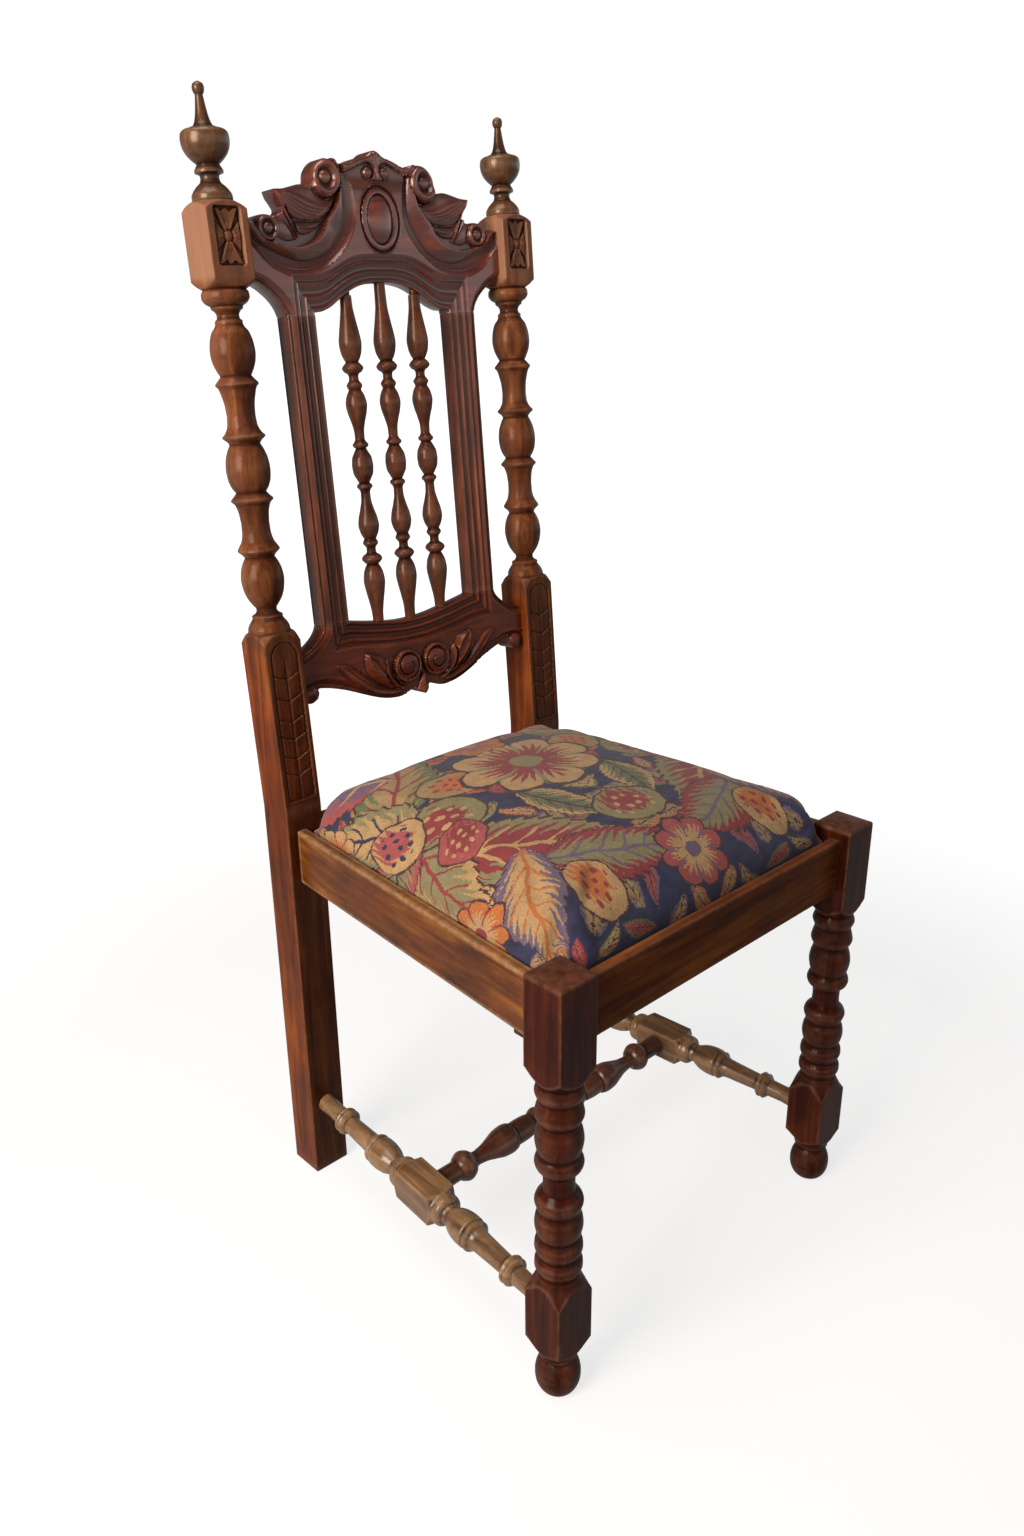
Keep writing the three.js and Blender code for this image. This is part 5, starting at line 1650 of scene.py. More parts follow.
    def carve_cabochon(self, face: Carving) -> None:
        """Carves the cabochon: a groove, a flat ring and a dome."""
        x, s = face.spots.T
        away = np.hypot(x / 26.4, (s - self.cabochon[1]) / 33.4)
        oval = away < 1
        depth = 3.6 * np.clip(1 - ((away - 0.945) / 0.055) ** 2, 0, 1)
        face.height[oval] = 0.3 + 0.6 * np.sin(np.clip((away[oval] - 0.66) / 0.24, 0, 1) * math.pi)
        face.height[oval] -= depth[oval]
        face.dome(self.cabochon, (16.6, 24.4), -2.6, 6.4)
        turn = np.linspace(0, math.pi, 24)
        rim = np.column_stack((26.9 * np.sin(turn), self.cabochon[1] + 33.9 * np.cos(turn)))
        face.cut(rim, 2.0, -0.7)

    def carve_top(self, face: Carving) -> None:
        """Carves the comma scroll along the top, curling round its ball, and the bud in the middle."""
        x, s = face.spots.T
        comma, top = curve_through(self.comma_line), curve_through(self.top_line)
        lip = inside_of(np.vstack((comma, top[top[:, 0] < 43][::-1], ((0, 634),))), face.spots)
        near, _ = distance_to(comma, face.spots[lip])
        face.height[lip] = 0.6 + 1.6 * (1 - np.exp(-near / 3.0))
        well = np.hypot(x - self.comma_eye[0], s - self.comma_eye[1]) < 7.6
        face.height[well & ~lip] = -2.2
        face.cut(self.comma_line, 2.4, -1.3, 0.5)
        face.dome(self.comma_eye, (5.4, 6.0), -1.8, 4.2)
        wide = np.interp(s, (636, 642, 652, 658, 662), (0.6, 1.6, 2.6, 3.0, 2.6))
        bud = (s > 636) & (x < wide)
        face.height[bud] = 1.0 + 2.0 * np.sqrt(1 - (x[bud] / wide[bud]) ** 2)

    def build(self) -> None:
        """Builds the crest rail."""
        show_piece("crest_rail", self.build_shape("crest_rail"), CREST_MAHOGANY)


@dataclass
class LowerRail(CarvedPanel):
    """The back's lower rail: a moulded top edge, and two volutes with acanthus below it."""

    joint_height: float = 188.0
    edge_line: Points = (
        (0, 174.5), (15, 175), (30, 176.5), (45, 178.8), (60, 181.3), (75, 184.2), (STILE_INNER, 187.4),
    )
    bracket_line: Points = (
        (STILE_OUTER, 188), (127.4, 184), (130.4, 179.6), (135, 174.9), (141, 170.4), (147, 166.6),
        (154, 163.3), (160, 161.3), (PANEL_END, 160),
    )
    foot_line: Points = (
        (PANEL_END, 111.5), (160, 109), (153.5, 108.6), (148, 110.8), (144.6, 115.6), (143.6, 120.4),
        (141.6, 122.6), (132.5, 121), (120, 117.4), (107.5, 113), (95, 108), (82, 102), (70, 97),
        (60, 93.5), (50, 91), (38, 89.4), (28, 90), (20, 92.4), (14, 94.8), (10.5, 95.4), (8.4, 92),
        (5, 88.4), (0, 86.2),
    )
    fillet_line: Points = (
        (168, 131.5), (157, 131), (147, 133.2), (132, 132.2), (120, 128.8), (107, 123.8), (95, 116.8),
        (82, 108.4), (68, 101), (52, 96.2), (40, 94.4),
    )
    outer_leaf: Points = (
        (118, 143), (109, 143), (100, 141), (92, 135), (85, 127.5), (77, 119.5), (67, 111.5), (56, 105),
        (44, 101), (34, 101), (36, 94), (52, 95.5), (68, 100.5), (82, 108), (95, 116.5), (105, 125), (112, 133.5),
    )
    inner_leaf: Points = (
        (78, 148), (69, 147), (60, 144), (53, 137.5), (49, 130), (45, 122), (40, 116), (34, 112), (31, 103),
        (46, 103), (57, 107), (67, 113.6), (75, 122), (79.5, 131), (80, 140),
    )
    ribs: tuple[Points, ...] = (
        ((117, 142), (107, 133), (96, 123), (83, 113.2), (68, 105), (50, 99), (36, 97)),
        ((112, 142.4), (101, 136.4), (91, 127.6), (79, 117.4), (66, 109), (50, 103), (36, 101)),
        ((76, 147), (74, 137), (68, 127), (59, 117.4), (46, 110), (34, 106)),
        ((74, 147), (64, 140.5), (57, 131.5), (50.5, 121.5), (42, 114.4), (34, 110.5)),
    )
    hugging_leaf: Points = (
        (50.5, 137), (55, 131), (56.6, 124), (54.5, 116), (50, 109), (42.3, 102.5), (35, 98.5), (28.5, 96.8),
        (26, 100.5), (33, 104.5), (39, 111), (43.5, 119), (46, 128),
    )
    hugging_rib: Points = ((50.4, 134), (51.4, 124), (47.5, 113.5), (39.5, 105), (29, 99))
    volute: tuple[float, float] = (21.6, 123.4)
    coil: tuple[Points, float, float] = ((15.4, 15.4, 14.6, 13.0, 11.0, 9.0, 7.2, 6.0), -120.0, -470.0)

    def edges(self) -> tuple[tuple[Points, float], ...]:
        """Gives the right half's edges, and their points' step."""
        inner, outer = (STILE_INNER, self.joint_height), (STILE_OUTER, self.joint_height)
        return (
            (self.edge_line, 0.9), ((self.edge_line[-1], inner), 0.5), ((inner, outer), 0.7),
            (self.bracket_line, 0.9), ((self.bracket_line[-1], self.foot_line[0]), 1.2), (self.foot_line, 0.8),
            ((self.foot_line[-1], self.edge_line[0]), 0.95),
        )

    def guides(self) -> list[np.ndarray]:
        """Gives the lines that the mesh's edges follow."""
        outer, inner, hugging = (
            (*loop, loop[0]) for loop in (self.outer_leaf, self.inner_leaf, self.hugging_leaf)
        )
        lines = [curve_through(line, 0.8) for line in (
            self.fillet_line, *self.ribs, outer, inner, self.hugging_rib, hugging,
        )]
        coil = np.array(spiral(self.volute, *self.coil))
        return [*lines, coil, *(circle(self.volute, (reach, reach), 180) for reach in (5.2, 19.0))]

    def joint(self, flat: np.ndarray) -> np.ndarray:
        """Says which spots lie on the joint with the stile."""
        return flat[:, 1] > self.joint_height - 0.02

    def relief(self, spots: np.ndarray) -> np.ndarray:
        """Gives the height of the lower rail's carving."""
        face = Carving(spots)
        x, s = spots.T
        # Fluted band along the foot, ending in a small scroll at the post
        foot = curve_through(self.foot_line[5:])
        fillet = curve_through(self.fillet_line)
        band = inside_of(np.vstack((fillet, foot[::-1], ((168, 100),))), spots)
        below, above = (distance_to(line, spots[band])[0] for line in (foot, fillet))
        share = above / np.maximum(above + below, 1e-6)
        hollow = 3.4 * np.sin(np.clip(share * 1.6, 0, 1) * math.pi / 2)
        face.height[band] = 1.6 * eased((share - 0.62) / 0.3) - hollow
        face.cut(self.fillet_line, 2.4, -1.2)
        face.dome((154.5, 118.6), (9.6, 10.6), -2.6, 5.4)
        # Acanthus, in two lobes that sweep out from the volute
        for loop, level, rise in ((self.outer_leaf, 0.6, 3.6), (self.inner_leaf, 1.6, 4.6)):
            leaf = face.lay(loop, level, rise, 3.4)
            face.vein(leaf, self.ribs, (1.8, 1.3), (1.6, 3.2))
            face.height[leaf] *= 0.72 + 0.28 * eased((105 - x[leaf]) / 40)
        face.lay(self.hugging_leaf, 1.0, 3.4, 3.0)
        face.cut(self.hugging_rib, 4.4, -2.2, 0.4)
        # Volute: a low round boss with a rolled rim, and a groove that coils into its eye
        face.dome(self.volute, (19.0, 19.0), 2.0, 5.0)
        face.ring(self.volute, 15.2, 19.0, 3.2, 2.4)
        face.cut(spiral(self.volute, *self.coil), 3.2, 2.8, 0.35)
        # Drop between the volutes
        wide = np.interp(s, (85, 92, 100, 112), (7.5, 8.6, 4.6, 0.5))
        drop = (x < wide) & (s < 112)
        face.height[drop] = 1.2 + 4.2 * (1 - x[drop] / wide[drop]) ** 0.8
        # Moulded top edge, and the coved brackets beyond the stiles
        edge_x, edge_s = curve_through(self.edge_line, 1.0).T
        down = (np.interp(x, edge_x, edge_s) - s) / (1.0 + 0.08 * eased(x / 93))
        opening = np.maximum(down, x - STILE_INNER)
        moulded = opening < MOULDING_WIDTH
        face.height[moulded] = moulding_height(opening[moulded])
        outer_edge = np.vstack((((STILE_OUTER, 194),), curve_through(self.bracket_line)))
        face.cove(outer_edge, (s > 145) & (x > 100))
        return face.height

    def build(self) -> None:
        """Builds the lower rail."""
        show_piece("lower_back_rail", self.build_shape("lower_back_rail"), LOWER_RAIL_MAHOGANY)


# ---------------------------------------------------------------- bars: stiles and seat rails


@dataclass
class Bar:
    """A long piece with the same section all along."""

    section: np.ndarray
    step: float = 7.0

    def divided(self) -> np.ndarray:
        """Gives the section with its long sides divided, so that the edge and hollow marks can fade over them."""
        drawn = []
        for start, end in zip(self.section, np.roll(self.section, -1, axis=0)):
            length = np.linalg.norm(end - start)
            count = max(1, int(round(length / 4.0)))
            drawn.append(start + np.arange(count)[:, None] / count * (end - start))
        return np.vstack(drawn)

    def shell(self, first: float, last: float, place: Placer) -> Shell:
        """Gives the bar's points and faces.

        Args:
            first: where it starts.
            last: where it ends.
            place: puts a section's points at a station in the chair's frame.

        Returns:
            The points and the faces.
        """
        across, up = self.divided().T
        rings = [place(across, up, station) for station in stations_between(first, last, self.step)]
        return np.vstack(rings), capped_tube(len(rings), len(across))


# What make_mesh is told about a bar
BAR_LOOKS = {"sharp": 40, "wear": (4, 0.35)}


def eased_corners(corners: Points, radius: float | Sequence[float], steps: int = 3) -> np.ndarray:
    """Rounds the corners of a section.

    Args:
        corners: the section's corners, in order.
        radius: how far from each corner its rounding starts.
        steps: how many points each rounding has, less one.

    Returns:
        The section with its rounded corners.
    """
    shape = np.array(corners, float)
    radii = np.broadcast_to(radius, len(shape))
    drawn = []
    for before, corner, after, r in zip(np.roll(shape, 1, 0), shape, np.roll(shape, -1, 0), radii):
        start = corner + (before - corner) * r / np.linalg.norm(before - corner)
        end = corner + (after - corner) * r / np.linalg.norm(after - corner)
        for t in np.linspace(0, 1, steps + 1):
            drawn.append((1 - t) ** 2 * start + 2 * t * (1 - t) * corner + t * t * end)
    return np.array(drawn)


@dataclass
class Stiles:
    """The two moulded uprights between the back's rails."""

    bottom: float = 180.5
    top: float = 484.5

    def section(self) -> np.ndarray:
        """Gives the right stile's section: places across, and places in the back's depth."""
        across = np.concatenate((np.arange(0, 27.5, 0.6), np.linspace(27.6, STILE_OUTER - STILE_INNER, 14)))
        height = moulding_height(across)
        away = STILE_OUTER - STILE_INNER - across
        height = np.where(away < COVE_WIDTH, np.minimum(height, bracket_height(away)), height)
        x = (STILE_INNER + across) * READ_SCALE
        v = -11.5 - height * READ_SCALE
        back = eased_corners(((x[-1], 11.5), (x[0], 11.5), (x[0], 0)), (1.2, 1.2, 0.01))[:8]
        return np.vstack((np.column_stack((x, v)), back))

    def build(self) -> None:
        """Builds both stiles."""
        bar = Bar(self.section())
        show_pair("back_stile", DARK_MAHOGANY, lambda side: bar.shell(
            self.bottom + 0.1, self.top - 0.1, lambda x, v, s: BACK.place(side * x, v, s)
        ), **BAR_LOOKS)


@dataclass
class SeatRails:
    """The four seat rails, rebated for the drop-in seat: an outer lip with a ledge inside it."""

    bottom: float = 379.0
    ledge: float = 416.5
    top: float = 439.5
    lip: float = 11.5
    thickness: float = 25.0
    front_face: float = -248.1
    front_reach: float = 189.4
    back_face: float = 193.4
    back_reach: float = 160.0
    back_lip: float = 16.5
    back_thickness: float = 28.0
    side_start: tuple[float, float] = (221.5, -215.3)
    side_end: tuple[float, float] = (191.8, 164.8)

    def section(self, lip: float, thickness: float) -> np.ndarray:
        """Gives a rail's section: places inwards from its outer face, and heights."""
        corners = (
            (0, self.bottom), (0, self.top), (lip, self.top), (lip, self.ledge), (thickness, self.ledge),
            (thickness, self.bottom),
        )
        return eased_corners(corners, (1.6, 1.9, 1.4, 0.5, 0.8, 1.2))

    def build(self) -> None:
        """Builds the four rails."""
        sides = Bar(self.section(self.lip, self.thickness))
        (start_x, start_y), (end_x, end_y) = self.side_start, self.side_end
        narrowing = (start_x - end_x) / (end_y - start_y)
        stretch = math.hypot(1, narrowing)
        for name, bar, reach, face, way in (
            ("front_seat_rail", sides, self.front_reach, self.front_face, 1),
            ("back_seat_rail", Bar(self.section(self.back_lip, self.back_thickness)),
             self.back_reach, self.back_face, -1),
        ):
            shell = bar.shell(
                -reach, reach, lambda w, z, x: np.stack((np.full_like(w, x), face + way * w, z), -1)
            )
            show_piece(name, make_mesh(name, *shell, **BAR_LOOKS), FRONT_RAIL_MAHOGANY)

        def inner(side: int, w: np.ndarray, y: float) -> np.ndarray:
            """Gives how far to the side a place inwards of a side rail's face lies."""
            return side * (start_x - (y - start_y) * narrowing - w * stretch)

        show_pair("side_seat_rail", SIDE_RAIL_MAHOGANY, lambda side: sides.shell(
            start_y - 0.8, end_y + 0.8, lambda w, z, y: np.stack((inner(side, w, y), np.full_like(w, y), z), -1)
        ), **BAR_LOOKS)


# ---------------------------------------------------------------- tapestry


class Yarn:
    """The dyed wools of the tapestry."""

    NAVY = "#2d2f50"
    OLIVE = "#928861"
    MOSS = "#6d7352"
    TAN = "#c59e6d"
    SAND = "#a98c62"
    CRIMSON = "#963a40"
    ROSE = "#ad5455"
    ORANGE = "#c4723d"
    MAUVE = "#74627a"
    UMBER = "#4c3030"


@dataclass(frozen=True)
class Motif:
    """One leaf, fruit or flower of the tapestry: where it lies, which way it points, and its yarns.

    Sizes are in millimetres on the cloth, u across from the middle and v towards the back.
    """

    kind: str
    at: tuple[float, float]
    turn: float
    size: tuple[float, float]
    yarns: tuple[str, str, str]


@dataclass(frozen=True)
class Tapestry(Finish):
    """Machine-woven wool tapestry: ribbed across, with the colours hatched into each other.

    Each rib is one weft, so an edge steps from rib to rib, and the wool is dull with a soft sheen.
    """

    # Ribs are under a millimetre apart in the real cloth: drawn coarser here so that they show
    rib: float = 1.5
    leaf_spacing: float = 44.0
    # How deep into a motif its dark outline reaches, where its middle is 1
    outline: float = 0.07
    motifs: tuple[Motif, ...] = (
        Motif("stem", (120, -60), 205, (150, 14), (Yarn.MAUVE, Yarn.SAND, Yarn.UMBER)),
        Motif("stem", (104, 66), 118, (120, 10), (Yarn.SAND, Yarn.CRIMSON, Yarn.UMBER)),
        Motif("leaf", (112, -118), 222, (100, 46), (Yarn.OLIVE, Yarn.CRIMSON, Yarn.TAN)),
        Motif("leaf", (70, -172), 200, (76, 34), (Yarn.CRIMSON, Yarn.OLIVE, Yarn.MAUVE)),
        Motif("leaf", (172, -172), 300, (71, 33), (Yarn.MAUVE, Yarn.TAN, Yarn.ORANGE)),
        Motif("leaf", (190, -70), 285, (81, 37), (Yarn.TAN, Yarn.OLIVE, Yarn.CRIMSON)),
        Motif("leaf", (116, 96), 132, (98, 44), (Yarn.MOSS, Yarn.SAND, Yarn.CRIMSON)),
        Motif("leaf", (186, 60), 68, (88, 37), (Yarn.OLIVE, Yarn.TAN, Yarn.NAVY)),
        Motif("leaf", (56, 158), 168, (81, 33), (Yarn.CRIMSON, Yarn.ORANGE, Yarn.TAN)),
        Motif("leaf", (168, 158), 40, (78, 35), (Yarn.ROSE, Yarn.MAUVE, Yarn.TAN)),
        Motif("leaf", (46, -86), 250, (56, 24), (Yarn.TAN, Yarn.MOSS, Yarn.UMBER)),
        Motif("leaf", (214, -4), 350, (61, 30), (Yarn.ROSE, Yarn.OLIVE, Yarn.NAVY)),
        Motif("fruit", (134, -12), 20, (40, 35), (Yarn.OLIVE, Yarn.CRIMSON, Yarn.TAN)),
        Motif("fruit", (176, 16), 80, (34, 29), (Yarn.TAN, Yarn.ROSE, Yarn.NAVY)),
        Motif("fruit", (92, 34), 200, (34, 28), (Yarn.SAND, Yarn.ORANGE, Yarn.CRIMSON)),
        Motif("fruit", (150, -52), 130, (29, 25), (Yarn.ROSE, Yarn.CRIMSON, Yarn.TAN)),
        Motif("fruit", (0, -128), 90, (35, 40), (Yarn.OLIVE, Yarn.CRIMSON, Yarn.TAN)),
        Motif("fruit", (122, -196), 90, (32, 27), (Yarn.TAN, Yarn.ORANGE, Yarn.CRIMSON)),
        Motif("fruit", (0, 178), 90, (35, 32), (Yarn.OLIVE, Yarn.ROSE, Yarn.TAN)),
        Motif("fruit", (106, 184), 30, (31, 27), (Yarn.TAN, Yarn.CRIMSON, Yarn.ORANGE)),
        Motif("flower", (0, 16), 0, (86, 77), (Yarn.TAN, Yarn.CRIMSON, Yarn.OLIVE)),
        Motif("flower", (0, 104), 36, (44, 39), (Yarn.ORANGE, Yarn.ROSE, Yarn.SAND)),
        Motif("flower", (222, -132), 18, (39, 39), (Yarn.ORANGE, Yarn.TAN, Yarn.CRIMSON)),
        Motif("flower", (0, -206), 0, (42, 35), (Yarn.ROSE, Yarn.TAN, Yarn.MAUVE)),
        Motif("flower", (216, 104), 0, (37, 37), (Yarn.TAN, Yarn.ORANGE, Yarn.CRIMSON)),
    )

    def motif_group(self, kind: str) -> Tree:
        """Makes the node group that draws one kind of motif, or gives it where it is made already.

        Args:
            kind: leaf, fruit, flower or stem.

        Returns:
            The group: it takes the cloth's colour so far, and lays the motif over it.
        """
        group = bpy.data.node_groups.get(f"woven_{kind}")
        if group:
            return group
        vectors, colours = ("Place", "At", "Turn", "Size"), ("Outer", "Inner", "Third")
        sockets = {"Ground": "Color"} | dict.fromkeys(vectors, "Vector") | dict.fromkeys(colours, "Color")
        group = new_group(f"woven_{kind}", "ShaderNodeTree", sockets, ("Cloth", "Color"))
        add = partial(add_node, group)
        given = add("NodeGroupInput", out=None)
        local = add("Mapping", *(given[name] for name in vectors), vector_type="TEXTURE")
        x, y, _ = add("SeparateXYZ", local, out=None)
        depth, hatch, third = getattr(self, f"{kind}_depth")(group, x, y)
        # Depth is 0 at the motif's edge and 1 in its middle: an outline, two yarns and their hatching
        hatched = add("Math", depth, hatch, operation="ADD")
        cloth = given["Ground"]
        for edge, yarn, by in (
            (0.0, Yarn.UMBER, depth), (self.outline, given["Outer"], depth), (0.42, given["Inner"], hatched),
        ):
            over = add("Math", by, edge, operation="GREATER_THAN")
            cloth = add("Mix", {0: over, 6: cloth, 7: yarn}, data_type="RGBA", out=2)
        within = add("Math", depth, self.outline, operation="GREATER_THAN")
        mark = add("Math", third, within, operation="MULTIPLY")
        cloth = add("Mix", {0: mark, 6: cloth, 7: given["Third"]}, data_type="RGBA", out=2)
        add("NodeGroupOutput", cloth, out=None)
        return group

    def saw(self, tree: Tree, along: Socket, teeth: float, size: float) -> Socket:
        """Gives a saw-tooth wave along a direction, as hatching makes between two yarns."""
        add = partial(add_node, tree)
        tooth = add("Math", add("Math", along, teeth, operation="MULTIPLY"), operation="FRACT")
        return add("Math", add("Math", tooth, 0.5, operation="SUBTRACT"), size, operation="MULTIPLY")

    def leaf_depth(self, tree: Tree, x: Socket, y: Socket) -> tuple[Socket, Socket, Socket]:
        """Works out a bent leaf with a rib and side veins: its depth, its hatching and its veins."""
        add = partial(add_node, tree)
        square = add("Math", x, x, operation="MULTIPLY")
        bent = add("Math", square, 0.32, y, operation="MULTIPLY_ADD")
        away = add("Math", add("Math", bent, 0.12, operation="SUBTRACT"), operation="ABSOLUTE")
        full = add("Math", 1.0, square, operation="SUBTRACT")
        lean = add("Math", x, -0.42, 1.0, operation="MULTIPLY_ADD")
        width = add("Math", add("Math", full, lean, operation="MULTIPLY"), 0.001, operation="MAXIMUM")
        notched = add("Math", width, self.saw(tree, x, 7.0, 0.13), operation="ADD")
        notched = add("Math", notched, 0.01, operation="MAXIMUM")
        depth = add("Math", 1.0, add("Math", away, notched, operation="DIVIDE"), operation="SUBTRACT")
        within = add("Math", full, 0.01, operation="GREATER_THAN")
        depth = add("Math", depth, within, operation="MULTIPLY")
        rib = add("Math", away, 0.055, operation="LESS_THAN")
        slant = add("Math", x, add("Math", away, 0.5, operation="MULTIPLY"), operation="SUBTRACT")
        vein = add("Math", add("Math", slant, 3.2, operation="MULTIPLY"), operation="FRACT")
        vein = add("Math", vein, 0.13, operation="LESS_THAN")
        short = add("Math", away, add("Math", width, 0.62, operation="MULTIPLY"), operation="LESS_THAN")
        veins = add("Math", rib, add("Math", vein, short, operation="MULTIPLY"), operation="MAXIMUM")
        return depth, self.saw(tree, slant, 6.0, 0.5), veins

    def fruit_depth(self, tree: Tree, x: Socket, y: Socket) -> tuple[Socket, Socket, Socket]:
        """Works out a round fruit with seeds: its depth, its hatching and its seeds."""
        add = partial(add_node, tree)
        reach = add("VectorMath", add("CombineXYZ", x, y), operation="LENGTH", out="Value")
        depth = add("Math", 1.0, reach, operation="SUBTRACT")
        rows = add("Math", add("Math", y, 13.0, operation="MULTIPLY"), operation="SINE")
        columns = add("Math", add("Math", x, 11.0, operation="MULTIPLY"), operation="SINE")
        seeds = add("Math", add("Math", rows, columns, operation="MULTIPLY"), 0.45, operation="GREATER_THAN")
        within = add("Math", reach, 0.66, operation="LESS_THAN")
        seeds = add("Math", seeds, within, operation="MULTIPLY")
        hatch = add("Math", x, 0.3, self.saw(tree, y, 4.0, 0.3), operation="MULTIPLY_ADD")
        return depth, hatch, seeds

    def flower_depth(self, tree: Tree, x: Socket, y: Socket) -> tuple[Socket, Socket, Socket]:
        """Works out an open flower of eight petals: its depth, its hatching and its heart."""
        add = partial(add_node, tree)
        reach = add("VectorMath", add("CombineXYZ", x, y), operation="LENGTH", out="Value")
        angle = add("Math", y, x, operation="ARCTAN2")
        petal = add("Math", add("Math", angle, 4.0, operation="MULTIPLY"), operation="COSINE")
        petal = add("Math", petal, operation="ABSOLUTE")
        edge = add("Math", add("Math", petal, 0.55, operation="POWER"), 0.3, 0.7, operation="MULTIPLY_ADD")
        depth = add("Math", 1.0, add("Math", reach, edge, operation="DIVIDE"), operation="SUBTRACT")
        folds = add("Math", petal, 0.2, operation="LESS_THAN")
        folds = add("Math", folds, add("Math", reach, 0.3, operation="GREATER_THAN"), operation="MULTIPLY")
        heart = add("Math", reach, 0.2, operation="LESS_THAN")
        return depth, self.saw(tree, angle, 5.1, 0.34), add("Math", folds, heart, operation="MAXIMUM")

    def stem_depth(self, tree: Tree, x: Socket, y: Socket) -> tuple[Socket, Socket, Socket]:
        """Works out a bowed stem with a lighter edge: its depth, its hatching and its bands."""
        add = partial(add_node, tree)
        square = add("Math", x, x, operation="MULTIPLY")
        bowed = add("Math", square, 4.2, y, operation="MULTIPLY_ADD")
        away = add("Math", add("Math", bowed, 1.6, operation="SUBTRACT"), operation="ABSOLUTE")
        within = add("Math", square, 1.0, operation="LESS_THAN")
        depth = add("Math", 1.0, away, operation="SUBTRACT")
        depth = add("Math", depth, within, operation="MULTIPLY")
        bands = add("Math", add("Math", x, 9.0, operation="MULTIPLY"), operation="FRACT")
        bands = add("Math", bands, 0.16, operation="LESS_THAN")
        return depth, self.saw(tree, x, 14.0, 0.7), add("Math", bands, within, operation="MULTIPLY")

    def scatter(self, tree: Tree, place: Socket, ground: Socket) -> Socket:
        """Fills the ground between the motifs with small leaves in mixed yarns."""
        add = partial(add_node, tree)
        cells = add("TexVoronoi", {
            "Vector": place, "Scale": 1 / self.leaf_spacing, "Randomness": 0.6,
        }, voronoi_dimensions="2D", out=None)
        offset = add("VectorMath", place, cells["Position"], operation="SUBTRACT")
        pick = add("SeparateXYZ", cells["Color"], out=None)
        # Turned by up to a full turn
        spin = add("CombineXYZ", {2: add("Math", pick[0], 6.28, operation="MULTIPLY")})
        outer = add("ValToRGB", pick[1], stops=(
            (0.0, Yarn.OLIVE), (0.22, Yarn.MAUVE), (0.42, Yarn.ORANGE), (0.6, Yarn.MOSS), (0.8, Yarn.CRIMSON),
        ))
        inner = add("ValToRGB", pick[2], stops=((0.0, Yarn.TAN), (0.35, Yarn.SAND), (0.65, Yarn.ROSE)))
        for yarns in (outer, inner):
            yarns.node.color_ramp.interpolation = "CONSTANT"
        return add("Group", {
            "Ground": ground, "Place": offset, "Turn": spin, "Size": (25, 10, 1), "Outer": outer,
            "Inner": inner, "Third": Yarn.UMBER,
        }, node_tree=self.motif_group("leaf"))

    def surface(self, tree: Tree) -> Socket:
        """Builds the nodes, and returns the shader."""
        add = partial(add_node, tree)
        cloth = add("UVMap", uv_map="cloth")
        flat = add("VectorMath", cloth, {3: 1 / MM}, operation="SCALE")
        across, along, _ = add("SeparateXYZ", flat, out=None)
        # The pattern mirrors about the middle, and steps from weft to weft
        wander = add("TexNoise", {"Vector": flat, "Scale": 0.035, "Detail": 1.0}, out=1)
        wander = add("VectorMath", wander, (0.5, 0.5, 0.5), operation="SUBTRACT")
        wander = add("VectorMath", wander, {3: 13.0}, operation="SCALE")
        mirrored = add("CombineXYZ", add("Math", across, operation="ABSOLUTE"), along)
        drawn = add("VectorMath", mirrored, wander, operation="ADD")
        stepped = add("VectorMath", drawn, (self.rib * 0.8, self.rib, 1), operation="SNAP")
        blotch = add("TexNoise", {"Vector": stepped, "Scale": 0.06, "Detail": 3.0})
        ground = add("ValToRGB", blotch, stops=((0.35, "#262848"), (0.62, "#34375a")))
        colour = self.scatter(tree, stepped, ground)
        for motif in self.motifs:
            colour = add("Group", {
                "Ground": colour, "Place": stepped, "At": (*motif.at, 0),
                "Turn": (0, 0, math.radians(motif.turn)), "Size": (*motif.size, 1),
                **dict(zip(("Outer", "Inner", "Third"), motif.yarns)),
            }, node_tree=self.motif_group(motif.kind))
        # Each weft took the dye a little differently, and broad blotches are dimmer
        thread = add("TexWhiteNoise", {"Vector": stepped}, noise_dimensions="3D")
        shade = add("MapRange", thread, 0.0, 1.0, 0.84, 1.12)
        shade = add("Math", shade, add("MapRange", blotch, 0.3, 0.7, 0.7, 0.9), operation="MULTIPLY")
        colour = add("VectorMath", colour, {3: shade}, operation="SCALE")
        # Ribs along the wefts, and the warps under them
        turn = math.pi / self.rib
        height = 0.0
        for part, turns, share in ((along, turn, 1.0), (across, turn / 1.6, 0.35)):
            wave = add("Math", add("Math", part, turns, operation="MULTIPLY"), operation="SINE")
            wave = add("Math", wave, operation="ABSOLUTE")
            height = add("Math", wave, share, height, operation="MULTIPLY_ADD")
        height = add("Math", thread, 0.3, height, operation="MULTIPLY_ADD")
        normal = add("Bump", {"Strength": 0.55, "Distance": 0.35 * MM, "Height": height})
        return add("BsdfPrincipled", {
            "Base Color": colour, "Roughness": 0.86, "IOR": 1.5, "Sheen Weight": 0.16,
            "Sheen Roughness": 0.45, "Normal": normal,
        })


TAPESTRY = Tapestry("woven_wool_tapestry", "seat_tapestry")


# ---------------------------------------------------------------- the drop-in seat


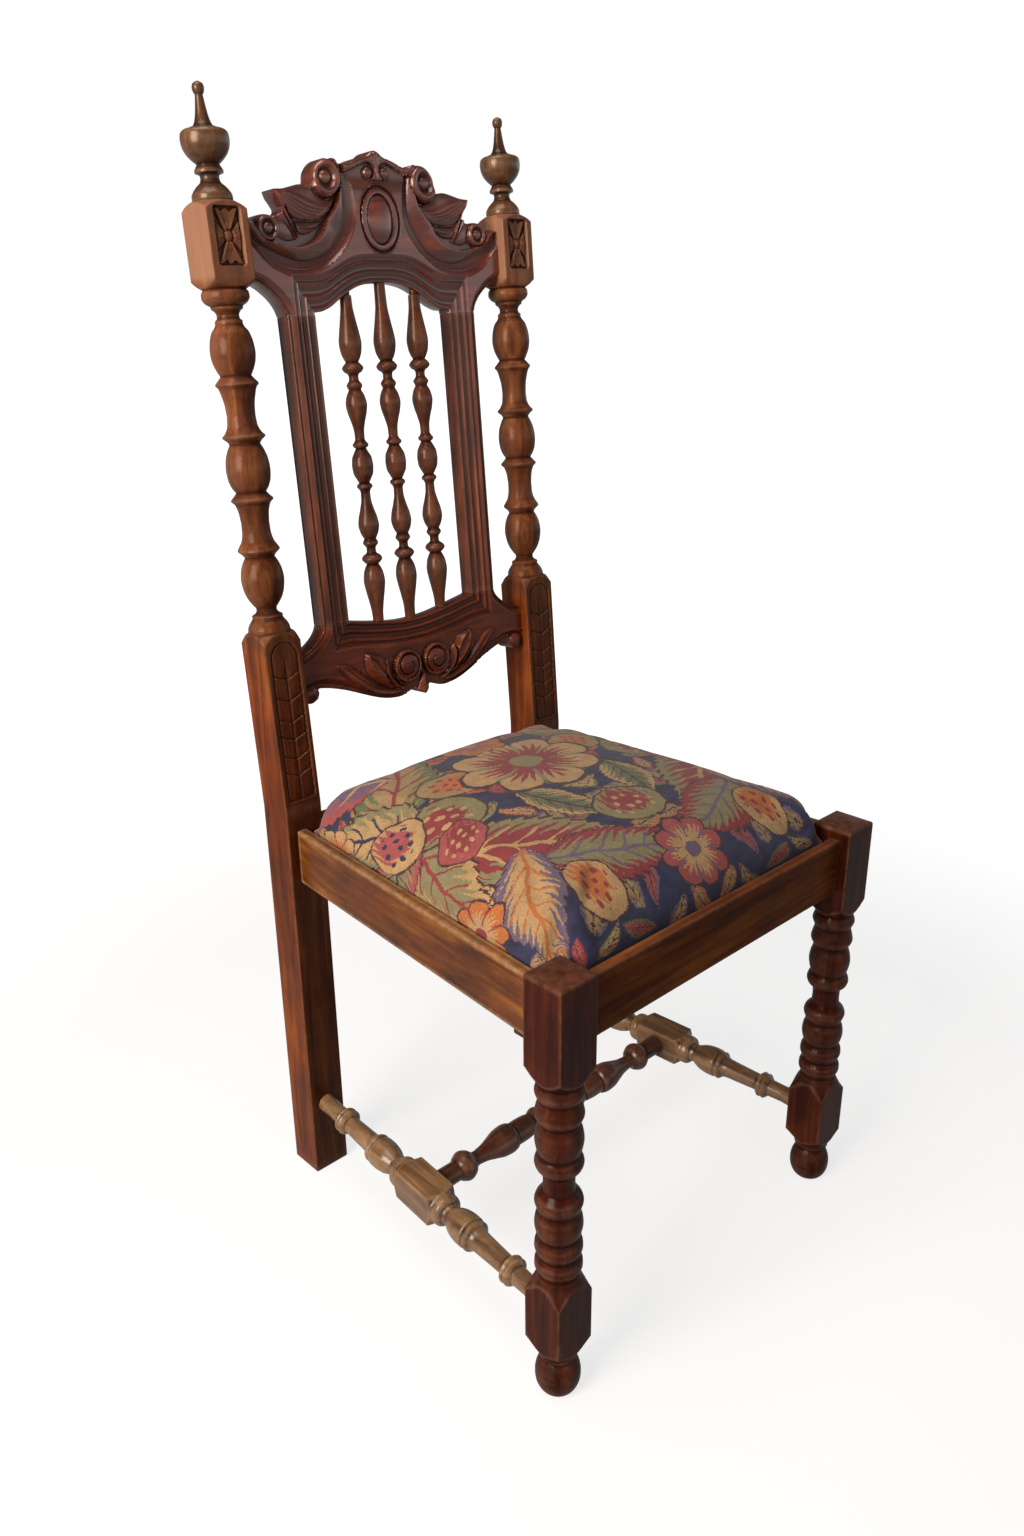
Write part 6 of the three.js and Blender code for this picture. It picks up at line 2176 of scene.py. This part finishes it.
@dataclass
class DropInSeat:
    """The lift-out seat: a frame with webbing, a stuffed pad and a tapestry cover."""

    front: float = -234.6
    back: float = 174.9
    notch_x: float = 187.0
    notch_y: float = -213.6
    back_notch_x: float = 157.7
    back_notch_y: float = 162.8
    widest: float = 207.96
    widest_y: float = -215.3
    narrowing: float = 0.0781
    frame_bottom: float = 418.3
    shoulder: float = 439.5
    rise: float = 38.5
    crown: float = 27.0
    roll: float = 32.0
    notch_roll: float = 21.0
    turned_under: float = 28.0
    cloth: float = 1.2
    cover_lower: float = 3.0
    # The frames over which the cloth simulation runs
    frames: int = 20

    def side_at(self, y: np.ndarray) -> np.ndarray:
        """Gives how far the seat reaches to the side at a place from front to back."""
        return self.widest - (y - self.widest_y) * self.narrowing

    def plan(self, inset: float = 0.0) -> np.ndarray:
        """Gives the seat's outline seen from above, drawn in by an inset."""
        r = 9.0
        corners, radii = [], []
        for x, y, radius in (
            (self.notch_x, self.front, r),
            (self.notch_x, self.notch_y, r * 0.4),
            (float(self.side_at(self.notch_y)), self.notch_y, r),
            (float(self.side_at(self.back_notch_y)), self.back_notch_y, r),
            (self.back_notch_x, self.back_notch_y, r * 0.4),
            (self.back_notch_x, self.back, r),
        ):
            corners.append((x - inset, y + inset * (1 if y < 0 else -1)))
            radii.append(radius)
        half = eased_corners([(0, corners[0][1]), *corners, (0, corners[-1][1])], [0.01, *radii, 0.01], 4)
        loop = np.vstack((half, (half * (-1, 1))[::-1]))
        keep = np.linalg.norm(loop - np.roll(loop, 1, 0), axis=1) > 0.3
        loop = loop[keep]
        fine = [
            a + np.arange(n)[:, None] / n * (b - a)
            for a, b in zip(loop, np.roll(loop, -1, 0))
            for n in (max(1, int(np.linalg.norm(b - a) / 4.5)),)
        ]
        return np.vstack(fine)

    def falls(self, x: np.ndarray, y: np.ndarray) -> tuple[np.ndarray, np.ndarray]:
        """Measures how near each spot is to the seat's edges.

        Args:
            x: places across.
            y: places from front to back.

        Returns:
            The drop, 0 on the crown and 1 at an edge, and the way out to the edge.
        """
        wide = np.abs(x)
        near_x, near_y = np.maximum(0, self.notch_x - wide), np.maximum(0, y - self.notch_y)
        far_x, far_y = np.maximum(0, self.back_notch_x - wide), np.maximum(0, self.back_notch_y - y)
        shares = [
            1 - (self.side_at(y) - wide) / self.roll,
            1 - (y - self.front) / self.roll,
            1 - (self.back - y) / self.roll,
            1 - np.hypot(near_x, near_y) / self.notch_roll,
            1 - np.hypot(far_x, far_y) / self.notch_roll,
        ]
        shares = [np.clip(share, 0, 1) for share in shares]
        sign = np.sign(x)
        near_long = np.maximum(np.hypot(near_x, near_y), 1e-6)
        far_long = np.maximum(np.hypot(far_x, far_y), 1e-6)
        ways = [
            (sign, 0 * y),
            (0 * x, -1 + 0 * y),
            (0 * x, 1 + 0 * y),
            (sign * near_x / near_long, -near_y / near_long),
            (sign * far_x / far_long, far_y / far_long),
        ]
        way = sum(np.stack(w, 1) * s[:, None] for w, s in zip(ways, shares))
        way /= np.maximum(np.linalg.norm(way, axis=1), 1e-6)[:, None]
        return np.minimum(1, np.sqrt(sum(s * s for s in shares))), way

    def crown_height(self, x: np.ndarray, y: np.ndarray) -> np.ndarray:
        """Gives the height of the stuffed top."""
        drop, _ = self.falls(x, y)
        u = np.minimum(1, np.abs(x) / self.side_at(y))
        v = np.clip((y - self.front) / (self.back - self.front), 0, 1) * 2 - 1
        return (
            self.shoulder
            + self.rise * np.sqrt(np.maximum(0, 1 - drop * drop))
            + self.crown * (1 - u**2.3) * (1 - np.abs(v) ** 3)
        )

    @staticmethod
    def spread(outline: np.ndarray, guides: Sequence[np.ndarray], grid: float) -> Shell:
        """Fills an outline with points a grid's step apart, and joins them with triangles."""
        room = (0.42 * grid, 0.55 * grid)
        return spread_points(outline, guides, grid, room, (0.8 * room[0], 0.8 * room[1]))

    def cushion_mesh(self, name: str, inset: float, lower: float, bottom: float, grid: float) -> bpy.types.Mesh:
        """Makes the crowned, closed form of the pad or of its cover.

        Args:
            name: the mesh's name.
            inset: how far its sides stand in from the seat's plan.
            lower: how far its top lies under the crown.
            bottom: the height of its flat bottom.
            grid: how far apart its points lie.

        Returns:
            The mesh.
        """
        rings = [self.plan(inset + more) for more in (0.5, 1.4, 3.0, 5.5, 9.0)]
        flat, triangles = self.spread(self.plan(inset), rings, grid)
        loop = rim_order(triangles)
        scale = 1 - inset / 220
        top = self.crown_height(flat[:, 0] / scale, flat[:, 1] / scale) - lower
        top = np.maximum(top, self.shoulder - lower + 0.2)
        spots = [np.column_stack((flat, top))]
        faces: Faces = list(triangles)
        above, first = loop, len(flat)
        for height in stations_between(self.shoulder - lower, bottom, 5.0)[1:]:
            spots.append(np.column_stack((flat[loop], np.full(len(loop), height))))
            below = list(range(first, first + len(loop)))
            for k in range(len(loop)):
                n = (k + 1) % len(loop)
                faces.append((above[n], above[k], below[k], below[n]))
            above, first = below, first + len(loop)
        inner = sorted(set(range(len(flat))) - set(loop))
        place = {old: first + i for i, old in enumerate(inner)} | dict(zip(loop, above))
        spots.append(np.column_stack((flat[inner], np.full(len(inner), bottom))))
        faces.extend(tuple(place[i] for i in t[::-1]) for t in triangles)
        return make_mesh(name, np.vstack(spots), faces, sharp=180, wear=None)

    def even_out(self, piece: bpy.types.Object) -> None:
        """Gives the cover an even mesh for the simulation."""
        remesh = piece.modifiers.new("even_mesh", "REMESH")
        remesh.mode = "VOXEL"
        remesh.voxel_size = 4.6 * MM
        remesh.use_smooth_shade = True
        settle(piece)
        # The remesh leaves faint steps on the crown: it goes back to the crown's own height
        spots = read_spots(piece.data)
        drop, _ = self.falls(spots[:, 0], spots[:, 1])
        on_top = eased((spots[:, 2] - self.shoulder - 6) / 8) * eased((0.9 - drop) / 0.25)
        exact = self.crown_height(spots[:, 0], spots[:, 1]) - self.cover_lower
        spots[:, 2] += (exact - spots[:, 2]) * on_top
        write_spots(piece.data, spots)

    def filled_out(self, piece: bpy.types.Object) -> None:
        """Swells the cover with a cloth simulation's pressure, and keeps how far it may go."""
        self.even_out(piece)
        start = read_spots(piece.data)
        held = piece.vertex_groups.new(name="held")
        held.add(np.nonzero(start[:, 2] < self.shoulder + 3)[0].tolist(), 1.0, "REPLACE")
        cloth = piece.modifiers.new("swell", "CLOTH")
        for key, value in (
            ("quality", 5), ("mass", 0.35), ("tension_stiffness", 22), ("compression_stiffness", 22),
            ("shear_stiffness", 12), ("bending_stiffness", 1.5), ("use_pressure", True),
            ("uniform_pressure_force", 4.0), ("vertex_group_mass", held.name),
        ):
            setattr(cloth.settings, key, value)
        cloth.settings.effector_weights.gravity = 0
        cloth.point_cache.frame_start = 1
        cloth.point_cache.frame_end = self.frames
        for step in range(1, self.frames + 1):
            bpy.context.scene.frame_set(step)
        settle(piece)
        bpy.context.scene.frame_set(1)
        moved = read_spots(piece.data) - start
        length = np.maximum(np.linalg.norm(moved, axis=1), 1e-6)
        most = 5.0 * eased((start[:, 2] - self.shoulder) / 22) + 0.2
        write_spots(piece.data, start + moved * np.minimum(1, most / length)[:, None])
        LOG.info("cushion swelled by %.1f mm at most, %.1f mm as a rule", length.max(), np.median(length))

    def lay_out(self, mesh: bpy.types.Mesh) -> None:
        """Gives the cover its cloth map: where each point lay on the cloth before it was stretched over."""
        spots = read_spots(mesh)
        x, y, z = spots.T
        drop, way = self.falls(x, y)
        tilt = np.linspace(0, math.pi / 2, 60)
        steps = np.hypot(np.diff(self.roll * np.sin(tilt)), np.diff(self.rise * np.cos(tilt)))
        arc = np.concatenate(([0], np.cumsum(steps)))
        low = z < self.shoulder + 1
        angle = np.where(low, math.pi / 2, np.arcsin(np.clip(drop, 0, 1)))
        extra = np.interp(angle, tilt, arc) - self.roll * np.sin(angle)
        extra += np.clip(self.shoulder - z, 0, 30) * low
        flat = (spots[:, :2] + way * extra[:, None]) * MM
        corner = np.empty(len(mesh.loops), int)
        mesh.loops.foreach_get("vertex_index", corner)
        mesh.uv_layers.new(name="cloth").data.foreach_set("uv", flat[corner].astype(np.float32).ravel())

    def open_below(self, mesh: bpy.types.Mesh) -> None:
        """Cuts the cover's middle out underneath, where the real one ends in a tacked margin."""
        shape = bmesh.new()
        shape.from_mesh(mesh)
        margin = self.plan(self.turned_under)
        centres = np.array([f.calc_center_median()[:] for f in shape.faces]) / MM
        gone = inside_of(margin, centres[:, :2]) & (centres[:, 2] < self.frame_bottom)
        bmesh.ops.delete(shape, geom=[f for f, out in zip(shape.faces, gone) if out], context="FACES")
        shape.to_mesh(mesh)
        shape.free()

    def build_cover(self) -> None:
        """Builds the tapestry cover."""
        grid = 3.4
        mesh = self.cushion_mesh("seat_cover", 0.6, self.cover_lower, 417.3, grid)
        piece = show_piece("seat_cover", mesh, TAPESTRY, SEAT_BODY)
        self.filled_out(piece)
        self.lay_out(piece.data)
        self.open_below(piece.data)
        smooth = piece.modifiers.new("even", "SUBSURF")
        smooth.levels = smooth.render_levels = 1
        thick = piece.modifiers.new("cloth_thickness", "SOLIDIFY")
        thick.thickness = self.cloth * MM
        thick.offset = -1
        settle(piece)
        piece.data.materials.clear()
        piece.data.materials.append(TAPESTRY.material())
        piece.data.shade_smooth()
        LOG.info("seat_cover: %d faces", len(piece.data.polygons))

    def build_stuffing(self) -> None:
        """Builds the pad of hair and wadding under the cover."""
        mesh = self.cushion_mesh("seat_stuffing", 10.0, 10.5, 441.0, 7.0)
        show_piece("seat_stuffing", mesh, WADDING, SEAT_BODY)

    def build_dust_cover(self) -> None:
        """Builds the black cloth under the seat, which sags a little between its tacks."""
        outline = self.plan(18.0)
        flat, triangles = self.spread(outline, [], 11.0)
        edge, _ = distance_to(closed(outline), flat)
        sag = 0.5 * (1 - np.exp(-edge / 40)) + 0.12 * np.sin(flat[:, 0] / 9) * np.sin(flat[:, 1] / 11)
        level = 416.5 - sag
        count = len(flat)
        spots = np.vstack((np.column_stack((flat, level)), np.column_stack((flat, level - 0.5))))
        loop = rim_order(triangles)
        faces: Faces = [*triangles, *(tuple(count + i for i in t[::-1]) for t in triangles)]
        for a, b in zip(loop, loop[1:] + loop[:1]):
            faces.append((b, a, count + a, count + b))
        mesh = make_mesh("seat_dust_cover", spots, faces, wear=None)
        piece = show_piece("seat_dust_cover", mesh, CAMBRIC, SEAT_BODY)

    def build(self) -> None:
        """Builds the drop-in seat."""
        self.build_cover()
        self.build_stuffing()
        Webbing(middle=(self.front + self.back) / 2).build()
        self.build_dust_cover()
        for where, finish in (
            ("front", PINE_ACROSS), ("back", PINE_ACROSS), ("side_left", PINE_DEEP), ("side_right", PINE_DEEP),
        ):
            refinish(f"seat_frame_{where}", finish)


def refinish(node: str, finish: Finish) -> None:
    """Gives a CAD node whose shape is right its finish."""
    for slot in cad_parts[node].material_slots:
        slot.material = finish.material()
    LOG.info("%s keeps its shape, and is %s", node, finish.name)


# ---------------------------------------------------------------- what repeats


def grow(
    base: bpy.types.Mesh, tree: Tree, shape: Socket, finish: Finish, sizes: dict[str, float]
) -> bpy.types.Object:
    """Ends a Geometry Nodes tree, runs it on a mesh, and keeps what it gives as a piece's plain mesh.

    Args:
        base: the mesh, with the piece's name.
        tree: the tree.
        shape: the tree's geometry so far.
        finish: the piece's finish.
        sizes: values for the tree's named inputs.

    Returns:
        The piece.
    """
    plain = add_node(tree, "GeometryNodeRealizeInstances", shape)
    dressed = add_node(tree, "GeometryNodeSetMaterial", {"Geometry": plain, "Material": finish.material()})
    add_node(tree, "NodeGroupOutput", dressed, out=None)
    piece = add_object(base.name, base)
    nodes = piece.modifiers.new(tree.name, "NODES")
    nodes.node_group = tree
    for item in tree.interface.items_tree:
        if item.in_out == "INPUT" and item.name in sizes:
            nodes[item.identifier] = sizes[item.name]
    settle(piece)
    return piece


@dataclass
class Repeated:
    """Copies of one shape, set on points and each turned its own way by Geometry Nodes."""

    name: str
    finish: Finish
    body: str
    size: float = 1.0

    def build(self, shape: bpy.types.Mesh, places: np.ndarray, turns: np.ndarray, nodes: Sequence[str]) -> None:
        """Builds the copies as one piece.

        Args:
            shape: the shape's mesh.
            places: where each copy goes, in millimetres.
            turns: how each is turned, as Euler angles.
            nodes: the CAD nodes that the piece replaces.
        """
        pattern = bpy.data.objects.new(f"{self.name}_pattern", shape)
        points = bpy.data.meshes.new(self.name)
        points.from_pydata((np.asarray(places, float) * MM).tolist(), [], [])
        mark = points.attributes.new("turn", "FLOAT_VECTOR", "POINT")
        mark.data.foreach_set("vector", np.asarray(turns, np.float32).ravel())
        tree = new_group(
            f"{self.name}_in_a_row", "GeometryNodeTree", {"Points": "Geometry", "Size": "Float"},
            ("Copies", "Geometry"),
        )
        add = partial(add_node, tree)
        given = add("NodeGroupInput", out=None)
        copied = add("GeometryNodeObjectInfo", pattern, out="Geometry")
        turn = add("GeometryNodeInputNamedAttribute", "turn", data_type="FLOAT_VECTOR")
        turn = add("FunctionNodeEulerToRotation", turn)
        copies = add("GeometryNodeInstanceOnPoints", {
            "Points": given["Points"], "Instance": copied, "Rotation": turn, "Scale": given["Size"],
        })
        piece = grow(points, tree, copies, self.finish, {"Size": self.size})
        bpy.data.objects.remove(pattern)
        if "turn" in piece.data.attributes:
            piece.data.attributes.remove(piece.data.attributes["turn"])
        carry(piece, self.finish, nodes, self.body)


@dataclass
class Spindles:
    """The row of three turned spindles in the back."""

    spacing: float = 44.2
    middle: float = 337.0
    neck: float = 5.2
    tenon: tuple[float, float] = (4.4, 8.0)
    step: float = 0.8

    def turned(self, column: int) -> bpy.types.Mesh:
        """Turns the spindle of a column: it ends on the rails' edges, with a tenon in each rail."""
        at = np.abs(column * self.spacing + np.array((-self.neck, 0, self.neck))) / READ_SCALE
        arch_x, arch_s = curve_through(CrestRail.arch_line)[::-1].T
        edge_x, edge_s = curve_through(LowerRail.edge_line).T
        top = np.interp(at, arch_x, arch_s).min() * READ_SCALE - self.middle
        bottom = np.interp(at, edge_x, edge_s).max() * READ_SCALE - self.middle
        radius, length = self.tenon
        along = stations_between(bottom, top, self.step)
        radii = turned_radius(scaled(SPINDLE_PROFILE), np.abs(along))
        along = np.concatenate(((bottom - length, bottom), along, (top, top + length)))
        radii = np.concatenate(((radius, radius), radii, (radius, radius)))
        shell = Stock(0, other=10).shell(along + self.middle, radii, BACK.place)
        return make_mesh("spindle", *shell)

    def build(self) -> None:
        """Builds the row."""
        for name, columns in (("middle_spindle", {0: "middle"}), ("outer_spindles", {-1: "left", 1: "right"})):
            places = np.array([(column * self.spacing, 0, 0) for column in columns])
            nodes = [f"spindle_{where}" for where in columns.values()]
            Repeated(name, SPINDLE_MAHOGANY, FRAME_BODY).build(
                self.turned(max(columns)), places, 0 * places, nodes
            )


@dataclass
class Fixings:
    """The screws through the corner blocks and the tacks under the seat."""

    screw_length: float = 34.0
    head_height: float = 2.6
    slot_half: float = 0.75
    slot_depth: float = 0.9
    around: int = 20

    def rings(self, profile: Points, slot: float = 0.0) -> Shell:
        """Gives the points and faces of a turned fixing.

        Args:
            profile: each ring's height and radius.
            slot: how deep its flat end is slotted.

        Returns:
            The points and the faces.
        """
        turn = np.linspace(0, FULL_TURN, self.around, endpoint=False)
        spots = []
        for height, radius in profile:
            x, y = radius * np.cos(turn), radius * np.sin(turn)
            cut = np.where((np.abs(y) < self.slot_half) & (height < 0.1), slot, 0.0)
            spots.append(np.column_stack((x, y, height + cut)))
        return np.vstack(spots), capped_tube(len(profile), self.around)

    def slotted_screw(self) -> bpy.types.Mesh:
        """Makes one countersunk wood screw, its slotted head at the bottom and its point at the top."""
        profile = (
            (0.0, 1.6), (0.0, 3.0), (0.0, 3.9), (0.25, 4.0), (self.head_height, 2.0), (26, 2.0), (33.4, 0.6),
        )
        return make_mesh("screw", *self.rings(profile, self.slot_depth), sharp=30, wear=None)

    def domed_tack(self) -> bpy.types.Mesh:
        """Makes one tack head, domed downwards."""
        profile = ((0.0, 0.7), (0.1, 1.5), (0.4, 2.4), (0.9, 2.9), (1.1, 3.0), (1.28, 2.9), (1.3, 1.0))
        return make_mesh("tack", *self.rings(profile), sharp=40, wear=None)

    def build(self) -> None:
        """Builds the screws and the tacks."""
        quarter = math.pi / 2
        nodes, places, turns = [], [], []
        for kind, axis, way in (
            ("front_rail", (0, -1, 0), (quarter, 0, 0)),
            ("back_rail", (0, 1, 0), (-quarter, 0, 0)),
            ("side_rail_front", (1, 0, 0), (0, quarter, 0)),
            ("side_rail_back", (1, 0, 0), (0, quarter, 0)),
        ):
            for side, name in SIDES:
                mirror = side if axis[0] else 1
                nodes.append(f"screw_{kind}_{name}")
                low, high = self.box(nodes[-1])
                places.append((low + high) / 2 - np.array(axis) * (mirror, 1, 1) * self.screw_length / 2)
                turns.append(np.array(way) * (1, mirror, 1))
        Repeated("screws", STEEL, FRAME_BODY).build(
            self.slotted_screw(), np.array(places), np.array(turns), nodes
        )
        nodes = [f"tack_{where}_{name}" for where in ("front", "back", "side_front", "side_back")
                 for _, name in SIDES]
        places = []
        for low, high in map(self.box, nodes):
            places.append(((low[0] + high[0]) / 2, (low[1] + high[1]) / 2, low[2]))
        Repeated("tacks", STEEL, SEAT_BODY).build(
            self.domed_tack(), np.array(places), np.zeros((len(nodes), 3)), nodes
        )

    @staticmethod
    def box(node: str) -> tuple[np.ndarray, np.ndarray]:
        """Gives a CAD node's two corners in millimetres."""
        low, high = (np.array(corner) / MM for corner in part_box(node))
        return low, high


@dataclass
class Webbing:
    """Six jute straps over the seat's frame, woven over and under each other by Geometry Nodes."""

    middle: float = -29.85
    width: float = 50.0
    spacing: float = 84.0
    level: float = 437.7
    lift: float = 0.95
    thickness: float = 1.5
    long: float = 388.0
    wide: float = 352.0

    def straps(self, tree: Tree, given: bpy.types.NodeOutputs, length: str, crosswise: bool) -> Socket:
        """Lays three straps side by side, waved so that they pass over and under the other three.

        Args:
            tree: the tree.
            given: the group input's sockets.
            length: the name of the input that holds their length.
            crosswise: whether they run across the seat.

        Returns:
            The geometry's socket.
        """
        add = partial(add_node, tree)
        strip = add("GeometryNodeMeshGrid", {
            "Size X": given["Width"], "Size Y": given[length], "Vertices X": 9, "Vertices Y": 91,
        })
        start = add("CombineXYZ", add("Math", given["Spacing"], -1.0, operation="MULTIPLY"))
        offset = add("CombineXYZ", given["Spacing"])
        row = add("GeometryNodeMeshLine", {"Count": 3, "Start Location": start, "Offset": offset})
        laid = add("GeometryNodeInstanceOnPoints", {"Points": row, "Instance": strip})
        laid = add("GeometryNodeRealizeInstances", laid)
        across, along, _ = add("SeparateXYZ", add("GeometryNodeInputPosition"), out=None)
        # 1 and -1 at every other strap, across the straps and along them
        across = add("Math", across, given["Spacing"], operation="DIVIDE")
        across = add("Math", across, operation="ROUND")
        along = add("Math", along, given["Spacing"], operation="DIVIDE")
        waves = []
        for turns in (across, along):
            angle = add("Math", turns, math.pi, operation="MULTIPLY")
            waves.append(add("Math", angle, operation="COSINE"))
        rise = add("Math", *waves, operation="MULTIPLY")
        lift = add("Math", rise, given["Lift"], operation="MULTIPLY")
        if crosswise:
            lift = add("Math", lift, -1.0, operation="MULTIPLY")
        laid = add("GeometryNodeSetPosition", {"Geometry": laid, "Offset": add("CombineXYZ", {2: lift})})
        if crosswise:
            laid = add("GeometryNodeTransform", {"Geometry": laid, "Rotation": (0, 0, math.pi / 2)})
        return laid

    def build(self) -> None:
        """Builds the webbing as one piece."""
        sizes = {
            "Width": self.width, "Spacing": self.spacing, "Lift": self.lift, "Thickness": self.thickness,
            "Long": self.long, "Wide": self.wide,
        }
        sockets = {"Nothing": "Geometry"} | dict.fromkeys(sizes, "Float")
        tree = new_group("woven_straps", "GeometryNodeTree", sockets, ("Straps", "Geometry"))
        add = partial(add_node, tree)
        given = add("NodeGroupInput", out=None)
        both = add("GeometryNodeJoinGeometry")
        for length, crosswise in (("Long", False), ("Wide", True)):
            tree.links.new(self.straps(tree, given, length, crosswise), both.node.inputs[0])
        up = add("CombineXYZ", {2: given["Thickness"]})
        top = add("GeometryNodeExtrudeMesh", {
            "Mesh": both, "Offset": up, "Offset Scale": 1.0, "Individual": False,
        })
        under = add("GeometryNodeFlipFaces", both)
        skin = add("GeometryNodeJoinGeometry")
        for part in (top, under):
            tree.links.new(part, skin.node.inputs[0])
        merged = add("GeometryNodeMergeByDistance", {"Geometry": skin, "Distance": 0.02 * MM})
        placed = add("GeometryNodeTransform", {
            "Geometry": merged, "Translation": (0, self.middle * MM, self.level * MM),
        })
        metres = {name: value * MM for name, value in sizes.items()}
        piece = grow(bpy.data.meshes.new("webbing"), tree, placed, JUTE, metres)
        carry(piece, JUTE, [
            f"webbing_{where}" for where in (
                "lengthwise_left", "lengthwise_middle", "lengthwise_right",
                "crosswise_front", "crosswise_middle", "crosswise_back",
            )
        ], SEAT_BODY)


# ---------------------------------------------------------------- studio


@dataclass
class Studio:
    """The camera of the photograph, a plain pale floor and soft lamps."""

    aim: tuple[float, float, float] = (-64.69, -29.4, 530.01)
    distance: float = 1166.77
    azimuth: float = -43.589
    elevation: float = 21.678
    roll: float = -0.578
    lens: float = 27.85
    film: float = 36.0
    floor_reach: float = 40.0
    lit: tuple[float, float, float] = (0, 0, 0.6)

    def add_camera(self) -> None:
        """Sets the camera where the photograph was taken from."""
        """Sets the camera where the photograph was taken from."""
        around, rise, roll = (math.radians(a) for a in (self.azimuth, self.elevation, self.roll))
        away = Vector((
            math.sin(around) * math.cos(rise), -math.cos(around) * math.cos(rise), math.sin(rise)
        ))
        right = (-away).cross(Vector((0, 0, 1))).normalized()
        up = right.cross(-away)
        right, up = (
            right * math.cos(roll) + up * math.sin(roll),
            up * math.cos(roll) - right * math.sin(roll),
        )
        data = bpy.data.cameras.new("camera")
        data.lens = self.lens
        data.sensor_fit = "VERTICAL"
        data.sensor_height = self.film
        data.clip_start = 0.02
        camera = add_object("camera", data)
        turn = Matrix((right, up, away)).transposed().to_4x4()
        place = (Vector(self.aim) + away * self.distance) * MM
        camera.matrix_world = Matrix.Translation(place) @ turn
        bpy.context.scene.camera = camera

    @staticmethod
    def direct_ray(tree: Tree, *kinds: str) -> Socket:
        """Gives 1 for the rays that should meet plain white, and 0 for those that only carry light."""
        path = add_node(tree, "LightPath", out=None)
        found = path[kinds[0]]
        for kind in kinds[1:]:
            found = add_node(tree, "Math", found, path[kind], operation="MAXIMUM")
        return found

    def add_floor(self) -> None:
        """Lays the floor: white to the camera with a soft shadow, and pale grey as a thing that lights."""
        material = bpy.data.materials.new("pale_floor")
        material.use_nodes = True
        material.node_tree.nodes.clear()
        add = partial(add_node, material.node_tree)
        paper = add("BsdfDiffuse", {"Color": (0.9, 0.9, 0.9, 1)})
        level = add("MapRange", add("LightPath", out="Is Glossy Ray"), {3: 1.18, 4: 0.38})
        glow = add("Emission", {"Color": (1, 1, 1, 1), "Strength": level})
        # The shadow fades into plain white a metre or two from the chair
        away = add("VectorMath", add("TexCoord", out="Object"), operation="LENGTH", out="Value")
        share = add("MapRange", away, 0.7, 1.8, 0.34, 0.0)
        seen = add("MixShader", share, glow, paper)
        plain = add("BsdfDiffuse", {"Color": (0.3, 0.295, 0.29, 1)})
        direct = self.direct_ray(
            material.node_tree, "Is Camera Ray", "Is Glossy Ray", "Is Transmission Ray"
        )
        add("OutputMaterial", add("MixShader", direct, plain, seen), out=None)
        reach = self.floor_reach
        corners = [(-reach, -reach, 0), (reach, -reach, 0), (reach, reach, 0), (-reach, reach, 0)]
        mesh = bpy.data.meshes.new("floor")
        mesh.from_pydata(corners, [], [(0, 1, 2, 3)])
        mesh.materials.append(material)
        add_object("floor", mesh)

    def add_lamp(
        self, name: str, place: tuple[float, float, float], size: tuple[float, float], power: float, tint: str
    ) -> None:
        """Hangs one soft lamp that faces the seat.

        Args:
            name: the lamp's name.
            place: where it hangs, in metres.
            size: its width and height, in metres.
            power: its power in watts.
            tint: its colour.
        """
        data = bpy.data.lights.new(name, "AREA")
        data.shape = "RECTANGLE"
        data.size, data.size_y = size
        data.energy = power
        data.color = linear(tint)[:3]
        lamp = add_object(name, data)
        lamp.location = place
        lamp.rotation_euler = (Vector(place) - Vector(self.lit)).to_track_quat("Z", "Y").to_euler()

    def add_world(self) -> None:
        """Fills the room with soft light: white to the camera, pale low down and dimmer overhead."""
        world = bpy.data.worlds.new("soft_room")
        bpy.context.scene.world = world
        world.use_nodes = True
        world.node_tree.nodes.clear()
        add = partial(add_node, world.node_tree)
        _, deep, up = add("SeparateXYZ", add("TexCoord", out="Generated"), out=None)
        room = add("ValToRGB", add("MapRange", up, -1.0, 1.0), stops=(
            (0.57, "#ffffff"), (0.625, "#cdc6c5"), (0.69, "#7d7676"), (1.0, "#625d5b"),
        ))
        level = add("MapRange", add("LightPath", out="Is Glossy Ray"), {3: 0.3, 4: 1.15})
        # The room is dimmer behind the chair
        behind = add("MapRange", deep, 0.1, 0.6, 1.0, 0.25)
        level = add("Math", level, behind, operation="MULTIPLY")
        lit = add("Background", {"Color": room, "Strength": level})
        white = add("Background", {"Color": (1, 1, 1, 1), "Strength": 1.0})
        seen = self.direct_ray(world.node_tree, "Is Camera Ray", "Is Transmission Ray")
        add("OutputWorld", add("MixShader", seen, lit, white), out=None)

    def build(self) -> None:
        """Sets up the camera, floor, lamps and room."""
        self.add_camera()
        self.add_floor()
        self.add_world()
        self.add_lamp("window", (-2.3, -0.2, 1.5), (1.2, 1.4), 68.0, "#fff1e0")
        self.add_lamp("overhead_panel", (-0.6, 0.1, 2.9), (1.4, 1.4), 22.0, "#ffffff")
        bpy.context.scene.view_settings.view_transform = "Standard"


def main() -> None:
    """Builds the chair's visible model, piece by piece."""
    logging.basicConfig(level=logging.INFO, format="%(message)s", stream=sys.stdout)
    for part in (
        Studio(), FrontLegs(), BackPosts(), Finials(), Stretchers(), CrestRail(), LowerRail(), Stiles(),
        SeatRails(), Spindles(), DropInSeat(), Fixings(),
    ):
        part.build()
    for end in ("front", "back"):
        for _, side in SIDES:
            refinish(f"{end}_corner_block_{side}", PINE_ACROSS)


if __name__ == "__main__":
    main()
